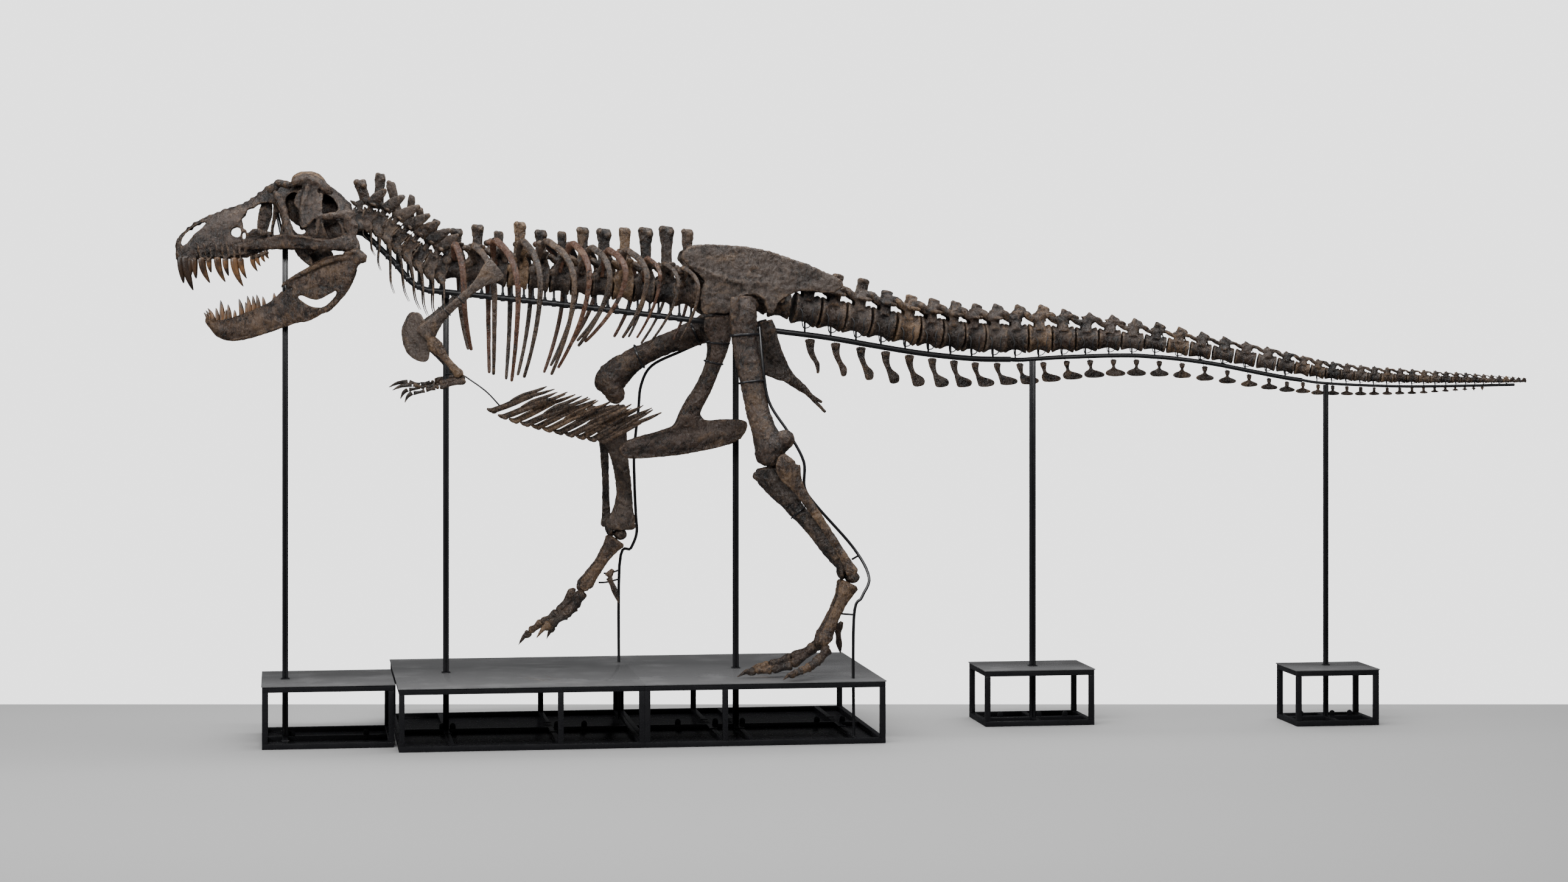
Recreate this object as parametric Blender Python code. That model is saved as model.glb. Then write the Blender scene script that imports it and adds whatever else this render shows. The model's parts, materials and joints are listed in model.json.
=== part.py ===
"""Mounted skeleton of an adult Tyrannosaurus on its black steel mount, life size.

Metres, +Z up. The skull points to -X and the tail to +X. -Y is the animal's left side.
The origin is on the floor, in the plane of the spine and midway along the long platform.
Bones are sweeps and plates through named sizes, fused bone by bone into named nodes.
"""
import math

import bmesh
import bpy
from mathutils import Matrix, Vector
from mathutils.bvhtree import BVHTree

GAP = 0.0003                # clearance between two nodes that touch
WELD = 0.00003              # points nearer than this are one point
LEFT, RIGHT = -1, 1         # the side of the animal, as the sign of y

# Mount: platforms of square tube with a plate on top
TUBE = 0.040                # square tube of every platform
DECK = 0.008                # thickness of a platform's top plate
LIP = 0.006                 # overhang of the plate over its rails
JOINT = 0.010               # x where the long platform's two halves meet
PLATFORM_HIGH = 0.460
TAIL_BASE_HIGH = 0.430
BAR_RADIUS = 0.0215         # the bar under the spine
POST = 0.043                # square post under the bar
PIN = 0.010                 # pin between the bar and a vertebra

# Skull: x, underside, top, half width
SKULL = (
    (-3.372, 3.560, 3.680, 0.070), (-3.340, 3.532, 3.722, 0.110), (-3.270, 3.530, 3.790, 0.135),
    (-3.180, 3.530, 3.855, 0.155), (-3.060, 3.532, 3.905, 0.170), (-2.930, 3.524, 3.950, 0.185),
    (-2.830, 3.535, 3.990, 0.200), (-2.750, 3.568, 4.060, 0.225), (-2.650, 3.618, 4.130, 0.265),
    (-2.550, 3.628, 4.128, 0.310), (-2.490, 3.630, 4.195, 0.335), (-2.370, 3.612, 4.200, 0.370),
    (-2.300, 3.636, 4.135, 0.385), (-2.200, 3.632, 4.070, 0.395), (-2.120, 3.600, 3.990, 0.390),
    (-2.060, 3.625, 3.880, 0.370))
SKULL_WALL = 0.036
NARIS = ((-3.33, 3.665), (-3.27, 3.765), (-3.155, 3.826), (-3.175, 3.79), (-3.24, 3.74), (-3.30, 3.655))
MAXILLA_HOLE = ((-2.97, 3.775), (-2.93, 3.789), (-2.90, 3.75), (-2.92, 3.705), (-2.97, 3.725))
CHEEK_HOLE = (
    (-2.885, 3.80), (-2.87, 3.885), (-2.82, 3.93), (-2.74, 3.952), (-2.655, 3.945),
    (-2.61, 3.89), (-2.61, 3.79), (-2.64, 3.729), (-2.79, 3.735), (-2.86, 3.735))
ORBIT = (
    (-2.57, 3.965), (-2.53, 4.0), (-2.45, 3.99), (-2.445, 3.92), (-2.49, 3.853),
    (-2.485, 3.80), (-2.448, 3.765), (-2.48, 3.75), (-2.525, 3.81), (-2.555, 3.89))
TEMPLE_HOLE = (
    (-2.32, 4.02), (-2.24, 4.03), (-2.19, 3.955), (-2.205, 3.88), (-2.162, 3.773),
    (-2.17, 3.693), (-2.24, 3.684), (-2.285, 3.737), (-2.307, 3.85))
# Teeth: x of the root and length, front to back
UPPER_TEETH = (
    (-3.329, 0.17), (-3.280, 0.22), (-3.235, 0.11), (-3.183, 0.17), (-3.130, 0.09), (-3.066, 0.16),
    (-3.006, 0.10), (-2.945, 0.175), (-2.890, 0.115), (-2.815, 0.09), (-2.765, 0.06), (-2.715, 0.04))
LOWER_TEETH = (
    (-3.127, 0.065), (-3.092, 0.085), (-3.058, 0.095), (-3.021, 0.145), (-2.985, 0.09), (-2.930, 0.06),
    (-2.884, 0.105), (-2.835, 0.10), (-2.793, 0.098), (-2.757, 0.09), (-2.722, 0.06), (-2.650, 0.04))

# Lower jaw, hung open: x, underside, top, y of the bone's middle, half thickness
JAW = (
    (-3.150, 3.095, 3.138, 0.030, 0.032), (-3.100, 3.020, 3.105, 0.050, 0.052),
    (-3.020, 2.958, 3.102, 0.088, 0.046), (-2.930, 2.950, 3.132, 0.115, 0.036),
    (-2.820, 2.972, 3.178, 0.140, 0.030), (-2.690, 3.015, 3.238, 0.165, 0.028),
    (-2.590, 3.048, 3.332, 0.190, 0.026), (-2.490, 3.082, 3.432, 0.220, 0.026),
    (-2.390, 3.100, 3.510, 0.250, 0.024), (-2.290, 3.160, 3.565, 0.280, 0.024),
    (-2.190, 3.245, 3.585, 0.310, 0.026), (-2.100, 3.370, 3.592, 0.330, 0.030),
    (-2.045, 3.500, 3.628, 0.335, 0.042), (-1.980, 3.535, 3.580, 0.335, 0.038))
JAW_HOLE = ((-2.465, 3.275), (-2.34, 3.225), (-2.22, 3.27), (-2.235, 3.33), (-2.36, 3.27))

# Neck: centrum x and z, radius, tip of the spine x and z, end of the rib x and z
NECK = (
    (-2.030, 3.865, 0.075, -2.035, 4.000, -1.990, 3.700),
    (-1.965, 3.860, 0.080, -2.030, 4.150, -1.930, 3.580),
    (-1.890, 3.830, 0.085, -1.880, 4.200, -1.890, 3.470),
    (-1.820, 3.775, 0.090, -1.805, 4.140, -1.790, 3.300),
    (-1.750, 3.705, 0.095, -1.640, 4.040, -1.680, 3.240),
    (-1.670, 3.640, 0.100, -1.580, 3.950, -1.600, 3.180),
    (-1.590, 3.575, 0.105, -1.460, 3.860, -1.540, 3.130),
    (-1.505, 3.515, 0.105, -1.470, 3.770, -1.480, 3.120),
    (-1.415, 3.475, 0.105, -1.415, 3.670, -1.400, 3.150))

NECK_END = -1.370           # where the neck meets the back

# Back: twelve vertebrae from the shoulder to the hip
BACK_FIRST, BACK_STEP = -1.325, 0.1575
BACK_LINE = ((-1.33, 3.490), (-0.93, 3.440), (-0.26, 3.370), (0.22, 3.320), (0.60, 3.285))
SPINE_TOPS = (3.79, 3.82, 3.77, 3.84, 3.78, 3.77, 3.80, 3.79, 3.80, 3.80, 3.81, 3.79)
# Ribs: x and z at the top, at the widest and at the end, and the widest half width
RIBS = (
    (-1.350, 3.67, -1.27, 3.30, -1.21, 2.88, 0.30), (-1.24, 3.66, -1.05, 3.28, -1.05, 2.70, 0.38),
    (-1.09, 3.70, -0.88, 3.30, -0.92, 2.65, 0.44), (-0.87, 3.69, -0.72, 3.35, -0.83, 2.68, 0.48),
    (-0.72, 3.69, -0.47, 3.36, -0.63, 2.70, 0.50), (-0.50, 3.67, -0.36, 3.42, -0.58, 2.75, 0.50),
    (-0.36, 3.64, -0.21, 3.42, -0.43, 2.91, 0.49), (-0.23, 3.62, -0.09, 3.44, -0.38, 2.94, 0.48),
    (-0.11, 3.62, 0.07, 3.41, -0.10, 2.97, 0.46), (0.07, 3.56, 0.17, 3.42, 0.01, 2.97, 0.43),
    (0.20, 3.52, 0.31, 3.37, 0.10, 2.92, 0.38), (0.33, 3.49, 0.47, 3.33, 0.34, 2.95, 0.31))

# Hip bones, seen from the side
ILIUM = (
    (0.36, 3.59), (0.44, 3.66), (0.61, 3.672), (0.95, 3.64), (1.21, 3.56), (1.44, 3.47), (1.58, 3.40),
    (1.585, 3.34), (1.50, 3.30), (1.26, 3.32), (1.14, 3.27), (1.07, 3.22), (1.05, 3.15), (1.01, 3.15),
    (0.98, 3.24), (0.93, 3.29), (0.83, 3.30), (0.77, 3.25), (0.72, 3.15), (0.52, 3.15), (0.50, 3.21),
    (0.54, 3.33), (0.53, 3.40), (0.47, 3.46), (0.40, 3.52))
PUBIS_BOOT = (
    (-0.10, 2.12), (-0.07, 2.18), (0.05, 2.225), (0.19, 2.26), (0.32, 2.31), (0.38, 2.42), (0.50, 2.42),
    (0.56, 2.345), (0.72, 2.352), (0.87, 2.34), (0.86, 2.25), (0.78, 2.18), (0.66, 2.14), (0.40, 2.09),
    (0.16, 2.065), (-0.03, 2.06))

# Tail: 44 vertebrae. Each tuple is (number of the vertebra, value), with straight runs between
CAUDALS = 44
TAIL_STEP = ((0, 0.203), (3, 0.195), (7, 0.165), (9, 0.185), (19, 0.170), (22, 0.118), (30, 0.094), (43, 0.040))
TAIL_RADIUS = (
    (0, 0.125), (4, 0.122), (10, 0.115), (12, 0.096), (15, 0.062), (20, 0.060), (24, 0.047), (31, 0.034),
    (36, 0.024), (43, 0.012))
TAIL_SPINE = (
    (0, 0.305), (2, 0.310), (3, 0.255), (10, 0.250), (12, 0.180), (16, 0.140), (20, 0.100), (24, 0.074),
    (31, 0.055), (36, 0.040), (43, 0.022))
TAIL_LINE = (
    (1.30, 0.02, 3.180), (1.69, 0.06, 3.110), (2.17, 0.10, 3.020), (2.66, 0.16, 2.962),
    (2.98, 0.20, 2.954), (3.71, 0.15, 2.944), (4.07, 0.11, 2.916), (4.42, 0.07, 2.859),
    (4.75, 0.02, 2.803), (5.04, -0.03, 2.746), (5.37, -0.08, 2.685), (5.73, -0.12, 2.652),
    (6.19, -0.17, 2.637), (6.86, -0.24, 2.623))
TAIL_LENGTHS = ((0, 10), (10, 20), (20, 31), (31, 44))
# Chevrons under the bar: (number, depth below the bar), (number, length of the foot)
CHEVRON_DEPTH = ((0, 0.29), (4, 0.27), (8, 0.20), (12, 0.165), (17, 0.14), (22, 0.10), (30, 0.06), (37, 0.022))
CHEVRON_FOOT = ((0, 0.03), (2, 0.07), (5, 0.11), (8, 0.14), (12, 0.16), (20, 0.13), (28, 0.08), (37, 0.035))
CHEVRONS = 38

# The bar under the spine, in three lengths
NECK_BAR = (
    (-2.10, 0.0, 3.750), (-2.03, 0.0, 3.752), (-1.96, 0.0, 3.715), (-1.77, 0.0, 3.530),
    (-1.66, 0.0, 3.400), (-1.58, 0.0, 3.345), (-1.50, 0.0, 3.320), (-1.38, 0.0, 3.310), (-0.54, 0.0, 3.220))
HIP_BAR = ((0.10, 0.0, 3.145), (0.54, 0.0, 3.090), (1.07, 0.0, 3.020))
TAIL_BAR = (
    (1.50, 0.04, 2.965), (1.88, 0.08, 2.900), (2.26, 0.12, 2.840), (2.65, 0.16, 2.800), (3.05, 0.20, 2.790),
    (3.35, 0.19, 2.808), (3.82, 0.14, 2.822), (4.06, 0.12, 2.812), (4.27, 0.09, 2.793), (4.54, 0.05, 2.754),
    (4.81, 0.01, 2.700), (5.07, -0.03, 2.650), (5.34, -0.07, 2.610), (5.67, -0.11, 2.591),
    (6.10, -0.16, 2.581), (6.84, -0.24, 2.594))

# Posts: name, x, y, half size, top of the platform it stands in
POSTS = (
    ("head_post", -2.573, -0.120, POST / 2, PLATFORM_HIGH),
    ("shoulder_post", -1.382, 0.120, POST / 2, PLATFORM_HIGH),
    ("hip_post", 0.807, 0.120, POST / 2, PLATFORM_HIGH),
    ("tail_post_1", 3.125, 0.196, POST / 2, TAIL_BASE_HIGH),
    ("tail_post_2", 5.380, -0.076, 0.017, TAIL_BASE_HIGH))

scratch = None


def clear_scene():
    for item in list(bpy.data.objects):
        bpy.data.objects.remove(item, do_unlink=True)


def new_collection(name):
    group = bpy.data.collections.new(name)
    bpy.context.scene.collection.children.link(group)
    return group


def make_material(name, colour, roughness, metallic=0.0):
    material = bpy.data.materials.new(name)
    material.use_nodes = True
    shader = material.node_tree.nodes["Principled BSDF"]
    shader.inputs["Base Color"].default_value = (*colour, 1.0)
    shader.inputs["Roughness"].default_value = roughness
    shader.inputs["Metallic"].default_value = metallic
    return material


def from_bmesh(shape, name="piece"):
    bmesh.ops.recalc_face_normals(shape, faces=shape.faces)
    mesh = bpy.data.meshes.new(name)
    shape.to_mesh(mesh)
    shape.free()
    item = bpy.data.objects.new(name, mesh)
    scratch.objects.link(item)
    return item


def through(rows, steps):
    """Rows of numbers on a smooth curve through the given rows."""
    if steps == 1:
        return [tuple(row) for row in rows]
    found = []
    last = len(rows) - 1
    for i in range(last):
        four = (rows[max(i - 1, 0)], rows[i], rows[i + 1], rows[min(i + 2, last)])
        for k in range(steps):
            t = k / steps
            found.append(tuple(
                0.5 * (2 * b + (c - a) * t + (2 * a - 5 * b + 4 * c - d) * t ** 2
                       + (3 * b - a - 3 * c + d) * t ** 3)
                for a, b, c, d in zip(*four)))
    found.append(tuple(rows[-1]))
    return found


def run(table, at):
    """Value at a place in a table of (place, value), with straight runs between."""
    for (a, low), (b, high) in zip(table, table[1:]):
        if at <= b:
            return low + (high - low) * (at - a) / (b - a)
    return table[-1][1]


def along(line, x):
    """The rest of a row of a line at x, such as y and z, with straight runs between."""
    for low, high in zip(line, line[1:]):
        if x <= high[0] or high is line[-1]:
            t = (x - low[0]) / (high[0] - low[0])
            return tuple(a + (b - a) * t for a, b in zip(low[1:], high[1:]))
    return None


def skin(rings):
    """Closed solid through rings of points, with its two ends capped."""
    shape = bmesh.new()
    loops = [[shape.verts.new(point) for point in ring] for ring in rings]
    count = len(rings[0])
    for low, high in zip(loops, loops[1:]):
        for i in range(count):
            j = (i + 1) % count
            shape.faces.new((low[i], low[j], high[j], high[i]))
    shape.faces.new(loops[0])
    shape.faces.new(loops[-1])
    bmesh.ops.triangulate(shape, faces=shape.faces)
    return from_bmesh(shape)


def sweep(rows, sides=6, steps=1, across=(0, 1, 0)):
    """Solid along rows of (x, y, z, half width across, half depth)."""
    rows = through(rows, steps)
    points = [Vector(row[:3]) for row in rows]
    last = len(rows) - 1
    reach = 1 / math.cos(math.pi / sides)
    rings = []
    for i, row in enumerate(rows):
        ahead = (points[min(i + 1, last)] - points[max(i - 1, 0)]).normalized()
        side = Vector(across)
        side = (side - ahead * side.dot(ahead)).normalized()
        up = ahead.cross(side)
        ring = []
        for k in range(sides):
            turn = 2 * math.pi * (k + 0.5) / sides
            ring.append(points[i] + side * (row[3] * reach * math.cos(turn))
                        + up * (row[4] * reach * math.sin(turn)))
        rings.append(ring)
    return skin(rings)


def box(low, high):
    shape = bmesh.new()
    bmesh.ops.create_cube(shape, size=1.0)
    size = [b - a for a, b in zip(low, high)]
    centre = [(a + b) / 2 for a, b in zip(low, high)]
    bmesh.ops.scale(shape, vec=size, verts=shape.verts)
    bmesh.ops.translate(shape, vec=centre, verts=shape.verts)
    bmesh.ops.triangulate(shape, faces=shape.faces)
    return from_bmesh(shape)


def plate(outline, y, half):
    """Plate of a side-view outline of (x, z), at y, with half its thickness."""
    curve = bpy.data.curves.new("outline", "CURVE")
    curve.dimensions = "2D"
    curve.fill_mode = "BOTH"
    curve.extrude = half
    spline = curve.splines.new("POLY")
    spline.points.add(len(outline) - 1)
    for point, (x, z) in zip(spline.points, outline):
        point.co = (x, z, 0.0, 1.0)
    spline.use_cyclic_u = True
    flat = bpy.data.objects.new("outline", curve)
    scratch.objects.link(flat)
    flat.matrix_world = Matrix.Translation((0, y, 0)) @ Matrix.Rotation(math.pi / 2, 4, "X")
    mesh = evaluated_mesh(flat)
    shape = bmesh.new()
    shape.from_mesh(mesh)
    bmesh.ops.transform(shape, matrix=flat.matrix_world, verts=shape.verts)
    bmesh.ops.remove_doubles(shape, verts=shape.verts, dist=0.00001)
    bmesh.ops.triangulate(shape, faces=shape.faces)
    bpy.data.objects.remove(flat, do_unlink=True)
    return from_bmesh(shape)


def warp(item, move):
    """Move every vertex of a piece by a function of its place."""
    for vertex in item.data.vertices:
        vertex.co = move(vertex.co)
    return item


def largest_surface(shape):
    """Keep only the closed surface with the greatest volume."""
    left = set(shape.faces)
    best, best_volume = None, -1.0
    while left:
        seed = left.pop()
        island, queue = {seed}, [seed]
        while queue:
            for edge in queue.pop().edges:
                for face in edge.link_faces:
                    if face in left:
                        left.discard(face)
                        island.add(face)
                        queue.append(face)
        volume = sum(face.calc_area() * face.normal.dot(face.calc_center_median()) for face in island)
        if volume > best_volume:
            best, best_volume = island, volume
    bmesh.ops.delete(shape, geom=[face for face in shape.faces if face not in best], context="FACES")


def boolean(body, others, operation):
    """Join others to a body, or cut them from it, and remove them."""
    group = new_collection("operands")
    for item in others:
        scratch.objects.unlink(item)
        group.objects.link(item)
    modifier = body.modifiers.new("Fuse", "BOOLEAN")
    modifier.operation = operation
    modifier.operand_type = "COLLECTION"
    modifier.collection = group
    modifier.solver = "MANIFOLD"
    mesh = evaluated_mesh(body)
    body.modifiers.clear()
    shape = bmesh.new()
    shape.from_mesh(mesh)
    bmesh.ops.triangulate(shape, faces=shape.faces)
    largest_surface(shape)
    shape.to_mesh(body.data)
    shape.free()
    bpy.data.meshes.remove(mesh)
    for item in others:
        bpy.data.objects.remove(item, do_unlink=True)
    bpy.data.collections.remove(group)
    return body


def evaluated_mesh(item):
    bpy.context.view_layer.update()
    return bpy.data.meshes.new_from_object(item.evaluated_get(bpy.context.evaluated_depsgraph_get()))


def thin(item, wanted):
    """Bring a fused body back to about as many faces as its pieces had."""
    modifier = item.modifiers.new("Thin", "DECIMATE")
    modifier.ratio = min(1.0, wanted / len(item.data.polygons))
    mesh = evaluated_mesh(item)
    item.modifiers.clear()
    item.data = mesh
    return item


def fuse(pieces, share=0.0):
    """One body from many pieces. A share above zero thins it to that share of their faces."""
    if len(pieces) == 1:
        return pieces[0]
    wanted = share * sum(len(piece.data.polygons) for piece in pieces)
    body = boolean(pieces[0], pieces[1:], "UNION")
    return thin(body, wanted) if wanted else body


def carve(body, cutters):
    return boolean(body, cutters, "DIFFERENCE")


def swollen(item, gap=GAP):
    """A copy of a node grown by the gap, to cut its neighbours clear of it."""
    shape = bmesh.new()
    shape.from_mesh(item.data)
    shape.normal_update()
    moves = [(vertex, vertex.normal * (gap * min(vertex.calc_shell_factor(), 4.0))) for vertex in shape.verts]
    for vertex, move in moves:
        vertex.co += move
    mesh = bpy.data.meshes.new("grown")
    shape.to_mesh(mesh)
    shape.free()
    copy = bpy.data.objects.new("grown", mesh)
    scratch.objects.link(copy)
    return copy


def clear(item, others):
    """Cut a node clear of others, by their grown copies and by the others as they are."""
    return carve(item, [swollen(other, gap) for other in others for gap in (GAP, 0.0)])


def half_space(side):
    """Everything on one side of the animal's middle, as a cutter that leaves the gap."""
    low, high = (-GAP / 2, 2.0) if side == RIGHT else (-2.0, GAP / 2)
    return box((-5.0, low, 0.0), (8.0, high, 6.0))


def tooth(x, y, z, length, down, lean):
    """A curved tooth with its root sunk into the jaw."""
    root, width = 0.030, 0.010 + 0.05 * length
    rows = ((x, y, z - down * -root, width * 0.8, width), (x + lean * 0.4, y, z + down * length * 0.55,
            width * 0.7, width * 0.85), (x + lean, y, z + down * length, 0.002, 0.002))
    return sweep(rows, sides=4)


def skull_ring(x, low, high, width, sides=14):
    """Section of the skull: flat cheeks and a narrower rounded roof."""
    ring = []
    for k in range(sides):
        turn = 2 * math.pi * (k + 0.5) / sides
        across, up = math.cos(turn), math.sin(turn)
        rise = math.copysign(abs(up) ** 0.75, up)
        y = width * math.copysign(abs(across) ** 0.55, across) * (1 - 0.24 * (rise + 1))
        ring.append((x, y, (low + high) / 2 + rise * (high - low) / 2))
    return ring


def make_skull():
    outer = skin([skull_ring(*station) for station in SKULL])
    inner = [(x, low - 0.10, high - 1.3 * SKULL_WALL, width - SKULL_WALL)
             for x, low, high, width in SKULL[2:]]
    inner.append((-1.98, 3.45, 3.84, 0.33))
    holes = [plate(outline, 0.0, 0.6) for outline in (NARIS, MAXILLA_HOLE, CHEEK_HOLE, ORBIT, TEMPLE_HOLE)]
    shell = carve(outer, [skin([skull_ring(*station) for station in inner])] + holes)
    pieces = [shell]
    palate = ((-3.30, 0, 3.575, 0.11, 0.016), (-3.00, 0, 3.580, 0.160, 0.016), (-2.84, 0, 3.600, 0.185, 0.016),
              (-2.55, 0, 3.690, 0.10, 0.018), (-2.30, 0, 3.760, 0.09, 0.03), (-2.22, 0, 3.86, 0.08, 0.06))
    pieces.append(sweep(palate, sides=4))
    braincase = ((-2.46, 0, 4.06, 0.10, 0.09), (-2.28, 0, 3.98, 0.12, 0.12), (-2.12, 0, 3.88, 0.10, 0.10),
                 (-2.09, 0, 3.865, 0.045, 0.045))
    pieces.append(sweep(braincase))
    for side in (LEFT, RIGHT):
        wing = ((-2.17, 0, 3.90, 0.04, 0.07), (-2.13, side * 0.20, 3.86, 0.03, 0.06),
                (-2.12, side * 0.365, 3.80, 0.025, 0.05))
        pieces.append(sweep(wing, sides=4, across=(1, 0, 0)))
        for x, length in UPPER_TEETH:
            low, _, width = along(SKULL, x)
            pieces.append(tooth(x, side * (width - 0.022), low + 0.012, length, -1, 0.33 * length))
    return fuse(pieces, 0.58)


def make_lower_jaw():
    pieces = []
    for side in (LEFT, RIGHT):
        rings = []
        for x, low, high, y, half in JAW:
            ring = []
            for k in range(8):
                turn = 2 * math.pi * (k + 0.5) / 8
                across = math.copysign(abs(math.cos(turn)) ** 0.6, math.cos(turn))
                up = math.copysign(abs(math.sin(turn)) ** 0.6, math.sin(turn))
                ring.append((x, side * y + half * across, (low + high) / 2 + up * (high - low) / 2))
            rings.append(ring)
        pieces.append(skin(rings))
    jaw = carve(fuse(pieces), [plate(JAW_HOLE, 0.0, 0.6)])
    pieces = [jaw]
    for side in (LEFT, RIGHT):
        for x, length in LOWER_TEETH:
            _, high, y, _ = along(JAW, x)
            pieces.append(tooth(x, side * y, high - 0.012, length, 1, -0.16 * length))
    return fuse(pieces, 0.72)


def vertebra(centre, back, length, radius, spine_tip, spine_half, wing, sides=6, joints=True):
    """One vertebra: spool-shaped centrum, arch with its spine, side wings and joint facets.

    back is the direction to the next one, spine_tip the place of the spine's top, and
    wing the half span of the side processes.
    """
    centre, back, spine_tip = Vector(centre), Vector(back).normalized(), Vector(spine_tip)
    side = (Vector((0, 1, 0)) - back * back.y).normalized()
    up = back.cross(side)
    waist = 0.72 * radius

    def spot(along_back, to_side, to_up):
        return tuple(centre + back * along_back + side * to_side + up * to_up)

    across = tuple(side)
    pieces = [sweep((
        (*spot(-length * 0.51, 0, 0), radius * 0.92, radius), (*spot(0, 0, 0), waist * 0.9, waist),
        (*spot(length * 0.51, 0, 0), radius * 0.92, radius)), sides=sides, across=across)]
    arch = Vector(spot(0, 0, radius * 0.5))
    rise = spine_tip - arch
    middle = arch + rise * 0.45
    pieces.append(sweep((
        (*arch, radius * 0.55, length * 0.33), (*middle, radius * 0.22 + 0.004, spine_half * 0.8),
        (*spine_tip, radius * 0.14 + 0.006, spine_half)), sides=4, across=across))
    if joints:
        level = radius * 1.22
        pieces.append(sweep((
            (*spot(-length * 0.78, 0, level + 0.10 * radius), radius * 0.36, radius * 0.10),
            (*spot(length * 0.66, 0, level), radius * 0.30, radius * 0.14)), sides=4, across=across))
    if wing:
        height = radius * 1.15
        for hand in (LEFT, RIGHT):
            pieces.append(sweep((
                (*spot(0, 0, height - 0.01), length * 0.22, radius * 0.2),
                (*spot(length * 0.10, hand * wing, height + wing * 0.12), length * 0.15, 0.012)),
                sides=4, across=tuple(back)))
    return pieces


def make_neck():
    pieces = []
    last = len(NECK) - 1
    for i, (x, z, radius, tip_x, tip_z, rib_x, rib_z) in enumerate(NECK):
        ahead, behind = NECK[max(i - 1, 0)], NECK[min(i + 1, last)]
        back = (behind[0] - ahead[0], 0, behind[1] - ahead[1])
        length = 0.098
        broad = 0.045 if i in (1, 2) else 0.026
        pieces += vertebra((x, 0, z), back, length, radius, (tip_x, 0, tip_z), broad, 0.13 if i < last else 0.0)
        for side in (LEFT, RIGHT):
            reach = 0.09 + 0.008 * i
            rib = ((x - 0.01, side * 0.05, z - 0.05, 0.02, 0.03),
                   (x + 0.25 * (rib_x - x), side * reach, z - 0.30 * (z - rib_z), 0.010, 0.016),
                   (rib_x, side * (reach + 0.04), rib_z, 0.003, 0.003))
            pieces.append(sweep(rib, sides=4))
    return carve(fuse(pieces, 0.72), [box((NECK_END - GAP / 2, -2.0, 0.0), (8.0, 2.0, 6.0))])


def back_vertebrae():
    pieces = []
    for i, top in enumerate(SPINE_TOPS):
        x = BACK_FIRST + i * BACK_STEP
        z, = along(BACK_LINE, x)
        radius = 0.098 + 0.0014 * i
        spine = 0.036 + (0.012 if i > 6 else 0.0)
        pieces += vertebra((x, 0, z), (1, 0, -0.11), BACK_STEP, radius, (x + 0.02, 0, top), spine, 0.17,
                           joints=i > 0)
    return pieces


def rib(number, side):
    """One rib: from the vertebra out to its wing's tip, round the flank and down."""
    top_x, top_z, mid_x, mid_z, end_x, end_z, width = RIBS[number]
    head_x = BACK_FIRST + number * BACK_STEP
    head_z, = along(BACK_LINE, head_x)
    thick, broad = 0.011, 0.021 if number < 9 else 0.016
    rows = (
        (head_x, side * 0.03, head_z + 0.06, thick, broad),
        (top_x + 0.02, side * 0.16, top_z - 0.01, thick, broad),
        (0.45 * top_x + 0.55 * mid_x, side * width * 0.74, top_z - 0.35 * (top_z - mid_z), thick, broad),
        (mid_x, side * width, mid_z, thick, broad),
        (0.45 * mid_x + 0.55 * end_x, side * width * 0.95, 0.5 * (mid_z + end_z), thick, broad * 0.8),
        (end_x, side * width * 0.70, end_z, thick * 0.8, broad * 0.7))
    return sweep(rows, sides=4, steps=1, across=(-0.15, side * 1.0, 0.35))


def make_trunk(side):
    """One side of the back and rib cage, flat where it meets the other side."""
    pieces = back_vertebrae() + [rib(number, side) for number in range(len(RIBS))]
    body = carve(fuse(pieces, 0.74), [half_space(-side)])
    return carve(body, [box((-5.0, -2.0, 0.0), (NECK_END + GAP / 2, 2.0, 6.0))])


def make_sacrum():
    line = ((0.545, 0, 3.290, 0.10, 0.11), (0.70, 0, 3.265, 0.075, 0.085), (0.88, 0, 3.245, 0.09, 0.10),
            (1.05, 0, 3.222, 0.075, 0.085), (1.205, 0, 3.200, 0.11, 0.12))
    pieces = [sweep(line, sides=8)]
    crest = ((0.53, 3.28), (0.55, 3.62), (0.95, 3.60), (1.22, 3.50), (1.56, 3.36), (1.50, 3.30), (1.22, 3.28))
    pieces.append(plate(crest, 0.0, 0.024))
    for x, z in ((0.62, 3.36), (0.80, 3.34), (0.98, 3.33), (1.16, 3.31)):
        pieces.append(sweep(((x, -0.150, z, 0.03, 0.10), (x, 0, z - 0.04, 0.03, 0.07), (x, 0.150, z, 0.03, 0.10)),
                            sides=4, across=(1, 0, 0)))
    return fuse(pieces, 0.9)


def make_ilium(side):
    blade = plate(ILIUM, side * 0.165, 0.022)
    return warp(blade, lambda p: Vector((p.x, p.y + side * 0.10 * (3.40 - p.z), p.z)))


def make_pubis(side):
    shaft = (
        (0.63, side * 0.150, 3.135, 0.030, 0.10), (0.64, side * 0.145, 3.03, 0.030, 0.105),
        (0.655, side * 0.13, 2.91, 0.035, 0.075), (0.61, side * 0.105, 2.74, 0.035, 0.052),
        (0.54, side * 0.075, 2.58, 0.035, 0.055), (0.45, side * 0.050, 2.42, 0.045, 0.07),
        (0.42, side * 0.045, 2.30, 0.045, 0.09))
    boot = plate(PUBIS_BOOT, side * 0.0335, 0.0335)
    return fuse([sweep(shaft, sides=8, steps=1), boot])


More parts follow.
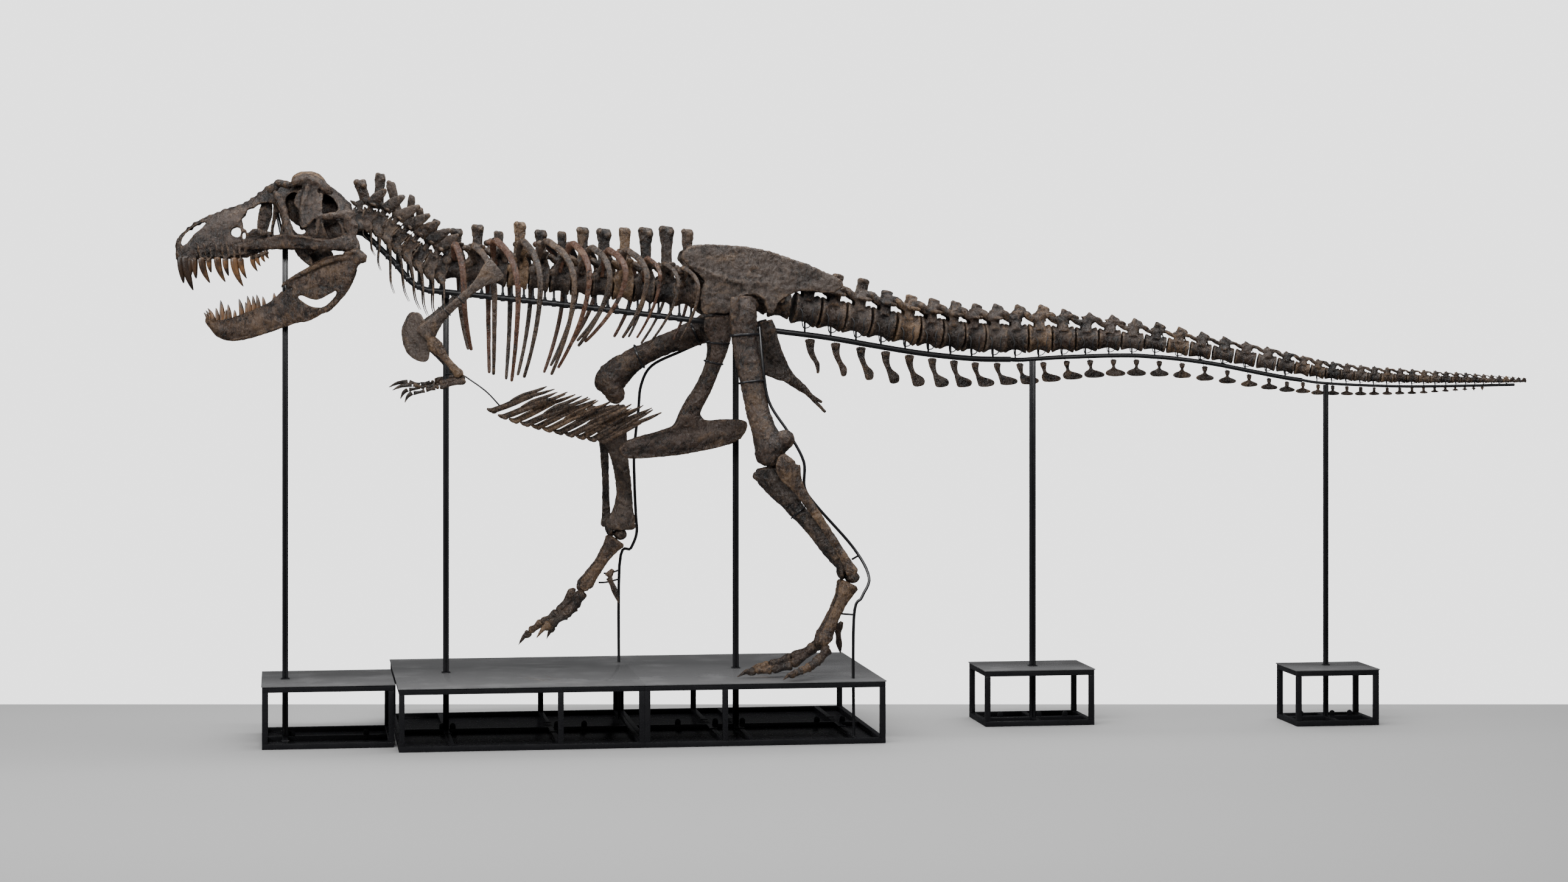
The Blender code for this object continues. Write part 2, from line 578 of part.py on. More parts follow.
def make_ischium(side):
    shaft = (
        (1.00, side * 0.155, 3.09, 0.025, 0.05), (1.03, side * 0.145, 2.95, 0.025, 0.065),
        (1.08, side * 0.125, 2.82, 0.022, 0.07), (1.18, side * 0.095, 2.68, 0.022, 0.045),
        (1.30, side * 0.075, 2.58, 0.02, 0.030), (1.47, side * 0.085, 2.435 + side * 0.035, 0.012, 0.012))
    flange = ((0.98, 2.72), (1.07, 2.66), (1.20, 2.63), (1.15, 2.78), (1.02, 2.95))
    return fuse([sweep(shaft, sides=6), plate(flange, side * 0.120, 0.014)])


LEGS = {
    LEFT: {
        "femur": ((0.835, -0.27, 3.27, 0.06, 0.05), (0.815, -0.29, 3.14, 0.08, 0.098),
                  (0.815, -0.30, 2.95, 0.075, 0.095), (0.855, -0.34, 2.70, 0.075, 0.092),
                  (0.90, -0.38, 2.45, 0.078, 0.086), (0.945, -0.42, 2.29, 0.105, 0.095),
                  (0.99, -0.44, 2.15, 0.135, 0.115), (0.99, -0.45, 2.06, 0.125, 0.10),
                  (0.99, -0.45, 2.015, 0.08, 0.055)),
        "head": ((0.865, -0.125, 3.215, 0.05, 0.05), (0.865, -0.16, 3.215, 0.078, 0.078),
                 (0.85, -0.22, 3.20, 0.075, 0.075), (0.83, -0.30, 3.18, 0.07, 0.07)),
        "condyle": ((1.03, -0.40, 2.13, 0.06, 0.07), (1.08, -0.47, 2.17, 0.05, 0.062),
                    (1.08, -0.52, 2.17, 0.03, 0.035)),
        "tibia": ((1.00, -0.42, 2.025, 0.09, 0.12), (1.02, -0.425, 1.95, 0.095, 0.135),
                  (1.085, -0.44, 1.83, 0.075, 0.095), (1.18, -0.46, 1.70, 0.062, 0.065),
                  (1.30, -0.49, 1.56, 0.058, 0.06), (1.43, -0.52, 1.40, 0.068, 0.062),
                  (1.52, -0.54, 1.30, 0.092, 0.065), (1.58, -0.55, 1.20, 0.10, 0.07)),
        "cnemial": ((0.845, -0.44, 1.945, 0.03, 0.02), (0.95, -0.44, 1.93, 0.05, 0.06), (1.05, -0.44, 1.85, 0.05, 0.06)),
        "fibula": ((1.10, -0.555, 2.06, 0.028, 0.085), (1.12, -0.56, 1.98, 0.028, 0.08),
                   (1.185, -0.565, 1.88, 0.024, 0.042), (1.25, -0.575, 1.78, 0.022, 0.03),
                   (1.40, -0.60, 1.54, 0.018, 0.024), (1.54, -0.635, 1.30, 0.020, 0.026),
                   (1.58, -0.65, 1.22, 0.022, 0.036)),
        "ankle": (1.56, -0.57, 1.155), "heads": (1.335, -0.60, 0.725), "spread": 0.085,
        "hallux": ((1.49, -0.50, 0.80), (1.50, -0.48, 0.71), (1.515, -0.47, 0.62)),
        "toes": {
            "digit_2": ((1.36, -0.50, 0.70), (1.22, -0.42, 0.62), (1.06, -0.36, 0.54), (0.97, -0.33, 0.525),
                        (0.82, -0.28, 0.472)),
            "digit_3": ((1.30, -0.60, 0.69), (1.14, -0.60, 0.56), (0.99, -0.60, 0.525), (0.87, -0.60, 0.525),
                        (0.72, -0.60, 0.472)),
            "digit_4": ((1.38, -0.70, 0.68), (1.30, -0.75, 0.60), (1.22, -0.79, 0.55), (1.13, -0.83, 0.525),
                        (1.02, -0.87, 0.472))}},
    RIGHT: {
        "femur": ((0.90, 0.24, 3.20, 0.06, 0.06), (0.80, 0.27, 3.15, 0.08, 0.095), (0.64, 0.29, 3.07, 0.08, 0.10),
                  (0.46, 0.32, 2.975, 0.075, 0.092), (0.25, 0.36, 2.892, 0.075, 0.078),
                  (0.07, 0.40, 2.80, 0.09, 0.088), (-0.07, 0.43, 2.69, 0.13, 0.115),
                  (-0.145, 0.44, 2.60, 0.13, 0.115), (-0.18, 0.44, 2.54, 0.08, 0.06)),
        "head": ((0.885, 0.125, 3.215, 0.05, 0.05), (0.885, 0.16, 3.215, 0.076, 0.076),
                 (0.88, 0.22, 3.20, 0.075, 0.075), (0.84, 0.30, 3.17, 0.07, 0.07)),
        "condyle": ((-0.10, 0.40, 2.56, 0.06, 0.07), (-0.10, 0.47, 2.55, 0.05, 0.062),
                    (-0.10, 0.52, 2.55, 0.03, 0.035)),
        "tibia": ((-0.13, 0.45, 2.445, 0.09, 0.13), (-0.12, 0.45, 2.37, 0.095, 0.14),
                  (-0.085, 0.46, 2.23, 0.075, 0.105), (-0.045, 0.47, 2.05, 0.06, 0.068),
                  (-0.015, 0.48, 1.88, 0.058, 0.06), (0.0, 0.50, 1.72, 0.068, 0.062),
                  (-0.01, 0.52, 1.56, 0.10, 0.075), (-0.02, 0.53, 1.465, 0.10, 0.085)),
        "cnemial": ((-0.31, 0.45, 2.43, 0.03, 0.02), (-0.22, 0.45, 2.38, 0.05, 0.06), (-0.14, 0.45, 2.26, 0.05, 0.06)),
        "fibula": ((-0.16, 0.58, 2.43, 0.028, 0.085), (-0.16, 0.58, 2.34, 0.028, 0.07),
                   (-0.145, 0.59, 2.20, 0.024, 0.036), (-0.125, 0.60, 2.05, 0.022, 0.028),
                   (-0.10, 0.615, 1.80, 0.018, 0.024), (-0.105, 0.635, 1.58, 0.020, 0.028),
                   (-0.105, 0.645, 1.49, 0.022, 0.036)),
        "ankle": (-0.06, 0.56, 1.415), "heads": (-0.325, 0.57, 1.05), "spread": 0.085,
        "hallux": ((-0.13, 0.46, 1.14), (-0.085, 0.45, 1.04), (-0.05, 0.45, 0.93)),
        "toes": {
            "digit_2": ((-0.33, 0.48, 1.01), (-0.44, 0.43, 0.87), (-0.54, 0.40, 0.80), (-0.60, 0.38, 0.79),
                        (-0.69, 0.36, 0.68)),
            "digit_3": ((-0.38, 0.57, 1.02), (-0.50, 0.57, 0.86), (-0.60, 0.57, 0.79), (-0.68, 0.57, 0.765),
                        (-0.81, 0.57, 0.61)),
            "digit_4": ((-0.31, 0.66, 1.00), (-0.37, 0.70, 0.88), (-0.44, 0.72, 0.81), (-0.50, 0.74, 0.79),
                        (-0.58, 0.76, 0.63))}}}


def make_femur(side):
    leg = LEGS[side]
    shaft = sweep(leg["femur"], sides=8)
    return fuse([shaft, sweep(leg["head"], sides=8, across=(1, 0, 0)), sweep(leg["condyle"], across=(1, 0, 0))])


def make_tibia(side):
    leg = LEGS[side]
    return fuse([sweep(leg["tibia"], sides=8), sweep(leg["cnemial"], sides=4)])


def make_metatarsus(side):
    """Three long foot bones side by side, joined at the top, and the small hind toe."""
    leg = LEGS[side]
    ankle, heads, spread = Vector(leg["ankle"]), Vector(leg["heads"]), leg["spread"]
    pieces = []
    for place in (-1, 0, 1):
        shift = Vector((0.02 * abs(place), place * spread, 0.012 * abs(place)))
        top = ankle + Vector((0, place * 0.058, 0))
        low = heads + shift
        rows = []
        for t, half, deep in ((0, 0.040, 0.070), (0.16, 0.033, 0.058), (0.55, 0.027, 0.038), (0.82, 0.034, 0.042),
                              (1.0, 0.042, 0.050)):
            rows.append((*(top + (low - top) * t), half, deep))
        pieces.append(sweep(rows))
    root, mid, tip = leg["hallux"]
    pieces.append(sweep(((*(Vector(root) + (ankle - heads) * 0.12), 0.02, 0.02), (*root, 0.018, 0.022),
                         (*mid, 0.018, 0.02), (*tip, 0.004, 0.004)), sides=5))
    return fuse(pieces)


def make_toe(side, name):
    """One toe: bones with thick ends and a thin waist, and a curved claw."""
    points = [Vector(point) for point in LEGS[side]["toes"][name]]
    rows = []
    last = len(points) - 2
    for i, (a, b) in enumerate(zip(points, points[1:])):
        thick = 0.036 - 0.003 * i
        if i < last:
            rows += [(*a, thick, thick), (*(a.lerp(b, 0.5)), thick * 0.68, thick * 0.66)]
        else:
            claw = a.lerp(b, 0.45) + Vector((0, 0, 0.018))
            rows += [(*a, thick * 0.8, thick * 0.9), (*claw, thick * 0.55, thick * 0.6), (*b, 0.004, 0.004)]
    return sweep(rows)


def make_scapula(side):
    blade = (
        (-1.035, side * 0.47, 3.49, 0.010, 0.085), (-1.08, side * 0.475, 3.45, 0.012, 0.078),
        (-1.18, side * 0.47, 3.365, 0.016, 0.036), (-1.32, side * 0.45, 3.24, 0.018, 0.032),
        (-1.45, side * 0.40, 3.12, 0.022, 0.045), (-1.56, side * 0.34, 3.00, 0.026, 0.075))
    coracoid = ((-1.65, 3.15), (-1.59, 3.15), (-1.55, 3.06), (-1.53, 2.95), (-1.53, 2.80), (-1.60, 2.80), (-1.67, 2.85),
                (-1.70, 2.94), (-1.71, 3.04))
    foot = warp(plate(coracoid, side * 0.30, 0.024), lambda p: Vector((p.x, p.y + side * 0.5 * (p.x + 1.60), p.z)))
    return fuse([sweep(blade, steps=1), foot])


def make_humerus(side):
    rows = ((-1.515, side * 0.385, 2.96, 0.03, 0.042), (-1.48, side * 0.39, 2.90, 0.028, 0.040),
            (-1.41, side * 0.41, 2.82, 0.022, 0.027), (-1.34, side * 0.43, 2.74, 0.024, 0.028),
            (-1.305, side * 0.43, 2.695, 0.03, 0.032))
    return sweep(rows)


def make_forearm(side):
    pieces = []
    for y, z in ((0.415, 0.012), (0.445, -0.012)):
        pieces.append(sweep(((-1.285, side * y, 2.665 + z, 0.018, 0.026), (-1.37, side * y, 2.65 + z, 0.013, 0.015),
                             (-1.455, side * y, 2.625 + z, 0.018, 0.022)), sides=5))
    return fuse(pieces)


def make_hand(side):
    pieces = []
    for y, z, tip_x, tip_z in ((0.41, 0.010, -1.80, 2.59), (0.45, -0.010, -1.71, 2.50)):
        pieces.append(sweep(((-1.45, side * 0.43, 2.623 + z, 0.022, 0.024), (-1.55, side * y, 2.60 + z, 0.013, 0.014),
                             (-1.60, side * y, 2.595 + z, 0.015, 0.017), (-1.68, side * y, 2.60 + 3 * z, 0.011, 0.012),
                             (tip_x, side * y, tip_z, 0.003, 0.004)), sides=5))
    return fuse(pieces)


def make_gastralia():
    """Belly ribs: rods that cross at the middle and sweep up and back on each side."""
    rows = 11
    pieces = []
    for i in range(rows):
        t = i / (rows - 1)
        x = -1.03 + 0.83 * t
        z = 2.425 - 0.235 * t ** 0.7
        back = 0.30 + 0.05 * t
        rise = 0.24 - 0.05 * t
        wide = 0.36 - 0.06 * t
        for side in (LEFT, RIGHT):
            pieces.append(sweep((
                (x - 0.16 * back, -side * 0.16 * wide, z + 0.004, 0.010, 0.010), (x + 0.05, side * 0.05, z, 0.012, 0.012),
                (x + 0.5 * back, side * 0.62 * wide, z + 0.30 * rise, 0.011, 0.011),
                (x + back, side * wide, z + rise, 0.006, 0.006)), sides=4, across=(1, 0, 0)))
    return fuse(pieces, 0.9)


def tail_places():
    """Centre, direction and length of each tail vertebra, front to back."""
    found = []
    x = 1.322
    for i in range(CAUDALS):
        length = run(TAIL_STEP, i)
        if i:
            x += 0.5 * (length + run(TAIL_STEP, i - 1))
        here, ahead = along(TAIL_LINE, x), along(TAIL_LINE, x + 0.05)
        centre = Vector((x, *here))
        found.append((centre, Vector((x + 0.05, *ahead)) - centre, length))
    return found


def make_tail(first, stop):
    places = tail_places()
    pieces = []
    for i in range(first, stop):
        centre, back, length = places[i]
        radius, height = run(TAIL_RADIUS, i), run(TAIL_SPINE, i)
        lean = 0.20 * height if i < 12 else 0.35 * height
        tip = centre + Vector((lean, 0, height))
        wing = run(((0, 0.13), (2, 0.185), (8, 0.12)), i) if i < 9 else 0.0
        spine = min(0.050, 0.30 * length)
        pieces += vertebra(centre, back, length, radius, tip, spine, wing,
                           sides=6 if i < 31 else 5, joints=i < 26)
    return fuse(pieces, 0.72)


def rod(points, radius, sides=8, steps=1):
    return sweep([(*point, radius, radius) for point in points], sides=sides, steps=steps)


def upright(x, y, low, high, half, sides=4):
    return sweep(((x, y, low, half, half), (x, y, high, half, half)), sides=sides)


def bar_height(x):
    return along(NECK_BAR[2:] + HIP_BAR + TAIL_BAR, x)


def underside(item, x, y, half):
    """Height just below a bone over a small square, found by looking up at it."""
    shape = bmesh.new()
    shape.from_mesh(item.data)
    tree = BVHTree.FromBMesh(shape)
    shape.free()
    heights = []
    for i in range(81):
        start = Vector((x + half * (i // 9 - 4) / 4, y + half * (i % 9 - 4) / 4, 2.0))
        found = tree.ray_cast(start, Vector((0, 0, 1)))[0]
        if found:
            heights.append(found.z)
    return min(heights) - 3 * GAP


def pin(item, x, y, half):
    """A pin from the middle of the bar up to the bone above it."""
    return upright(x, y, bar_height(x)[1], underside(item, x, y, half), half)


def make_front_bar(nodes):
    """The bar from the skull to the hip, with pins up to the vertebrae."""
    pieces = [rod(NECK_BAR + HIP_BAR[:2], BAR_RADIUS)]
    for x, _, _, _, _, _, _ in NECK[3::2]:
        pieces.append(pin(nodes["neck"], x, 0, PIN))
    for i in range(1, len(SPINE_TOPS), 2):
        x = BACK_FIRST + i * BACK_STEP
        level = bar_height(x)[1]
        for side, word in ((LEFT, "left"), (RIGHT, "right")):
            y = side * PIN
            pieces.append(upright(x, y, level, underside(nodes["trunk_" + word], x, y, 0.8 * PIN), 0.8 * PIN))
    return fuse(pieces, 0.9)


def make_tail_bar(nodes, low_x, high_x, first, stop, radius):
    """A length of the bar under the tail, with its pins and the chevrons that hang from it."""
    line = [point for point in HIP_BAR[1:] + TAIL_BAR if low_x < point[0] < high_x]
    ends = [(x, *bar_height(x)) for x in (low_x + GAP, high_x)]
    pieces = [rod([ends[0]] + line + [ends[1]], radius, sides=6)]
    places = tail_places()
    for number, (head, end) in enumerate(TAIL_LENGTHS, 1):
        for i in range(head, end, 2):
            centre = places[i][0]
            if low_x + 0.02 < centre.x < high_x - 0.02:
                pieces.append(pin(nodes["tail_%d" % number], centre.x, centre.y, PIN * (0.6 - 0.008 * i)))
    for i in range(first, stop):
        pieces.append(make_chevron(i, places))
    return fuse(pieces, 0.95)


def make_chevron(i, places):
    """A chevron: a neck up to the bar and a foot that turns from a rod into a boot."""
    x = 0.5 * (places[i][0].x + places[i + 1][0].x) - 0.06 + 0.02 * i / CHEVRONS
    y, z = bar_height(x)
    depth, foot = run(CHEVRON_DEPTH, i), run(CHEVRON_FOOT, i)
    neck = 0.10 * depth + 0.006
    lean = run(((0, 0.06), (8, 0.05), (14, 0.0), (37, 0.0)), i)
    behind, front = foot * run(((0, 0.5), (8, 0.8), (14, 0.5), (37, 0.5)), i), 0.0
    front = foot - behind
    outline = (
        (x - neck, z), (x + neck, z), (x + neck + 0.4 * lean, z - 0.62 * depth),
        (x + lean + behind, z - 0.80 * depth), (x + lean + behind, z - 0.94 * depth),
        (x + lean + 0.3 * behind, z - depth), (x + lean - front, z - 0.93 * depth),
        (x - neck + 0.2 * lean, z - 0.62 * depth))
    return plate(outline, y, 0.006 + 0.045 * depth)


def tray(low, high, floor, roof, splits_x, splits_y, opening):
    """A slab with pockets between its rails, open upwards (1) or downwards (-1)."""
    slab = box((*low, floor), (*high, roof))
    edges_x = [low[0]] + [value for x in splits_x for value in (x - TUBE, x)] + [high[0] - TUBE]
    edges_y = [low[1]] + [value for y in splits_y for value in (y - TUBE, y)] + [high[1] - TUBE]
    pockets = []
    for x0, x1 in zip(edges_x[::2], edges_x[1::2]):
        for y0, y1 in zip(edges_y[::2], edges_y[1::2]):
            z0, z1 = (floor + 0.006, roof + 0.1) if opening > 0 else (floor - 0.1, roof - 0.006)
            pockets.append(box((x0 + TUBE, y0 + TUBE, z0), (x1, y1, z1)))
    return carve(slab, pockets)


def platform(low, high, top, inner_x, inner_y, supports):
    """A platform in two nodes: the floor frame with its uprights, and the deck on its rails."""
    (x0, y0), (x1, y1) = low, high
    under = top - DECK - TUBE
    middle = [y + TUBE / 2 for y in inner_y]
    lower = [tray(low, high, 0.0, TUBE, [x + TUBE / 2 for x in inner_x], middle, 1)]
    rails = tray(low, high, under, top - DECK + 0.006, (), middle, -1)
    lip_0, lip_1 = (LIP if abs(x - JOINT) > GAP else 0.0 for x in (x0, x1))
    deck = [rails, box((x0 - lip_0, y0 - LIP, top - DECK), (x1 + lip_1, y1 + LIP, top))]
    corners = [(x, y) for x in (x0 + TUBE / 2, x1 - TUBE / 2) for y in (y0 + TUBE / 2, y1 - TUBE / 2)]
    half = TUBE / 2 - 0.001
    for x, y in corners + list(supports):
        lower.append(box((x - half, y - half, 0.01), (x + half, y + half, under - GAP)))
    return fuse(lower), fuse(deck)


def build_mount(nodes):
    front = platform((JOINT - 1.775, -0.87), (JOINT - GAP / 2, 1.11), PLATFORM_HIGH, (-1.382, -0.60), (0.12,),
                     ((-0.60, -0.85), (-0.60, 1.09)))
    rear = platform((JOINT + GAP / 2, -0.87), (JOINT + 1.775, 1.11), PLATFORM_HIGH, (0.807, 1.576), (0.12,),
                    ((0.60, -0.85), (0.60, 1.09)))
    head = platform((-2.74, -0.58), (-1.79, 0.41), PLATFORM_HIGH, (-2.573,), (-0.12,), ())
    tail_1 = platform((2.70, -0.07), (3.55, 0.55), TAIL_BASE_HIGH, (3.125,), (0.196,), ())
    tail_2 = platform((5.05, -0.40), (5.70, 0.13), TAIL_BASE_HIGH, (5.380,), (-0.076,), ())
    for name, (lower, deck) in (("platform_front", front), ("platform_rear", rear), ("head_base", head),
                                ("tail_base_1", tail_1), ("tail_base_2", tail_2)):
        nodes[name + "_frame"] = lower
        nodes[name + "_deck"] = deck
    for name, x, y, half, _ in POSTS:
        if name == "head_post":
            high = 3.64
        else:
            high = bar_height(x)[1]
        pieces = [upright(x, y, 0.02, high, half)]
        if name in ("shoulder_post", "hip_post"):
            pieces.append(box((x - half, 0.0, high - 2 * half), (x + half, y + half, high)))
        if name == "shoulder_post":
            pieces.append(rod(((x, y, 2.70), (-1.27, 0.05, 2.69), (-1.08, 0.0, 2.56), (-0.97, 0.0, 2.44)), 0.006, sides=5))
        nodes[name] = fuse(pieces)
    nodes["front_bar"] = make_front_bar(nodes)
    nodes["tail_bar_1"] = make_tail_bar(nodes, 0.54, 2.95, 0, 8, BAR_RADIUS)
    nodes["tail_bar_2"] = make_tail_bar(nodes, 2.95, 5.20, 8, 21, BAR_RADIUS * 0.78)
    nodes["tail_bar_3"] = make_tail_bar(nodes, 5.20, 6.84, 21, CHEVRONS, BAR_RADIUS * 0.5)
    nodes["leg_rod_left"] = rod((
        (1.576, -0.70, 0.02), (1.576, -0.70, 0.90), (1.64, -0.69, 1.06), (1.70, -0.64, 1.20), (1.60, -0.55, 1.41),
        (1.33, -0.515, 1.72), (1.24, -0.50, 1.86), (1.235, -0.49, 2.05), (1.13, -0.45, 2.26), (0.985, -0.40, 2.50),
        (0.945, -0.36, 2.80), (0.93, -0.30, 3.05)), 0.011, sides=6)
    nodes["leg_rod_right"] = rod((
        (-0.025, 0.66, 0.02), (-0.025, 0.66, 1.20), (0.06, 0.62, 1.34), (0.10, 0.58, 1.46), (0.09, 0.54, 1.60),
        (0.075, 0.50, 1.85), (0.07, 0.47, 2.10), (0.10, 0.46, 2.40), (0.12, 0.44, 2.60), (0.20, 0.40, 2.75),
        (0.42, 0.35, 2.86), (0.62, 0.30, 2.95)), 0.011, sides=6)


def build_bones(nodes):
    nodes["skull"] = make_skull()
    nodes["lower_jaw"] = make_lower_jaw()
    nodes["neck"] = make_neck()
    nodes["sacrum"] = make_sacrum()
    nodes["gastralia"] = make_gastralia()
    for number, (first, stop) in enumerate(TAIL_LENGTHS, 1):
        nodes["tail_%d" % number] = make_tail(first, stop)
    for side, word in ((LEFT, "left"), (RIGHT, "right")):
        nodes["trunk_" + word] = make_trunk(side)
        nodes["ilium_" + word] = make_ilium(side)
        nodes["pubis_" + word] = carve(make_pubis(side), [half_space(-side)])
        nodes["ischium_" + word] = carve(make_ischium(side), [half_space(-side)])
        nodes["femur_" + word] = make_femur(side)
        nodes["tibia_" + word] = make_tibia(side)
        nodes["fibula_" + word] = sweep(LEGS[side]["fibula"])
        nodes["metatarsus_" + word] = make_metatarsus(side)
        for toe in ("digit_2", "digit_3", "digit_4"):
            nodes["%s_%s" % (toe, word)] = make_toe(side, toe)
        nodes["scapula_" + word] = make_scapula(side)
        nodes["humerus_" + word] = make_humerus(side)
        nodes["forearm_" + word] = make_forearm(side)
        nodes["hand_" + word] = make_hand(side)


# Which node is cut clear of which: (node, those it makes room for)
MIDDLE_FITS = (
    ("lower_jaw", ("skull",)), ("neck", ("skull",)),
    ("sacrum", ("trunk_left", "trunk_right", "femur_left", "femur_right")), ("tail_1", ("sacrum",)), ("tail_2", ("tail_1",)),
    ("tail_3", ("tail_2",)), ("tail_4", ("tail_3",)))
SIDE_FITS = (
    ("ilium", ("femur", "trunk", ".sacrum", ".tail_1")), ("pubis", ("ilium", "femur")), ("ischium", ("ilium", "femur")),
    ("scapula", ("trunk",)), ("humerus", ("scapula",)), ("forearm", ("humerus",)), ("hand", ("forearm",)),
    ("fibula", ("femur",)), ("tibia", ("femur", "fibula")), ("metatarsus", ("tibia", "fibula")),
    ("digit_2", ("metatarsus",)), ("digit_3", ("metatarsus",)), ("digit_4", ("metatarsus",)))
MOUNT_FITS = (
    ("leg_rod_left", ("femur_left", "tibia_left", "fibula_left")),
    ("leg_rod_right", ("femur_right", "tibia_right", "fibula_right")),
    ("tail_bar_1", ("front_bar",)), ("tail_bar_2", ("tail_bar_1",)), ("tail_bar_3", ("tail_bar_2",)),
    ("head_post", ("skull",)), ("shoulder_post", ("front_bar", "gastralia")), ("hip_post", ("tail_bar_1",)),
    ("tail_post_1", ("tail_bar_2",)), ("tail_post_2", ("tail_bar_3",)),
    ("platform_front_deck", ("shoulder_post", "leg_rod_right")), ("platform_front_frame", ("shoulder_post", "leg_rod_right")),
    ("platform_rear_deck", ("hip_post", "leg_rod_left")), ("platform_rear_frame", ("hip_post", "leg_rod_left")),
    ("head_base_deck", ("head_post",)), ("head_base_frame", ("head_post",)),
    ("tail_base_1_deck", ("tail_post_1",)), ("tail_base_1_frame", ("tail_post_1",)),
    ("tail_base_2_deck", ("tail_post_2",)), ("tail_base_2_frame", ("tail_post_2",)))


def set_clear(nodes):
    """Cut each node clear of the neighbours that it meets, face to face."""
    for name, others in MIDDLE_FITS:
        clear(nodes[name], [nodes[other] for other in others])
    for word in ("left", "right"):
        for name, others in SIDE_FITS:
            cutters = [other[1:] if other[0] == "." else other + "_" + word for other in others]
            clear(nodes[name + "_" + word], [nodes[other] for other in cutters])
    for name, others in MOUNT_FITS:
        clear(nodes[name], [nodes[other] for other in others])


def tidy(item, flat):
    """Weld points that nearly meet and, on the flat steel, take out needless edges."""
    shape = bmesh.new()
    shape.from_mesh(item.data)
    if flat:
        bmesh.ops.dissolve_limit(shape, angle_limit=0.002, verts=shape.verts, edges=shape.edges)
    bmesh.ops.remove_doubles(shape, verts=shape.verts, dist=WELD)
    bmesh.ops.dissolve_degenerate(shape, edges=shape.edges, dist=WELD)
    bmesh.ops.delete(shape, geom=[edge for edge in shape.edges if not edge.link_faces], context="EDGES")
    bmesh.ops.triangulate(shape, faces=shape.faces)
    shape.to_mesh(item.data)
    shape.free()


def finish(nodes):
    """Name each node, give it its finish and its own origin, and hang it on its empty."""
    parts = new_collection("tyrannosaurus_mount")
    finishes = {
        "bone": make_material("fossil bone", (0.075, 0.050, 0.038), 0.55),
        "steel": make_material("black steel", (0.012, 0.012, 0.013), 0.42, 0.6),
        "deck": make_material("glossy deck", (0.020, 0.020, 0.022), 0.12)}
    holders = {}
    for word in ("skeleton", "mount"):
        holders[word] = bpy.data.objects.new(word, None)
        parts.objects.link(holders[word])
    for name, item in nodes.items():
        steel = any(word in name for word in ("post", "bar", "rod", "frame", "deck"))
        tidy(item, name.endswith(("frame", "deck", "post")))
        finish_name = "deck" if name.endswith("deck") else "steel" if steel else "bone"
        item.name = name
        item.data.name = name
        item.data.materials.clear()
        item.data.materials.append(finishes[finish_name])
        corners = [Vector(corner) for corner in item.bound_box]
        centre = (corners[0] + corners[6]) / 2
        item.data.transform(Matrix.Translation(-centre))
        item.location = centre
        item.parent = holders["mount" if steel else "skeleton"]
        scratch.objects.unlink(item)
        parts.objects.link(item)


def main():
    global scratch
    clear_scene()
    scratch = new_collection("cutters")
    nodes = {}
    build_bones(nodes)
    build_mount(nodes)
    set_clear(nodes)
    finish(nodes)
    bpy.data.collections.remove(scratch)


main()
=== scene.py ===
"""Mounted tyrannosaur skeleton on its black steel mount: the looks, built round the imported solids.

Metres, +Z up. The skull points to -X, the tail to +X and the animal's left side to -Y.
"""
import json
import math

import bmesh
import bpy
from mathutils import Matrix, Vector

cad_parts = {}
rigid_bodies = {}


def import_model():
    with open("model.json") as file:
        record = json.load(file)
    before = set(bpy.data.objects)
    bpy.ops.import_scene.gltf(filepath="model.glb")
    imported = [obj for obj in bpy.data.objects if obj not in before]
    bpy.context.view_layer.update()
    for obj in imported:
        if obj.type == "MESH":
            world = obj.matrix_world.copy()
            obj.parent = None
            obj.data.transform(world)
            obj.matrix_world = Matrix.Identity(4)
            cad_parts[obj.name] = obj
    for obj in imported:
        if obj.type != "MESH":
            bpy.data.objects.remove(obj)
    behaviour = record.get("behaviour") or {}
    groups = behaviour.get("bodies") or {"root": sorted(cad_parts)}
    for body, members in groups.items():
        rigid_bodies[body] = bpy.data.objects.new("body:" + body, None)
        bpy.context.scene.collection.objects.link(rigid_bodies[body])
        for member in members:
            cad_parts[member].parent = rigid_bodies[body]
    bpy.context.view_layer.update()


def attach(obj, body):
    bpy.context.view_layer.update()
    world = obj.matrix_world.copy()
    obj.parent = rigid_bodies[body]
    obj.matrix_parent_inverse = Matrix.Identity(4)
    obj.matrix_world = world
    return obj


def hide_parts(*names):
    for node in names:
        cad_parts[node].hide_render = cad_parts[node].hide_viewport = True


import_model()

bl_info = {
    "name": "Mounted tyrannosaur skeleton",
    "version": (1, 0, 0),
    "blender": (4, 5, 0),
    "location": "3D View > Sidebar > Skeleton",
    "description": "Builds the bones, the steel mount and a plain studio round the packed solids",
    "category": "Object",
}

LEFT, RIGHT = -1, 1         # the side of the animal, as the sign of y
SIDES = ((LEFT, "left"), (RIGHT, "right"))
GAP = 0.0003                # clearance between two pieces that touch

# Skull: x, underside, top, half width
SKULL = (
    (-3.372, 3.575, 3.66, 0.06), (-3.355, 3.54, 3.705, 0.1), (-3.315, 3.532, 3.752, 0.122),
    (-3.25, 3.532, 3.806, 0.138), (-3.18, 3.531, 3.851, 0.15), (-3.06, 3.533, 3.902, 0.164),
    (-2.93, 3.526, 3.945, 0.18), (-2.83, 3.537, 3.986, 0.198), (-2.75, 3.568, 4.052, 0.222),
    (-2.65, 3.616, 4.118, 0.262), (-2.55, 3.628, 4.11, 0.305), (-2.49, 3.63, 4.16, 0.335),
    (-2.4, 3.618, 4.185, 0.365), (-2.3, 3.636, 4.13, 0.385), (-2.2, 3.632, 4.064, 0.392),
    (-2.12, 3.61, 3.985, 0.386), (-2.06, 3.635, 3.885, 0.365))
SKULL_WALL = 0.034
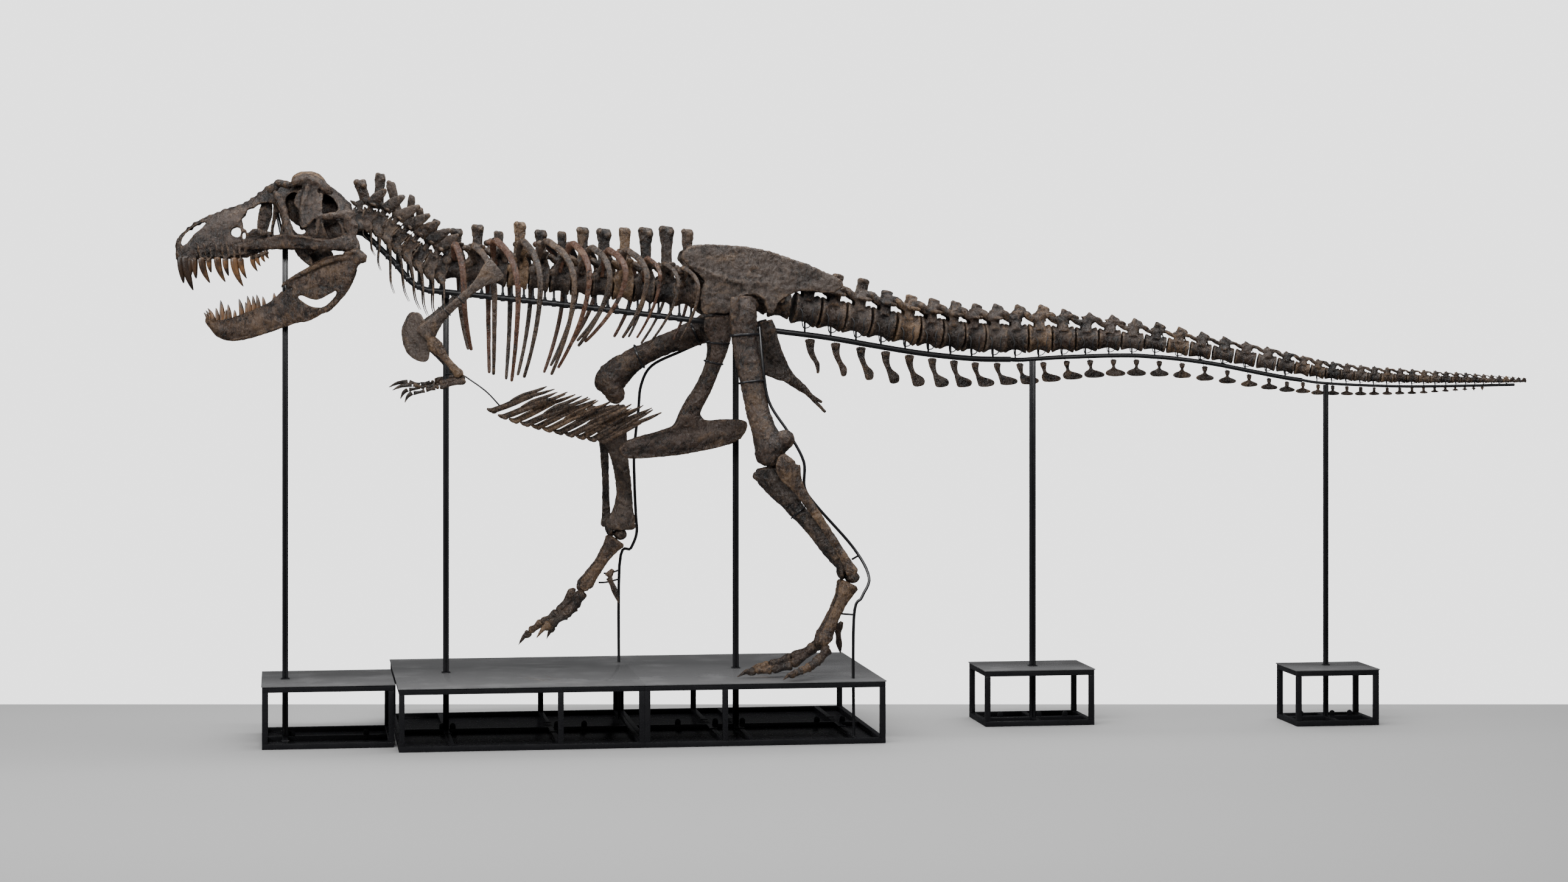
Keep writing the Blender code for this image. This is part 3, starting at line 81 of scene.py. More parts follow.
NARIS = ((-3.335, 3.665), (-3.315, 3.72), (-3.265, 3.772), (-3.19, 3.815), (-3.145, 3.824), (-3.17, 3.79),
         (-3.225, 3.745), (-3.27, 3.69), (-3.31, 3.652))
MAXILLA_HOLE = ((-2.965, 3.77), (-2.935, 3.79), (-2.905, 3.782), (-2.895, 3.745), (-2.91, 3.712),
                (-2.94, 3.715), (-2.97, 3.735))
STRUT_HOLE = ((-2.885, 3.745), (-2.868, 3.752), (-2.858, 3.735), (-2.86, 3.706), (-2.875, 3.698),
              (-2.886, 3.715))
CHEEK_HOLE = (
    (-2.885, 3.812), (-2.89, 3.85), (-2.862, 3.882), (-2.848, 3.918), (-2.8, 3.932), (-2.765, 3.958),
    (-2.7, 3.968), (-2.65, 3.955), (-2.618, 3.905), (-2.6, 3.83), (-2.602, 3.765), (-2.63, 3.728),
    (-2.735, 3.742), (-2.8, 3.728), (-2.852, 3.742), (-2.862, 3.765), (-2.88, 3.78))
ORBIT = (
    (-2.572, 3.95), (-2.565, 4.005), (-2.525, 4.04), (-2.475, 4.035), (-2.44, 3.985), (-2.442, 3.915),
    (-2.47, 3.86), (-2.455, 3.805), (-2.425, 3.77), (-2.43, 3.742), (-2.47, 3.735), (-2.505, 3.755),
    (-2.53, 3.8), (-2.55, 3.865))
UPPER_TEMPLE = ((-2.318, 3.905), (-2.322, 3.985), (-2.305, 4.025), (-2.262, 4.022), (-2.215, 3.985),
                (-2.19, 3.93), (-2.215, 3.895), (-2.262, 3.882), (-2.3, 3.868))
LOWER_TEMPLE = ((-2.3, 3.838), (-2.262, 3.85), (-2.215, 3.838), (-2.175, 3.795), (-2.158, 3.74),
                (-2.172, 3.692), (-2.215, 3.68), (-2.258, 3.7), (-2.285, 3.752))
# Teeth: x of the root, length, and how far the tip leans back as a share of the length
UPPER_TEETH = (
    (-3.333, 0.168, 0.12), (-3.298, 0.215, 0.25), (-3.262, 0.11, 0.0), (-3.235, 0.13, 0.1),
    (-3.18, 0.16, 0.36), (-3.13, 0.085, 0.2), (-3.066, 0.155, 0.36), (-3.01, 0.108, 0.22),
    (-2.945, 0.182, 0.36), (-2.898, 0.126, 0.34), (-2.812, 0.088, 0.42), (-2.78, 0.062, 0.45),
    (-2.742, 0.046, 0.5), (-2.712, 0.034, 0.6))
LOWER_TEETH = (
    (-3.138, 0.05, -0.6), (-3.118, 0.07, -0.5), (-3.098, 0.09, -0.45), (-3.065, 0.095, -0.15),
    (-3.03, 0.15, -0.1), (-3.008, 0.08, 0.05), (-2.98, 0.108, -0.1), (-2.94, 0.055, -0.05),
    (-2.89, 0.118, -0.18), (-2.852, 0.08, -0.15), (-2.832, 0.118, -0.16), (-2.8, 0.104, -0.1),
    (-2.768, 0.098, -0.15), (-2.728, 0.066, -0.15), (-2.652, 0.04, -0.1))

# Lower jaw, hung open: x, underside, top, y of the bone's middle, half thickness
JAW = (
    (-3.155, 3.085, 3.12, 0.026, 0.026), (-3.125, 3.045, 3.112, 0.04, 0.044),
    (-3.08, 2.992, 3.104, 0.06, 0.052), (-3.02, 2.958, 3.106, 0.088, 0.046),
    (-2.93, 2.95, 3.132, 0.115, 0.036), (-2.82, 2.97, 3.176, 0.14, 0.03),
    (-2.69, 3.012, 3.236, 0.165, 0.027), (-2.59, 3.046, 3.33, 0.19, 0.025), (-2.49, 3.08, 3.43, 0.22, 0.024),
    (-2.39, 3.098, 3.508, 0.25, 0.022), (-2.29, 3.16, 3.563, 0.28, 0.022),
    (-2.19, 3.245, 3.586, 0.31, 0.024), (-2.1, 3.37, 3.594, 0.33, 0.03), (-2.045, 3.5, 3.628, 0.335, 0.042),
    (-1.985, 3.53, 3.585, 0.335, 0.036))
JAW_HOLE = ((-2.48, 3.272), (-2.44, 3.235), (-2.375, 3.2), (-2.3, 3.196), (-2.24, 3.232), (-2.196, 3.28),
            (-2.2, 3.322), (-2.255, 3.292), (-2.33, 3.255), (-2.405, 3.268), (-2.45, 3.285))
JAW_SLOT = ((-2.265, 3.42), (-2.25, 3.432), (-2.232, 3.427), (-2.235, 3.405), (-2.255, 3.402))
JAW_NOTCH = ((-2.6, 3.325), (-2.57, 3.345), (-2.51, 3.352), (-2.5, 3.335), (-2.545, 3.322), (-2.585, 3.305))

# Neck: centrum x and z, radius, spine's foot x and tip x and z, its half width, end of the rib x and z
NECK = (
    (-2.03, 3.865, 0.07, -2.02, -2.035, 3.985, 0.028, -1.99, 3.7),
    (-1.965, 3.86, 0.08, -1.975, -2.03, 4.14, 0.052, -1.93, 3.58),
    (-1.89, 3.83, 0.085, -1.89, -1.872, 4.188, 0.042, -1.89, 3.47),
    (-1.82, 3.775, 0.09, -1.81, -1.8, 4.128, 0.038, -1.79, 3.3),
    (-1.75, 3.705, 0.095, -1.73, -1.64, 4.03, 0.026, -1.68, 3.24),
    (-1.67, 3.64, 0.1, -1.65, -1.58, 3.94, 0.026, -1.6, 3.18),
    (-1.59, 3.575, 0.105, -1.56, -1.46, 3.85, 0.026, -1.54, 3.13),
    (-1.505, 3.515, 0.105, -1.485, -1.465, 3.76, 0.026, -1.48, 3.12),
    (-1.425, 3.48, 0.105, -1.42, -1.412, 3.665, 0.026, -1.4, 3.15))

# Back: twelve vertebrae from the shoulder to the hip
BACK_FIRST, BACK_STEP = -1.325, 0.1575
BACK_LINE = ((-1.33, 3.49), (-0.93, 3.44), (-0.26, 3.37), (0.22, 3.32), (0.6, 3.285))
SPINE_TOPS = (3.785, 3.815, 3.765, 3.835, 3.775, 3.765, 3.795, 3.785, 3.795, 3.795, 3.805, 3.785)
# Ribs: x and z at the top, at the widest and at the end, and the widest half width
RIBS = (
    (-1.35, 3.67, -1.27, 3.3, -1.21, 2.88, 0.3), (-1.24, 3.66, -1.05, 3.28, -1.05, 2.7, 0.38),
    (-1.09, 3.7, -0.88, 3.3, -0.92, 2.65, 0.44), (-0.87, 3.69, -0.72, 3.35, -0.83, 2.68, 0.48),
    (-0.72, 3.69, -0.47, 3.36, -0.63, 2.7, 0.5), (-0.5, 3.67, -0.36, 3.42, -0.58, 2.75, 0.5),
    (-0.36, 3.64, -0.21, 3.42, -0.43, 2.91, 0.49), (-0.23, 3.62, -0.09, 3.44, -0.38, 2.94, 0.48),
    (-0.11, 3.62, 0.07, 3.41, -0.1, 2.97, 0.46), (0.07, 3.56, 0.17, 3.42, 0.01, 2.97, 0.43),
    (0.2, 3.52, 0.31, 3.37, 0.1, 2.92, 0.38), (0.33, 3.49, 0.47, 3.33, 0.34, 2.95, 0.31))

# Hip bones, seen from the side
ILIUM = (
    (0.365, 3.585), (0.44, 3.655), (0.61, 3.668), (0.8, 3.655), (0.95, 3.636), (1.21, 3.556), (1.44, 3.466),
    (1.57, 3.398), (1.575, 3.345), (1.5, 3.305), (1.38, 3.312), (1.26, 3.318), (1.14, 3.27), (1.075, 3.22),
    (1.05, 3.155), (1.01, 3.155), (0.98, 3.24), (0.93, 3.285), (0.83, 3.295), (0.77, 3.25), (0.715, 3.155),
    (0.62, 3.15), (0.525, 3.155), (0.505, 3.21), (0.535, 3.33), (0.53, 3.4), (0.47, 3.46), (0.4, 3.515))
PUBIS_BOOT = (
    (-0.095, 2.12), (-0.065, 2.175), (0.05, 2.222), (0.19, 2.257), (0.32, 2.308), (0.38, 2.4), (0.5, 2.4),
    (0.56, 2.345), (0.72, 2.35), (0.865, 2.335), (0.855, 2.25), (0.78, 2.182), (0.66, 2.142), (0.4, 2.093),
    (0.16, 2.068), (-0.03, 2.064))

# Tail: (number of the vertebra, value), with straight runs between
CAUDALS, CHEVRONS = 44, 38
TAIL_STEP = ((0, 0.203), (3, 0.195), (7, 0.165), (9, 0.185), (19, 0.17), (22, 0.118), (30, 0.094),
             (43, 0.04))
TAIL_RADIUS = (
    (0, 0.125), (4, 0.122), (10, 0.115), (12, 0.096), (15, 0.062), (20, 0.06), (24, 0.047), (31, 0.034),
    (36, 0.024), (43, 0.012))
TAIL_SPINE = (
    (0, 0.305), (2, 0.31), (3, 0.255), (10, 0.25), (12, 0.18), (16, 0.14), (20, 0.1), (24, 0.074),
    (31, 0.055), (36, 0.04), (43, 0.022))
TAIL_LINE = (
    (1.3, 0.02, 3.18), (1.69, 0.06, 3.11), (2.17, 0.1, 3.02), (2.66, 0.16, 2.962), (2.98, 0.2, 2.954),
    (3.71, 0.15, 2.944), (4.07, 0.11, 2.916), (4.42, 0.07, 2.859), (4.75, 0.02, 2.803), (5.04, -0.03, 2.746),
    (5.37, -0.08, 2.685), (5.73, -0.12, 2.652), (6.19, -0.17, 2.637), (6.86, -0.24, 2.623))
TAIL_LENGTHS = (10, 20, 31, 44)
CHEVRON_LENGTHS = (8, 21, 38)
CHEVRON_DEPTH = ((0, 0.29), (4, 0.27), (8, 0.2), (12, 0.165), (17, 0.14), (22, 0.1), (30, 0.06), (37, 0.022))
CHEVRON_FOOT = ((0, 0.03), (2, 0.07), (5, 0.11), (8, 0.14), (12, 0.16), (20, 0.13), (28, 0.08), (37, 0.035))

# The bar under the spine, as (x, y, z)
NECK_BAR = (
    (-2.1, 0.0, 3.75), (-2.03, 0.0, 3.752), (-1.96, 0.0, 3.715), (-1.77, 0.0, 3.53), (-1.66, 0.0, 3.4),
    (-1.58, 0.0, 3.345), (-1.5, 0.0, 3.32), (-1.38, 0.0, 3.31), (-0.54, 0.0, 3.22))
HIP_BAR = ((0.1, 0.0, 3.145), (0.54, 0.0, 3.09), (1.07, 0.0, 3.02))
TAIL_BAR = (
    (1.5, 0.04, 2.965), (1.88, 0.08, 2.9), (2.26, 0.12, 2.84), (2.65, 0.16, 2.8), (3.05, 0.2, 2.79),
    (3.35, 0.19, 2.808), (3.82, 0.14, 2.822), (4.06, 0.12, 2.812), (4.27, 0.09, 2.793), (4.54, 0.05, 2.754),
    (4.81, 0.01, 2.7), (5.07, -0.03, 2.65), (5.34, -0.07, 2.61), (5.67, -0.11, 2.591), (6.1, -0.16, 2.581),
    (6.84, -0.24, 2.594))
BAR_JOINTS = (0.54, 2.95, 5.2, 6.84)   # x where one length of the bar meets the next
BAR_SHARES = (1.0, 0.78, 0.5)           # how thick each of those lengths is, against the front bar

# Legs: rows of (x, y, z, half width across, half depth) for the long bones, points for the rest
LEGS = {
    LEFT: {
        "femur": ((0.835, -0.27, 3.27, 0.06, 0.05), (0.815, -0.29, 3.14, 0.08, 0.098),
                  (0.815, -0.3, 2.95, 0.075, 0.095), (0.855, -0.34, 2.7, 0.075, 0.092),
                  (0.9, -0.38, 2.45, 0.078, 0.086), (0.945, -0.42, 2.29, 0.1, 0.095),
                  (0.99, -0.44, 2.15, 0.12, 0.115), (0.99, -0.45, 2.06, 0.115, 0.1),
                  (0.99, -0.45, 2.02, 0.08, 0.055)),
        "head": ((0.865, -0.125, 3.215, 0.05, 0.05), (0.865, -0.16, 3.215, 0.078, 0.078),
                 (0.85, -0.22, 3.2, 0.072, 0.072), (0.83, -0.3, 3.18, 0.07, 0.07)),
        "condyles": (((0.96, -0.365, 2.12), (1.075, -0.375, 2.175)),
                     ((0.95, -0.515, 2.12), (1.085, -0.52, 2.215))),
        "ridges": (((0.9, -0.24, 3.02), (0.935, -0.27, 2.86), (0.93, -0.31, 2.68)),
                   ((0.745, -0.335, 3.27), (0.735, -0.335, 3.16), (0.755, -0.325, 3.02))),
        "tibia": ((1.0, -0.42, 2.02, 0.085, 0.115), (1.02, -0.425, 1.95, 0.095, 0.135),
                  (1.085, -0.44, 1.83, 0.075, 0.095), (1.18, -0.46, 1.7, 0.062, 0.065),
                  (1.3, -0.49, 1.56, 0.058, 0.06), (1.43, -0.52, 1.4, 0.068, 0.062),
                  (1.52, -0.54, 1.3, 0.09, 0.062), (1.565, -0.548, 1.235, 0.092, 0.05)),
        "cnemial": ((0.865, -0.44, 1.95, 0.03, 0.025), (0.95, -0.44, 1.93, 0.05, 0.06),
                    (1.05, -0.44, 1.85, 0.05, 0.06)),
        "fibula": ((1.125, -0.565, 2.085, 0.018, 0.05), (1.105, -0.568, 2.05, 0.028, 0.088),
                   (1.115, -0.57, 1.98, 0.028, 0.092), (1.17, -0.57, 1.88, 0.025, 0.054),
                   (1.235, -0.58, 1.78, 0.024, 0.04), (1.395, -0.605, 1.54, 0.02, 0.032),
                   (1.535, -0.635, 1.31, 0.022, 0.036), (1.57, -0.645, 1.245, 0.025, 0.05),
                   (1.585, -0.648, 1.22, 0.018, 0.034)),
        "shin": ((1.52, -0.545, 1.3), (1.585, -0.555, 1.2)),
        "ankle": (1.56, -0.57, 1.155), "heads": (1.335, -0.6, 0.725), "spread": 0.085,
        "hallux": ((1.49, -0.5, 0.8), (1.5, -0.48, 0.71), (1.515, -0.47, 0.62)),
        "toes": {
            "digit_2": ((1.36, -0.5, 0.7), (1.22, -0.42, 0.62), (1.06, -0.36, 0.54), (0.97, -0.33, 0.525),
                        (0.82, -0.28, 0.472)),
            "digit_3": ((1.3, -0.6, 0.69), (1.14, -0.6, 0.56), (0.99, -0.6, 0.525), (0.87, -0.6, 0.525),
                        (0.72, -0.6, 0.472)),
            "digit_4": ((1.38, -0.7, 0.68), (1.3, -0.75, 0.6), (1.22, -0.79, 0.55), (1.13, -0.83, 0.525),
                        (1.02, -0.87, 0.472))}},
    RIGHT: {
        "femur": ((0.9, 0.24, 3.2, 0.06, 0.06), (0.8, 0.27, 3.15, 0.08, 0.095),
                  (0.64, 0.29, 3.07, 0.08, 0.1), (0.46, 0.32, 2.975, 0.075, 0.092),
                  (0.25, 0.36, 2.892, 0.075, 0.078), (0.07, 0.4, 2.8, 0.09, 0.088),
                  (-0.07, 0.43, 2.69, 0.118, 0.115), (-0.145, 0.44, 2.6, 0.118, 0.11),
                  (-0.175, 0.44, 2.55, 0.08, 0.06)),
        "head": ((0.885, 0.125, 3.215, 0.05, 0.05), (0.885, 0.16, 3.215, 0.076, 0.076),
                 (0.88, 0.22, 3.2, 0.072, 0.072), (0.84, 0.3, 3.17, 0.07, 0.07)),
        "condyles": (((-0.14, 0.365, 2.63), (-0.085, 0.375, 2.535)),
                     ((-0.13, 0.515, 2.62), (-0.075, 0.52, 2.54))),
        "ridges": (((0.7, 0.25, 2.985), (0.55, 0.28, 2.935), (0.4, 0.31, 2.885)),
                   ((0.8, 0.325, 3.24), (0.7, 0.325, 3.19), (0.58, 0.32, 3.11))),
        "tibia": ((-0.13, 0.45, 2.44, 0.085, 0.125), (-0.12, 0.45, 2.37, 0.095, 0.138),
                  (-0.085, 0.46, 2.23, 0.075, 0.102), (-0.045, 0.47, 2.05, 0.06, 0.068),
                  (-0.015, 0.48, 1.88, 0.058, 0.058), (-0.005, 0.5, 1.72, 0.068, 0.066),
                  (-0.015, 0.52, 1.58, 0.092, 0.094), (-0.02, 0.528, 1.515, 0.092, 0.108),
                  (-0.02, 0.528, 1.485, 0.08, 0.09)),
        "cnemial": ((-0.29, 0.45, 2.425, 0.03, 0.025), (-0.22, 0.45, 2.38, 0.05, 0.06),
                    (-0.14, 0.45, 2.26, 0.05, 0.06)),
        "fibula": ((-0.16, 0.59, 2.435, 0.018, 0.05), (-0.16, 0.59, 2.4, 0.026, 0.082),
                   (-0.16, 0.59, 2.34, 0.026, 0.074), (-0.155, 0.595, 2.2, 0.023, 0.042),
                   (-0.145, 0.605, 2.05, 0.021, 0.033), (-0.135, 0.62, 1.8, 0.018, 0.029),
                   (-0.13, 0.64, 1.6, 0.02, 0.034), (-0.128, 0.648, 1.53, 0.022, 0.044),
                   (-0.126, 0.648, 1.505, 0.014, 0.028)),
        "shin": ((-0.01, 0.525, 1.56), (-0.03, 0.535, 1.46)),
        "ankle": (-0.06, 0.56, 1.415), "heads": (-0.325, 0.57, 1.05), "spread": 0.085,
        "hallux": ((-0.13, 0.46, 1.14), (-0.085, 0.45, 1.04), (-0.05, 0.45, 0.93)),
        "toes": {
            "digit_2": ((-0.33, 0.48, 1.01), (-0.44, 0.43, 0.87), (-0.54, 0.4, 0.8), (-0.6, 0.38, 0.79),
                        (-0.69, 0.36, 0.68)),
            "digit_3": ((-0.38, 0.57, 1.02), (-0.5, 0.57, 0.86), (-0.6, 0.57, 0.79), (-0.68, 0.57, 0.765),
                        (-0.81, 0.57, 0.61)),
            "digit_4": ((-0.31, 0.66, 1.0), (-0.37, 0.7, 0.88), (-0.44, 0.72, 0.81), (-0.5, 0.74, 0.79),
                        (-0.58, 0.76, 0.63))}}}
# Where one bone of a toe meets the next, as a share of the toe
TOE_JOINTS = {"digit_2": (0, 0.4, 0.68, 1), "digit_3": (0, 0.34, 0.58, 0.77, 1),
              "digit_4": (0, 0.27, 0.46, 0.61, 0.76, 1)}

# Mount: platforms as name, low x and y, high x and y, height, x of the cross rails, y of the long rail
TUBE, DECK, LIP, JOINT = 0.04, 0.008, 0.006, 0.01
PLATFORMS = (
    ("platform_front", (JOINT - 1.775, -0.87), (JOINT - GAP / 2, 1.11), 0.46, (-1.382, -0.6), 0.12),
    ("platform_rear", (JOINT + GAP / 2, -0.87), (JOINT + 1.775, 1.11), 0.46, (0.6, 0.807, 1.576), 0.12),
    ("head_base", (-2.74, -0.58), (-1.79, 0.41), 0.46, (-2.573,), -0.12),
    ("tail_base_1", (2.7, -0.07), (3.55, 0.55), 0.43, (3.125,), 0.196),
    ("tail_base_2", (5.05, -0.4), (5.7, 0.13), 0.43, (5.38,), -0.076))
# Posts: name, x, y and half size
POSTS = (
    ("head_post", -2.573, -0.12, 0.0215), ("shoulder_post", -1.382, 0.12, 0.0215),
    ("hip_post", 0.807, 0.12, 0.0215), ("tail_post_1", 3.125, 0.196, 0.0215),
    ("tail_post_2", 5.38, -0.076, 0.017))
# Short rods from a leg rod to the foot: name, solid, and for each its points, radius and steps
FOOT_BRACES = (
    ("left_foot_brace", "leg_rod_left",
     (((1.576, -0.7, 0.93), (1.5, -0.62, 0.93), (1.47, -0.6, 0.94)), 0.007, 3),
     (((1.62, -0.64, 1.36), (1.585, -0.58, 1.33)), 0.008, 2)),
    ("right_foot_brace", "leg_rod_right",
     (((-0.025, 0.66, 1.17), (-0.1, 0.62, 1.15), (-0.15, 0.6, 1.15)), 0.007, 3),
     (((-0.025, 0.66, 1.1), (-0.13, 0.62, 1.08), (-0.19, 0.6, 1.08)), 0.007, 3)))
# Bands round the leg bones: name, solid, and for each band its centre, axis, half sizes and thickness
STRAPS = (
    ("left_thigh_straps", "femur_left", ((0.815, -0.295, 2.99), (0.05, -0.05, -1), 0.09, 0.11, 0.009),
     ((0.865, -0.35, 2.64), (0.1, -0.1, -1), 0.084, 0.1, 0.007)),
    ("left_shin_strap", "tibia_left", ((1.2, -0.465, 1.675), (0.5, -0.1, -0.6), 0.068, 0.072, 0.006)),
    ("right_thigh_straps", "femur_right", ((0.52, 0.31, 3.0), (1, -0.15, 0.45), 0.086, 0.102, 0.009),
     ((0.1, 0.39, 2.82), (1, -0.2, 0.45), 0.096, 0.096, 0.007)))
# Bent rods behind the legs, as points from the platform up
LEG_RODS = (
    ("leg_rod_left", (
        (1.576, -0.7, 0.02), (1.576, -0.7, 0.9), (1.64, -0.69, 1.06), (1.7, -0.64, 1.2), (1.6, -0.55, 1.41),
        (1.33, -0.515, 1.72), (1.24, -0.5, 1.86), (1.235, -0.49, 2.05), (1.13, -0.45, 2.26),
        (0.985, -0.4, 2.5), (0.945, -0.36, 2.8), (0.93, -0.3, 3.05))),
    ("leg_rod_right", (
        (-0.025, 0.66, 0.02), (-0.025, 0.66, 1.2), (0.06, 0.62, 1.34), (0.1, 0.58, 1.46), (0.09, 0.54, 1.6),
        (0.075, 0.5, 1.85), (0.07, 0.47, 2.1), (0.1, 0.46, 2.4), (0.12, 0.44, 2.6), (0.2, 0.4, 2.75),
        (0.42, 0.35, 2.86), (0.62, 0.3, 2.95))))

# Studio
CAMERA_PLACE = (-2.587, -25.219, 3.287)
CAMERA_TURN = math.radians(-8.45)
CAMERA_LENS = 77.38
CAMERA_SHIFT = -0.093
FLOOR_AWAY = 27.08          # distance from the camera to the far edge of the floor
WALL_AWAY = 100.0           # distance from the camera to the backdrop, beyond where the back is looked at


# Numbers along lines

def through(rows, steps):
    """Rows of numbers on a smooth curve through the given rows."""
    if steps == 1:
        return [tuple(row) for row in rows]
    found = []
    last = len(rows) - 1
    for i in range(last):
        four = (rows[max(i - 1, 0)], rows[i], rows[i + 1], rows[min(i + 2, last)])
        for k in range(steps):
            t = k / steps
            found.append(tuple(
                0.5 * (2 * b + (c - a) * t + (2 * a - 5 * b + 4 * c - d) * t ** 2
                       + (3 * b - a - 3 * c + d) * t ** 3)
                for a, b, c, d in zip(*four)))
    found.append(tuple(rows[-1]))
    return found


def smooth_outline(points, steps):
    """A closed outline of (x, z) on a smooth curve through the given points."""
    count = len(points)
    found = []
    for i in range(count):
        four = [points[(i + k) % count] for k in (-1, 0, 1, 2)]
        found += through(four, steps)[steps:2 * steps]
    return found


def run(table, at):
    """Value at a place in a table of (place, value), with straight runs between."""
    for (a, low), (b, high) in zip(table, table[1:]):
        if at <= b:
            return low + (high - low) * (at - a) / (b - a)
    return table[-1][1]


def along(line, x):
    """The rest of a row of a line at x, such as y and z, with straight runs between."""
    for low, high in zip(line, line[1:]):
        if x <= high[0] or high is line[-1]:
            t = (x - low[0]) / (high[0] - low[0])
            return tuple(a + (b - a) * t for a, b in zip(low[1:], high[1:]))


def directions(sides):
    """Cosine and sine of the directions to the corners of a section."""
    turns = [2 * math.pi * (k + 0.5) / sides for k in range(sides)]
    return [(math.cos(turn), math.sin(turn)) for turn in turns]


def rough(*numbers):
    """A steady pseudo-random number from 0 to 1 for a place or a count."""
    value = math.sin(sum(n * k for n, k in zip(numbers, (12.9898, 78.233, 37.719)))) * 43758.5453
    return value - math.floor(value)


# Mesh code

class Form:
    """Points and faces of a piece while it is being built, turned over to the left where side is -1."""

    def __init__(self, side=RIGHT):
        self.side = side
        self.points, self.faces, self.marks = [], [], []

    def skin(self, rings):
        """Closed solid through rings of points, with its two ends capped."""
        start, count = len(self.points), len(rings[0])
        for r, ring in enumerate(rings):
            self.points += [tuple(point) for point in ring]
            self.marks += [r / (len(rings) - 1)] * count
        for r in range(len(rings) - 1):
            for i in range(count):
                j, a = (i + 1) % count, start + r * count
                self.faces.append((a + i, a + j, a + count + j, a + count + i))
        end = start + (len(rings) - 1) * count
        self.faces.append(tuple(start + i for i in reversed(range(count))))
        self.faces.append(tuple(end + i for i in range(count)))
        return self

    def sweep(self, rows, sides=14, steps=4, across=(0, 1, 0), square=1.0):
        """Solid along rows of (x, y, z, half width across, half depth)."""
        rows = through([(x, self.side * y, *rest) for x, y, *rest in rows], steps)
        points = [Vector(row[:3]) for row in rows]
        last = len(rows) - 1
        rings = []
        for i, row in enumerate(rows):
            ahead = (points[min(i + 1, last)] - points[max(i - 1, 0)]).normalized()
            side = Vector(across)
            side = (side - ahead * side.dot(ahead)).normalized()
            up = ahead.cross(side)
            ring = []
            for c, s in directions(sides):
                wide = math.copysign(abs(c) ** square, c) * max(row[3], 0.0004)
                deep = math.copysign(abs(s) ** square, s) * max(row[4], 0.0004)
                ring.append(points[i] + side * wide + up * deep)
            rings.append(ring)
        return self.skin(rings)

    def rod(self, points, radius, sides=12, steps=4):
        return self.sweep([(*point, radius, radius) for point in points], sides, steps)

    def lump(self, centre, size, across=(0, 1, 0), ahead=(1, 0, 0)):
        """A rounded lump of half sizes (along, across, up)."""
        centre, ahead = Vector(centre), Vector(ahead).normalized()
        rows = []
        for k in range(7):
            turn = math.pi * (k / 6 - 0.5)
            out = max(math.cos(turn), 0.05)
            rows.append((*(centre + ahead * size[0] * math.sin(turn)), size[1] * out, size[2] * out))
        return self.sweep(rows, 12, 1, across)

    def plate(self, outline, y, half, steps=4):
        """Plate of a side-view outline of (x, z), at y, with half its thickness."""
        outline = smooth_outline(outline, steps) if steps > 1 else outline
        return self.skin([[(x, self.side * y + way * half, z) for x, z in outline] for way in (-1, 1)])

    def block(self, low, high):
        ring = ((0, 0), (1, 0), (1, 1), (0, 1))
        return self.skin([[(low[0] + a * (high[0] - low[0]), low[1] + b * (high[1] - low[1]), z)
                           for a, b in ring]
                          for z in (low[2], high[2])])

    def join(self, other):
        """Take in the points and faces of another form."""
        start = len(self.points)
        self.points += other.points
        self.marks += other.marks
        self.faces += [tuple(i + start for i in face) for face in other.faces]
        return self

    def bend(self, move):
        """Move every point by a function of its place."""
        self.points = [tuple(move(Vector(point))) for point in self.points]
        return self

    def item(self, name):
        mesh = bpy.data.meshes.new(name)
        mesh.from_pydata(self.points, [], self.faces)
        mark = mesh.attributes.new("mark", "FLOAT", "POINT")
        mark.data.foreach_set("value", self.marks)
        shape = bmesh.new()
        shape.from_mesh(mesh)
        bmesh.ops.recalc_face_normals(shape, faces=shape.faces)
        shape.to_mesh(mesh)
        shape.free()
        item = bpy.data.objects.new(name, mesh)
        bpy.context.scene.collection.objects.link(item)
        return item


def with_modifiers(item):
    """The mesh of an item with its modifiers applied, which are then taken off."""
    bpy.context.view_layer.update()
    mesh = bpy.data.meshes.new_from_object(item.evaluated_get(bpy.context.evaluated_depsgraph_get()))
    item.modifiers.clear()
    return mesh


def carved(form, cutters):
    """A form with other forms cut out of it."""
    body = form.item("body")
    group = bpy.data.collections.new("cutters")
    bpy.context.scene.collection.children.link(group)
    for cutter in cutters:
        item = cutter.item("cutter")
        bpy.context.scene.collection.objects.unlink(item)
        group.objects.link(item)
    modifier = body.modifiers.new("Cut", "BOOLEAN")
    modifier.operation = "DIFFERENCE"
    modifier.operand_type = "COLLECTION"
    modifier.collection = group
    modifier.solver = "MANIFOLD"
    mesh = with_modifiers(body)
    result = Form()
    result.points = [tuple(vertex.co) for vertex in mesh.vertices]
    result.faces = [tuple(polygon.vertices) for polygon in mesh.polygons]
    result.marks = [0.0] * len(result.points)
    for item in list(group.objects) + [body]:
        bpy.data.objects.remove(item, do_unlink=True)
    bpy.data.collections.remove(group)
    return result


def cloud(name, size, depth=3):
    """A soft noise that pushes a surface in and out."""
    texture = bpy.data.textures.get(name) or bpy.data.textures.new(name, "CLOUDS")
    texture.noise_scale = size
    texture.noise_depth = depth
    return texture


def push(item, texture, strength):
    """Press a texture into an item's surface."""
    modifier = item.modifiers.new("Push", "DISPLACE")
    modifier.texture = texture
    modifier.strength = strength
    modifier.mid_level = 0.5


def settle(item, paint, nodes, smooth=True, crisp=None):
    """Give a finished piece its looks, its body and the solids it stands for."""
    if smooth:
        item.data.polygons.foreach_set("use_smooth", [True] * len(item.data.polygons))
        if crisp:
            item.data.set_sharp_from_angle(angle=math.radians(crisp))
    item.data.materials.clear()
    item.data.materials.append(paint)
    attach(item, "root")
    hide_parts(*nodes)
    return item


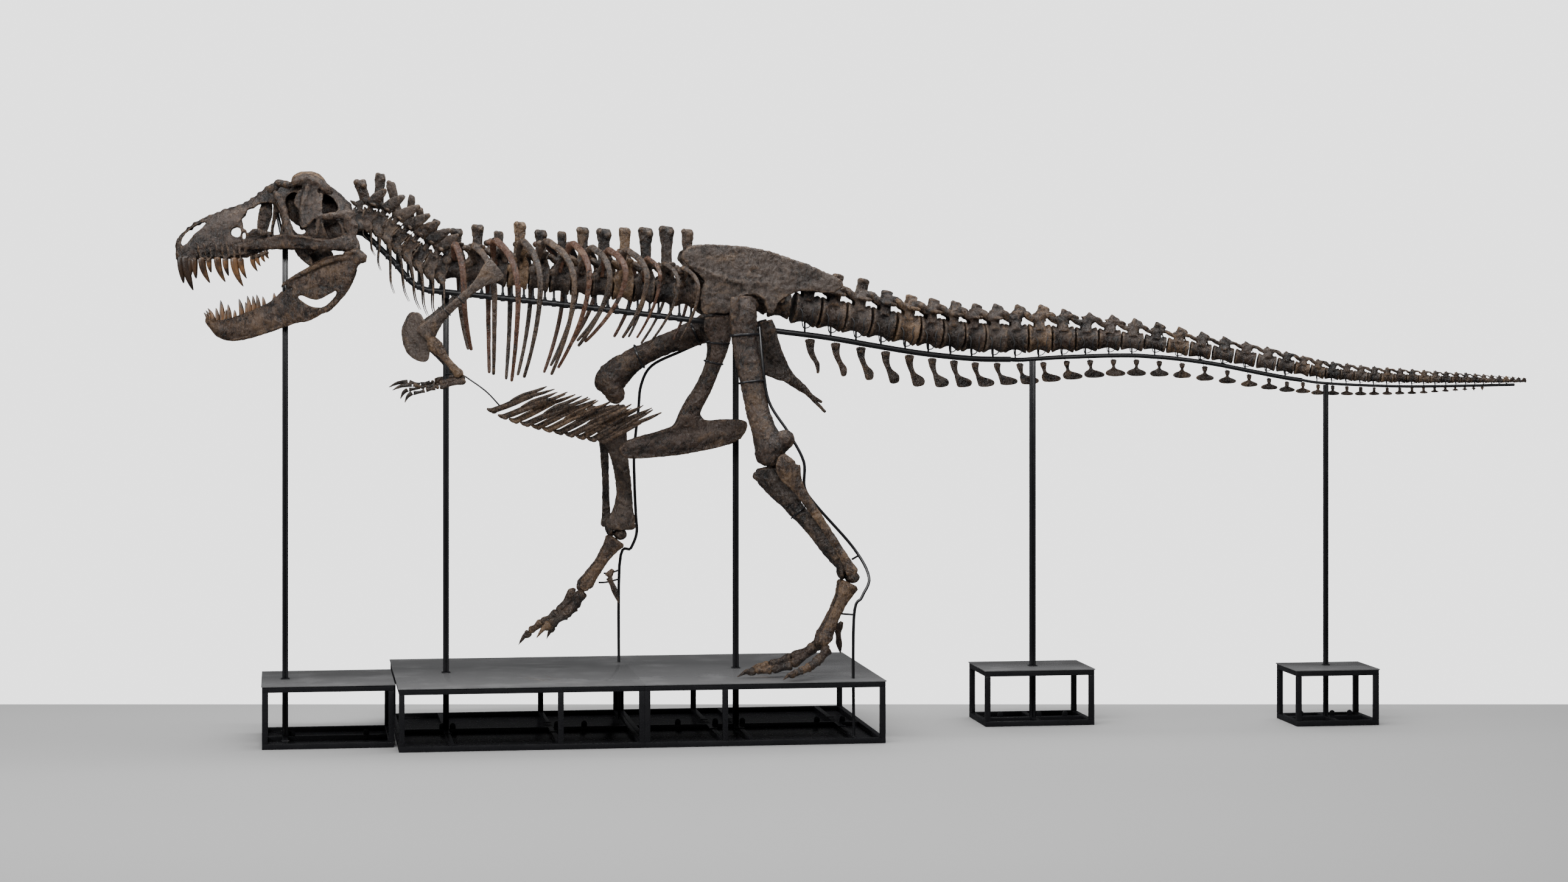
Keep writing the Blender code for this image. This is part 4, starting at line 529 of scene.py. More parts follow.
def bone(name, form, finish, nodes, grain, swell=0.006, pits=0.003, smooth=3):
    """A bone: overlapping forms skinned into one surface, then worn by soft noise."""
    item = form.item("bone_" + name)
    skin = item.modifiers.new("Skin", "REMESH")
    skin.mode = "VOXEL"
    skin.voxel_size = grain * bpy.context.scene.skeleton_sizes.grain * 1.0
    ease = item.modifiers.new("Ease", "SMOOTH")
    ease.factor = 0.5
    ease.iterations = smooth
    push(item, cloud("swell", 0.09, 2), swell)
    push(item, cloud("knobs", 0.034, 2), 0.7 * (swell + pits))
    push(item, cloud("pits", 0.014, 3), pits)
    thin = item.modifiers.new("Thin", "DECIMATE")
    thin.ratio = 0.43
    item.data = with_modifiers(item)
    return settle(item, paints(finish), nodes)


def worn(name, form, finish, nodes, swell=0.004, pits=0.0015):
    """A slender bone drawn directly as a sweep, with the same wear."""
    item = form.item("bone_" + name)
    push(item, cloud("swell", 0.09, 2), swell)
    push(item, cloud("pits", 0.018, 3), pits)
    item.data = with_modifiers(item)
    return settle(item, paints(finish), nodes, crisp=60)


def steel(name, form, nodes, bevel=0.0, finish="steel", slot="steel"):
    """A steel piece with its edges broken."""
    item = form.item("mount_" + name)
    if bevel:
        edge = item.modifiers.new("Edge", "BEVEL")
        edge.width = bevel
        edge.segments = 2
        edge.limit_method = "ANGLE"
        item.data = with_modifiers(item)
    return settle(item, paints(finish), nodes, crisp=35)


# Shader nodes

class Socket:
    """A node's output that sums and multiplies like a number."""

    def __init__(self, paint, link):
        self.paint, self.link = paint, link

    def maths(self, operation, first, second):
        return self.paint.node("ShaderNodeMath", {"operation": operation}, {0: first, 1: second})

    def __add__(self, other):
        return self.maths("ADD", self, other)

    def __radd__(self, other):
        return self.maths("ADD", other, self)

    def __sub__(self, other):
        return self.maths("SUBTRACT", self, other)

    def __rsub__(self, other):
        return self.maths("SUBTRACT", other, self)

    def __mul__(self, other):
        return self.maths("MULTIPLY", self, other)

    def __rmul__(self, other):
        return self.maths("MULTIPLY", other, self)


class Paint:
    """A material while it is mixed. Every node that isn't maths comes from node()."""

    def __init__(self, name, **constants):
        self.material = bpy.data.materials.new(name)
        self.material.use_nodes = True
        self.tree = self.material.node_tree
        self.shader = self.tree.nodes["Principled BSDF"]
        for key, value in constants.items():
            self.shader.inputs[key.replace("_", " ")].default_value = value
        self.place = self.node("ShaderNodeTexCoord", output="Object")

    def feed(self, target, value):
        if isinstance(value, Socket):
            self.tree.links.new(value.link, target)
        else:
            target.default_value = value

    def node(self, kind, settings=None, values=None, output=0):
        """Any node: its type, its settings, the values or links of its sockets, and its output."""
        item = self.tree.nodes.new(kind)
        for key, value in (settings or {}).items():
            if key == "stops":
                stops = item.color_ramp.elements
                while len(stops) < len(value):
                    stops.new(0.5)
                for stop, (place, colour) in zip(stops, value):
                    stop.position = place
                    stop.color = (*colour, 1.0)
            else:
                setattr(item, key, value)
        for key, value in (values or {}).items():
            self.feed(item.inputs[key], value)
        return Socket(self, item.outputs[output])

    def noise(self, scale, detail=6.0, roughness=0.6, distortion=0.0, place=None):
        return self.node("ShaderNodeTexNoise", None, {
            "Vector": place or self.place, "Scale": scale, "Detail": detail, "Roughness": roughness,
            "Distortion": distortion})

    def stretched(self, scale):
        return self.node("ShaderNodeMapping", None, {"Vector": self.place, "Scale": scale})

    def cracks(self, scale):
        """1 on the lines of a net of fine cracks and 0 between them."""
        wander = self.node("ShaderNodeTexNoise", None, {"Vector": self.place, "Scale": scale * 0.7,
                                                        "Detail": 5.0}, output=1)
        place = self.node("ShaderNodeVectorMath", {"operation": "MULTIPLY_ADD"},
                          {0: wander, 1: (0.09, 0.09, 0.09), 2: self.place})
        net = self.node("ShaderNodeTexVoronoi", {"feature": "DISTANCE_TO_EDGE"},
                        {"Vector": place, "Scale": scale})
        return 1.0 - self.between(net, 0.0, 0.035)

    def folds(self, scale):
        """1 on long wandering lines, like folds in old bone, and 0 between them."""
        level = self.noise(scale, 5.0, 0.55, 1.6) - 0.5
        return 1.0 - self.between(self.node("ShaderNodeMath", {"operation": "ABSOLUTE"}, {0: level}), 0.0,
                                  0.012)

    def ramp(self, factor, *stops):
        return self.node("ShaderNodeValToRGB", {"stops": stops}, {0: factor})

    def between(self, value, low, high):
        """How far a value is from low to high, held to 0 and 1."""
        return self.node("ShaderNodeMapRange", None, {0: value, 1: low, 2: high, 3: 0.0, 4: 1.0})

    def blend(self, factor, first, second):
        def colour(value):
            return value if isinstance(value, Socket) else (*value, 1.0)
        return self.node("ShaderNodeMix", {"data_type": "RGBA"},
                         {0: factor, 6: colour(first), 7: colour(second)}, output=2)

    def set(self, name, value):
        self.feed(self.shader.inputs[name], value)

    def bump(self, height, strength, distance):
        self.set("Normal", self.node("ShaderNodeBump", None, {
            "Strength": strength, "Distance": distance, "Height": height}))


def shade(colour, by):
    """A colour made darker or lighter."""
    return tuple(min(1.0, part * by) for part in colour[:3])


def mixed(first, second, t):
    """A colour between two others."""
    return tuple(a + (b - a) * t for a, b in zip(first[:3], second[:3]))


def bone_paint(name, dark, middle, light, tan, patch=0.5):
    """Fossil bone: dark mineral stain, paler convex ridges, tan patches, folds, cracks, painted shade in the
    hollows and a pitted skin.
    """
    paint = Paint(name, IOR=1.55)
    patches = paint.noise(4.5, 5.0, 0.62, 0.8)
    mottle = paint.noise(34.0, 9.0, 0.72, 0.6)
    streaks = paint.noise(1.0, 7.0, 0.7, 1.0, paint.stretched((70.0, 70.0, 14.0)))
    pores = paint.noise(210.0, 3.0, 0.6)
    dents = paint.noise(13.0, 3.0, 0.5, 0.6)
    cracks = paint.cracks(34.0) * paint.between(paint.noise(8.0, 3.0, 0.5), 0.5, 0.6)
    folds = paint.folds(11.0)
    edge = paint.node("ShaderNodeNewGeometry", output="Pointiness")
    tone = patches * 0.36 + dents * 0.16 + mottle * 0.2 + streaks * 0.28
    colour = paint.ramp(tone, (0.445, shade(dark, 0.8)), (0.49, middle), (0.535, light),
                        (0.58, shade(light, 1.35)))
    warm = paint.between(paint.noise(3.2, 6.0, 0.65, 1.2) + 0.22 * mottle + 0.16 * streaks,
                         0.69 + 0.1 * (1 - patch), 0.86)
    colour = paint.blend(warm * 0.75, colour, tan)
    ridge = paint.between(edge, 0.508, 0.55) * paint.between(mottle, 0.42, 0.6)
    colour = paint.blend(ridge * 0.7, colour, shade(tan, 1.3))
    # Painted shade: the colour goes near black in concave hollows, found by the mesh's pointiness, where the
    # shadow falls
    hollow = 1.0 - paint.between(edge, 0.44, 0.495)
    colour = paint.blend(hollow * 0.9, colour, shade(dark, 0.25))
    specks = paint.between(pores, 0.57, 0.67) * paint.between(streaks, 0.48, 0.6)
    colour = paint.blend(specks * 0.5, colour, shade(light, 2.0))
    colour = paint.blend(folds * 0.6, colour, shade(dark, 0.4))
    colour = paint.blend(cracks * 0.6, colour, shade(dark, 0.3))
    paint.set("Base Color", colour)
    paint.set("Roughness", paint.between(mottle * 0.6 + pores * 0.4, 0.38, 0.64) * 0.26 + 0.16)
    paint.bump(dents * 2.4 + mottle * 0.8 + streaks * 0.7 + pores * 0.1 - folds * 0.16 - cracks * 0.1, 1.0,
               0.011)
    return paint.material


def tooth_paint(name, colours):
    """Tooth: tan-brown enamel with long cracks, darker to the tip."""
    paint = Paint(name, IOR=1.55, Coat_Roughness=0.2)
    mark = paint.node("ShaderNodeAttribute", {"attribute_name": "mark"}, output="Fac")
    cracks = paint.noise(1.0, 7.0, 0.7, 1.2, paint.stretched((110.0, 110.0, 14.0)))
    stain = paint.noise(14.0, 5.0, 0.6)
    front = 1.0 - paint.between(paint.node("ShaderNodeSeparateXYZ", None, {0: paint.place}, output=0),
                                -3.28, -3.12)
    deep = paint.between(mark + stain * 0.8 - 0.4, 0.5, 0.95)
    colour = paint.blend(paint.between(cracks, 0.42, 0.6), colours.tooth, shade(colours.tooth, 0.35))
    colour = paint.blend(paint.between(stain, 0.46, 0.62) * 0.8, colour, shade(colours.bone_dark, 1.0))
    colour = paint.blend(deep * 0.9, colour, shade(colours.bone_dark, 0.6))
    colour = paint.blend(front * 0.85, colour, shade(colours.bone_dark, 1.3))
    paint.set("Base Color", colour)
    paint.set("Roughness", cracks * 0.25 + 0.16)
    paint.set("Coat Weight", stain * 0.3)
    paint.bump(cracks, 0.6, 0.003)
    return paint.material


def steel_paint(name, colour, roughness):
    """Satin black paint with the faint ripple of a sprayed coat and rubbed dust."""
    paint = Paint(name, Metallic=0.0, IOR=1.5)
    ripple = paint.noise(420.0, 2.0, 0.5)
    dust = paint.noise(7.0, 6.0, 0.6)
    edge = paint.node("ShaderNodeNewGeometry", output="Pointiness")
    tone = paint.blend(paint.between(dust, 0.48, 0.72) * 0.35, colour[:3], shade(colour, 2.0))
    tone = paint.blend(paint.between(edge, 0.52, 0.62) * 0.5, tone, shade(colour, 3.5))
    paint.set("Base Color", tone)
    paint.set("Roughness", dust * 0.16 + (roughness - 0.08))
    paint.bump(ripple, 0.12, 0.0004)
    return paint.material


def deck_paint(name, colour):
    """Polished black sheet with faint rub marks and dust."""
    paint = Paint(name, IOR=1.5)
    dust = paint.noise(3.0, 7.0, 0.62)
    rubs = paint.noise(1.0, 5.0, 0.6, 0.2, paint.stretched((3.0, 60.0, 3.0)))
    tone = paint.blend(paint.between(dust, 0.5, 0.75) * 0.4, colour[:3], shade(colour, 2.2))
    paint.set("Base Color", tone)
    paint.set("Roughness", paint.between(rubs * 0.5 + dust * 0.5, 0.35, 0.7) * 0.12 + 0.06)
    paint.bump(dust, 0.04, 0.001)
    return paint.material


def studio_paint(name, colour, roughness, glow=0.0):
    """Plain matt floor or a softly lit backdrop."""
    paint = Paint(name, Roughness=roughness, Specular_IOR_Level=0.1, Emission_Strength=glow)
    grain = paint.noise(2.0, 3.0, 0.5)
    tone = paint.blend(grain * 0.12, colour[:3], shade(colour, 0.96))
    paint.set("Base Color", tone)
    if glow:
        paint.set("Emission Color", tone)
    return paint.material


def mix_finish(name):
    """The material of one finish, from the colours of the scene."""
    colours = bpy.context.scene.skeleton_colours
    dark, brown = tuple(colours.bone_dark), tuple(colours.bone_brown)
    grey, tan, red = tuple(colours.bone_grey), tuple(colours.bone_tan), tuple(colours.bone_red)
    if name == "tooth":
        return tooth_paint("worn tooth", colours)
    if name == "steel":
        return steel_paint("black steel", tuple(colours.steel), 0.27)
    if name == "bar":
        return steel_paint("dull black steel", tuple(colours.steel), 0.42)
    if name == "deck":
        return deck_paint("glossy deck", tuple(colours.deck))
    recipes = {
        "skull": (shade(dark, 0.6), mixed(dark, brown, 0.4), mixed(brown, grey, 0.35),
                  mixed(tan, brown, 0.5), 0.25),
        "crest": (brown, mixed(brown, tan, 0.5), tan, shade(tan, 1.2), 0.9),
        "jaw": (dark, mixed(dark, brown, 0.8), mixed(brown, tan, 0.2), mixed(tan, brown, 0.35), 0.7),
        "dark": (shade(dark, 0.5), mixed(dark, brown, 0.3), mixed(dark, grey, 0.6), mixed(tan, brown, 0.5),
                 0.2),
        "brown": (dark, mixed(dark, brown, 0.8), mixed(brown, grey, 0.3), mixed(tan, brown, 0.4), 0.5),
        "red": (dark, red, mixed(red, brown, 0.5), mixed(red, tan, 0.5), 0.4),
        "grey": (mixed(dark, grey, 0.4), mixed(brown, grey, 0.6), grey, mixed(tan, grey, 0.4), 0.3),
        "ochre": (mixed(dark, brown, 0.6), mixed(brown, tan, 0.25), mixed(brown, tan, 0.65), tan, 0.8),
        "tawny": (mixed(dark, brown, 0.6), mixed(brown, tan, 0.15), mixed(brown, tan, 0.5),
                  mixed(tan, brown, 0.2), 0.7),
    }
    return bone_paint(name + " bone", *recipes[name])


FINISHES = {}


def paints(name):
    """The material of a finish, mixed the first time that it is asked for."""
    if name not in FINISHES:
        FINISHES[name] = mix_finish(name)
    return FINISHES[name]


# Skull and jaw

def skull_ring(x, low, high, width, sides=48):
    """Section of the skull: flat cheeks and a narrower rounded roof."""
    ring = []
    for across, up in directions(sides):
        rise = math.copysign(abs(up) ** 0.75, up)
        # The side narrows to just over half at the top
        y = width * math.copysign(abs(across) ** 0.55, across) * (1 - 0.24 * (rise + 1))
        ring.append((x, y, (low + high) / 2 + rise * (high - low) / 2))
    return ring


def skull_form():
    """The skull's hollow shell with its openings, the palate, the brain case and the ridge."""
    outer = Form().skin([skull_ring(*row) for row in through(SKULL, 4)])
    hollow = [(x, low - 0.1, high - 1.3 * SKULL_WALL, width - SKULL_WALL)
              for x, low, high, width in SKULL[3:]]
    hollow.append((-1.98, 3.45, 3.84, 0.33))
    cutters = [Form().skin([skull_ring(*row) for row in through(hollow, 3)])]
    cutters += [Form().plate(hole, 0.0, 0.6)
                for hole in (NARIS, MAXILLA_HOLE, STRUT_HOLE, CHEEK_HOLE, ORBIT, UPPER_TEMPLE, LOWER_TEMPLE)]
    form = carved(outer, cutters)
    # Palate, and the brain case that joins the neck
    form.sweep(((-3.3, 0, 3.575, 0.1, 0.016), (-3.0, 0, 3.58, 0.155, 0.018), (-2.84, 0, 3.6, 0.18, 0.018),
                (-2.7, 0, 3.65, 0.12, 0.02), (-2.55, 0, 3.69, 0.08, 0.02), (-2.3, 0, 3.76, 0.08, 0.03),
                (-2.22, 0, 3.86, 0.08, 0.06)))
    form.sweep(((-2.6, 0, 4.0, 0.03, 0.03), (-2.53, 0, 3.97, 0.07, 0.09), (-2.42, 0, 3.92, 0.1, 0.14),
                (-2.28, 0, 3.9, 0.13, 0.14), (-2.12, 0, 3.87, 0.11, 0.11), (-2.09, 0, 3.865, 0.045, 0.045)))
    # Knobbly ridge along the nose
    for k in range(12):
        x = -3.27 + 0.052 * k
        _, high, _ = along(SKULL, x)
        form.lump((x, 0.02 * (-1) ** k, high - 0.012), (0.024 + 0.01 * rough(k), 0.045,
                                                        0.013 + 0.006 * rough(k, 3)))
    for side in (LEFT, RIGHT):
        form.join(cheek_form(side))
    return form


def cheek_form(side):
    """The bones of one side of the skull that stand out from its wall."""
    form = Form(side)
    # Back of the head
    form.sweep(((-2.17, 0, 3.92, 0.05, 0.09), (-2.13, 0.2, 3.88, 0.035, 0.08),
                (-2.12, 0.355, 3.81, 0.03, 0.06)), across=(1, 0, 0))
    # Brow horn before the eye, in two knobs
    form.lump((-2.665, 0.165, 4.075), (0.05, 0.03, 0.036), ahead=(1, 0, 0.45))
    form.lump((-2.615, 0.178, 4.112), (0.042, 0.032, 0.03))
    form.lump((-2.56, 0.188, 4.1), (0.045, 0.03, 0.03), ahead=(1, 0, -0.3))
    # Bar between the cheek opening and the eye
    form.sweep(((-2.655, 0.215, 4.05, 0.008, 0.012), (-2.625, 0.235, 4.01, 0.022, 0.03),
                (-2.59, 0.265, 3.93, 0.022, 0.03), (-2.565, 0.295, 3.84, 0.022, 0.026),
                (-2.545, 0.32, 3.75, 0.02, 0.036), (-2.54, 0.33, 3.7, 0.008, 0.02)), across=(0.3, 1, 0))
    # Brow behind the eye, and the leaf of bone that hangs from it
    form.sweep(((-2.535, 0.215, 4.085, 0.012, 0.014), (-2.49, 0.235, 4.12, 0.035, 0.036),
                (-2.42, 0.245, 4.14, 0.042, 0.04), (-2.34, 0.255, 4.115, 0.042, 0.04),
                (-2.27, 0.262, 4.065, 0.03, 0.034), (-2.23, 0.262, 4.03, 0.01, 0.012)))
    leaf = ((-2.512, 3.962), (-2.48, 4.045), (-2.415, 4.114), (-2.35, 4.098), (-2.332, 4.001), (-2.34, 3.89),
            (-2.39, 3.81), (-2.455, 3.775), (-2.475, 3.848), (-2.47, 3.905))
    plate = Form().plate(leaf, 0.0, 0.018)
    plate.bend(lambda p: Vector((
        p.x, side * (0.365 - 0.33 * (p.z - 3.75) + 0.25 * (p.x + 2.42)) + 0.8 * p.y, p.z)))
    form.join(plate)
    form.sweep(((-2.455, 0.342, 3.8, 0.01, 0.01), (-2.455, 0.325, 3.88, 0.02, 0.018),
                (-2.44, 0.3, 3.98, 0.024, 0.024), (-2.41, 0.27, 4.08, 0.02, 0.022),
                (-2.38, 0.262, 4.12, 0.01, 0.012)), across=(0.3, 1, 0))
    form.sweep(((-2.35, 0.35, 3.72, 0.008, 0.014), (-2.335, 0.345, 3.82, 0.014, 0.02),
                (-2.325, 0.325, 3.93, 0.016, 0.022), (-2.31, 0.29, 4.03, 0.01, 0.014)), across=(0.3, 1, 0))
    # Cheek bone, deep and flat, with the notched plate behind it
    form.sweep(((-2.9, 0.182, 3.64, 0.004, 0.012), (-2.82, 0.203, 3.655, 0.014, 0.034),
                (-2.7, 0.242, 3.668, 0.018, 0.044), (-2.56, 0.3, 3.68, 0.02, 0.056),
                (-2.44, 0.338, 3.676, 0.02, 0.052), (-2.3, 0.368, 3.662, 0.018, 0.038),
                (-2.2, 0.372, 3.665, 0.018, 0.046), (-2.1, 0.365, 3.675, 0.016, 0.06),
                (-2.06, 0.358, 3.68, 0.006, 0.03)))
    form.sweep(((-2.72, 0.236, 3.7, 0.004, 0.006), (-2.6, 0.285, 3.722, 0.026, 0.012),
                (-2.46, 0.338, 3.712, 0.03, 0.014), (-2.33, 0.366, 3.69, 0.024, 0.012),
                (-2.24, 0.374, 3.69, 0.004, 0.006)))
    form.sweep(((-2.375, 0.365, 3.655, 0.012, 0.012), (-2.355, 0.37, 3.64, 0.02, 0.03),
                (-2.335, 0.372, 3.622, 0.012, 0.01)))
    # Between the two rear openings
    form.sweep(((-2.345, 0.345, 3.868, 0.01, 0.014), (-2.27, 0.352, 3.862, 0.024, 0.026),
                (-2.19, 0.35, 3.872, 0.026, 0.03), (-2.12, 0.345, 3.88, 0.022, 0.042),
                (-2.07, 0.34, 3.86, 0.008, 0.02)))
    # Quadrate, down to the joint of the jaw
    form.sweep(((-2.115, 0.335, 3.86, 0.014, 0.026), (-2.09, 0.345, 3.79, 0.024, 0.044),
                (-2.085, 0.345, 3.71, 0.022, 0.034), (-2.065, 0.34, 3.65, 0.034, 0.036),
                (-2.05, 0.335, 3.622, 0.04, 0.028), (-2.045, 0.335, 3.606, 0.02, 0.014)))
    # Hook of the palate under the eye
    form.sweep(((-2.52, 0.215, 3.69, 0.012, 0.014), (-2.49, 0.218, 3.66, 0.03, 0.03),
                (-2.445, 0.225, 3.6, 0.022, 0.04), (-2.395, 0.235, 3.53, 0.012, 0.022),
                (-2.372, 0.235, 3.49, 0.005, 0.008)))
    # Thin bones inside the cheek opening and the eye
    form.sweep(((-2.765, 0.05, 3.64, 0.01, 0.022), (-2.745, 0.055, 3.72, 0.01, 0.034),
                (-2.735, 0.06, 3.8, 0.012, 0.048), (-2.715, 0.06, 3.9, 0.012, 0.054),
                (-2.7, 0.06, 4.02, 0.012, 0.03)))
    form.sweep(((-2.66, 0.09, 3.67, 0.01, 0.02), (-2.668, 0.1, 3.78, 0.01, 0.012),
                (-2.645, 0.1, 3.88, 0.01, 0.02), (-2.64, 0.11, 4.02, 0.012, 0.02)))
    # Wing of the palate and the flange beside the jaw
    form.sweep(((-2.42, 0.12, 3.6, 0.008, 0.02), (-2.35, 0.14, 3.62, 0.018, 0.06),
                (-2.25, 0.2, 3.7, 0.02, 0.09), (-2.15, 0.28, 3.74, 0.02, 0.1),
                (-2.09, 0.31, 3.74, 0.01, 0.06)))
    form.sweep(((-2.44, 0.15, 3.545, 0.006, 0.01), (-2.39, 0.165, 3.555, 0.013, 0.034),
                (-2.33, 0.19, 3.575, 0.016, 0.052), (-2.25, 0.21, 3.63, 0.016, 0.06)))
    # Small bones in the floor of the cheek opening, and the sockets of the teeth
    for x, z, size in ((-2.835, 3.735, 0.018), (-2.8, 3.752, 0.024), (-2.765, 3.76, 0.02),
                       (-2.735, 3.745, 0.026), (-2.695, 3.738, 0.02)):
        y = 0.205 + 0.24 * (x + 2.8)
        form.lump((x, y, z), (size * 1.3, size * 0.7, size))
    for x, *_ in UPPER_TEETH:
        low, _, width = along(SKULL, x)
        form.lump((x, width - 0.019, low + 0.016), (0.02, 0.019, 0.022))
    # Bony ribs and dents over the snout
    for k in range(9):
        x = -3.2 + 0.042 * k
        low, _, width = along(SKULL, x)
        form.sweep(((x + 0.01, width - 0.01, low + 0.03, 0.006, 0.006),
                    (x, width - 0.002, low + 0.08 + 0.04 * rough(k), 0.007, 0.01),
                    (x - 0.015, width - 0.006, low + 0.14 + 0.05 * rough(k, 2), 0.004, 0.006)), 8, 3,
                   (0, 1, 0))
    return form


def tooth(form, x, y, z, length, way, lean, wide):
    """A curved tooth from its root in the jaw to its tip."""
    rows = []
    for t, size in ((-0.16, 0.92), (0.0, 1.0), (0.3, 0.9), (0.6, 0.66), (0.85, 0.34), (1.0, 0.05)):
        rows.append((x + lean * max(t, 0.0) ** 1.7, y, z + way * length * t, wide * size * 0.72,
                     wide * size))
    form.sweep(rows, 14, 3)


def jaw_form(side):
    """One side of the lower jaw."""
    rings = []
    for x, low, high, y, half in through(JAW, 4):
        ring = []
        for across, up in directions(28):
            rise = math.copysign(abs(up) ** 0.7, up)
            bow = 0.35 * half * (1 - rise * rise)
            ring.append((x, side * (y + bow) + half * math.copysign(abs(across) ** 0.7, across),
                         (low + high) / 2 + rise * (high - low) / 2))
        rings.append(ring)
    form = carved(Form().skin(rings), [Form().plate(hole, 0.0, 0.6)
                                       for hole in (JAW_HOLE, JAW_SLOT, JAW_NOTCH)])
    form.side = side
    # The rear plate, which lies over the others with a raised rim
    rear = ((-2.56, 3.372), (-2.425, 3.47), (-2.304, 3.545), (-2.168, 3.575), (-2.06, 3.585), (-2.045, 3.53),
            (-2.1, 3.469), (-2.13, 3.385), (-2.205, 3.322), (-2.31, 3.285), (-2.4, 3.292), (-2.5, 3.328))
    plate = Form().plate(rear, 0.0, 0.012)
    form.join(plate.bend(lambda p: Vector((p.x, side * (along(JAW, p.x)[2] + 0.02) + p.y, p.z))))
    form.sweep(((-2.6, 0.208, 3.345, 0.006, 0.006), (-2.56, 0.225, 3.385, 0.014, 0.014),
                (-2.4, 0.285, 3.475, 0.02, 0.02), (-2.22, 0.335, 3.548, 0.022, 0.02),
                (-2.06, 0.352, 3.565, 0.02, 0.024)))
    # Step where the tooth-bearing bone ends, and its lower rim
    form.sweep(((-2.635, 0.176, 3.035, 0.006, 0.01), (-2.615, 0.198, 3.1, 0.013, 0.026),
                (-2.6, 0.208, 3.2, 0.013, 0.024), (-2.57, 0.214, 3.29, 0.012, 0.022),
                (-2.53, 0.222, 3.36, 0.006, 0.01)))
    form.sweep([(x, y + 0.01, low + 0.016, half * 0.8, 0.014)
                for x, low, high, y, half in through(JAW[3:8], 3)])
    # Thick lower bar behind the opening, and the joint
    form.sweep(((-2.33, 0.268, 3.155, 0.01, 0.012), (-2.26, 0.29, 3.19, 0.02, 0.022),
                (-2.17, 0.312, 3.285, 0.022, 0.024), (-2.12, 0.325, 3.37, 0.022, 0.03),
                (-2.07, 0.332, 3.48, 0.018, 0.024)))
    form.sweep(((-2.14, 0.33, 3.592, 0.03, 0.016), (-2.1, 0.332, 3.6, 0.05, 0.024),
                (-2.06, 0.335, 3.605, 0.058, 0.024), (-2.0, 0.335, 3.566, 0.045, 0.026),
                (-1.985, 0.335, 3.555, 0.02, 0.012)))
    for x, *_ in LOWER_TEETH:
        _, high, y, _ = along(JAW, x)
        form.lump((x, y, high - 0.014), (0.018, 0.018, 0.018))
    return form


# Vertebrae

def vertebra(form, centre, back, length, radius, tip, spine, wing=0.0, rise=0.3, foot=None, prongs=1.0,
             root_half=0.36, knob=0.022):
    """One vertebra: a waisted centrum with rims, a pierced arch, joint prongs, wings and a spine.

    back is the direction to the next one, tip the place of the spine's top, spine its half
    length there, wing the half span of the side processes, foot the x of the spine's root,
    root_half its half length there as a share of the vertebra, and knob the lumps on its tip.
    """
    centre, back, tip = Vector(centre), Vector(back).normalized(), Vector(tip)
    side = (Vector((0, 1, 0)) - back * back.y).normalized()
    up = back.cross(side)
    across = tuple(side)

    def spot(ahead, out, high):
        return tuple(centre + back * ahead * length + side * out + up * high * radius)

    rows = [(*spot(t, 0, 0), radius * size, radius * size) for t, size in
            ((-0.47, 0.9), (-0.44, 1.0), (-0.34, 0.93), (-0.12, 0.76), (0.12, 0.76), (0.34, 0.93),
             (0.44, 1.0), (0.47, 0.9))]
    form.sweep(rows, 22, 2, across)

    def process(hand, depth, *rows):
        form.sweep([(*spot(ahead, hand * out * radius, high), wide * radius, deep * depth)
                    for ahead, out, high, wide, deep in rows], 12, 3, across)

    for hand in (LEFT, RIGHT):
        process(hand, length, (0, 0.52, 0.55, 0.24, 0.26), (0, 0.42, 1.05, 0.15, 0.22),
                (0, 0.28, 1.45, 0.16, 0.27))
        if prongs:
            process(hand, radius, (0.1, 0.3, 1.25, 0.18, 0.3), (-0.3, 0.38, 1.35, 0.16, 0.26),
                    (-0.55 * prongs, 0.42, 1.55, 0.12, 0.2), (-0.74 * prongs, 0.44, 1.7, 0.05, 0.08))
            process(hand, radius, (-0.1, 0.24, 1.5, 0.16, 0.34), (0.28, 0.3, 1.62, 0.14, 0.26),
                    (0.52, 0.34, 1.6, 0.12, 0.2), (0.68, 0.36, 1.48, 0.05, 0.08))
        if wing:
            form.sweep(((*spot(0, hand * 0.3 * radius, 1.3), 0.24 * length, 0.2 * radius),
                        (*spot(0.04, hand * (0.4 * radius + 0.5 * wing), 1.3 + 0.5 * rise), 0.15 * length,
                         0.13 * radius),
                        (*spot(0.12, hand * wing * 0.94, 1.3 + rise), 0.2 * length, 0.14 * radius),
                        (*spot(0.14, hand * wing, 1.3 + rise), 0.15 * length, 0.09 * radius)),
                       12, 3, tuple(back))
    root = Vector(spot(0, 0, 1.35))
    if foot is not None:
        root.x = foot
    rise_of = tip - root
    rows = []
    for t, thick, long in ((0.0, 0.34, 1.0), (0.25, 0.17, 0.8), (0.6, 0.13, 0.85), (0.88, 0.18, 1.05),
                           (1.0, 0.13, 0.8)):
        half = (1 - t) * root_half * length + t * spine
        rows.append((*(root + rise_of * t), thick * radius + 0.004, half * long))
    form.sweep(rows, 14, 3, across)
    if knob:
        high = rise_of.normalized()
        size = knob * spine / 0.046
        for place, big in ((-0.55, 1.0), (0.45, 1.15), (0.0, 0.8)):
            form.lump(tip + back * place * spine - high * size * (1.1 + 0.5 * place),
                      (size * big, size * 1.1 * big, size * big))
    return form


def tail_places():
    """Centre, direction and length of each tail vertebra, front to back."""
    found = []
    x = 1.322
    for i in range(CAUDALS):
        length = run(TAIL_STEP, i)
        if i:
            x += 0.5 * (length + run(TAIL_STEP, i - 1))
        here, ahead = along(TAIL_LINE, x), along(TAIL_LINE, x + 0.05)
        centre = Vector((x, *here))
        found.append((centre, Vector((x + 0.05, *ahead)) - centre, length))
    return found


def bar_height(x):
    """y and z of the spine bar at x."""
    return along(NECK_BAR[2:] + HIP_BAR + TAIL_BAR, x)


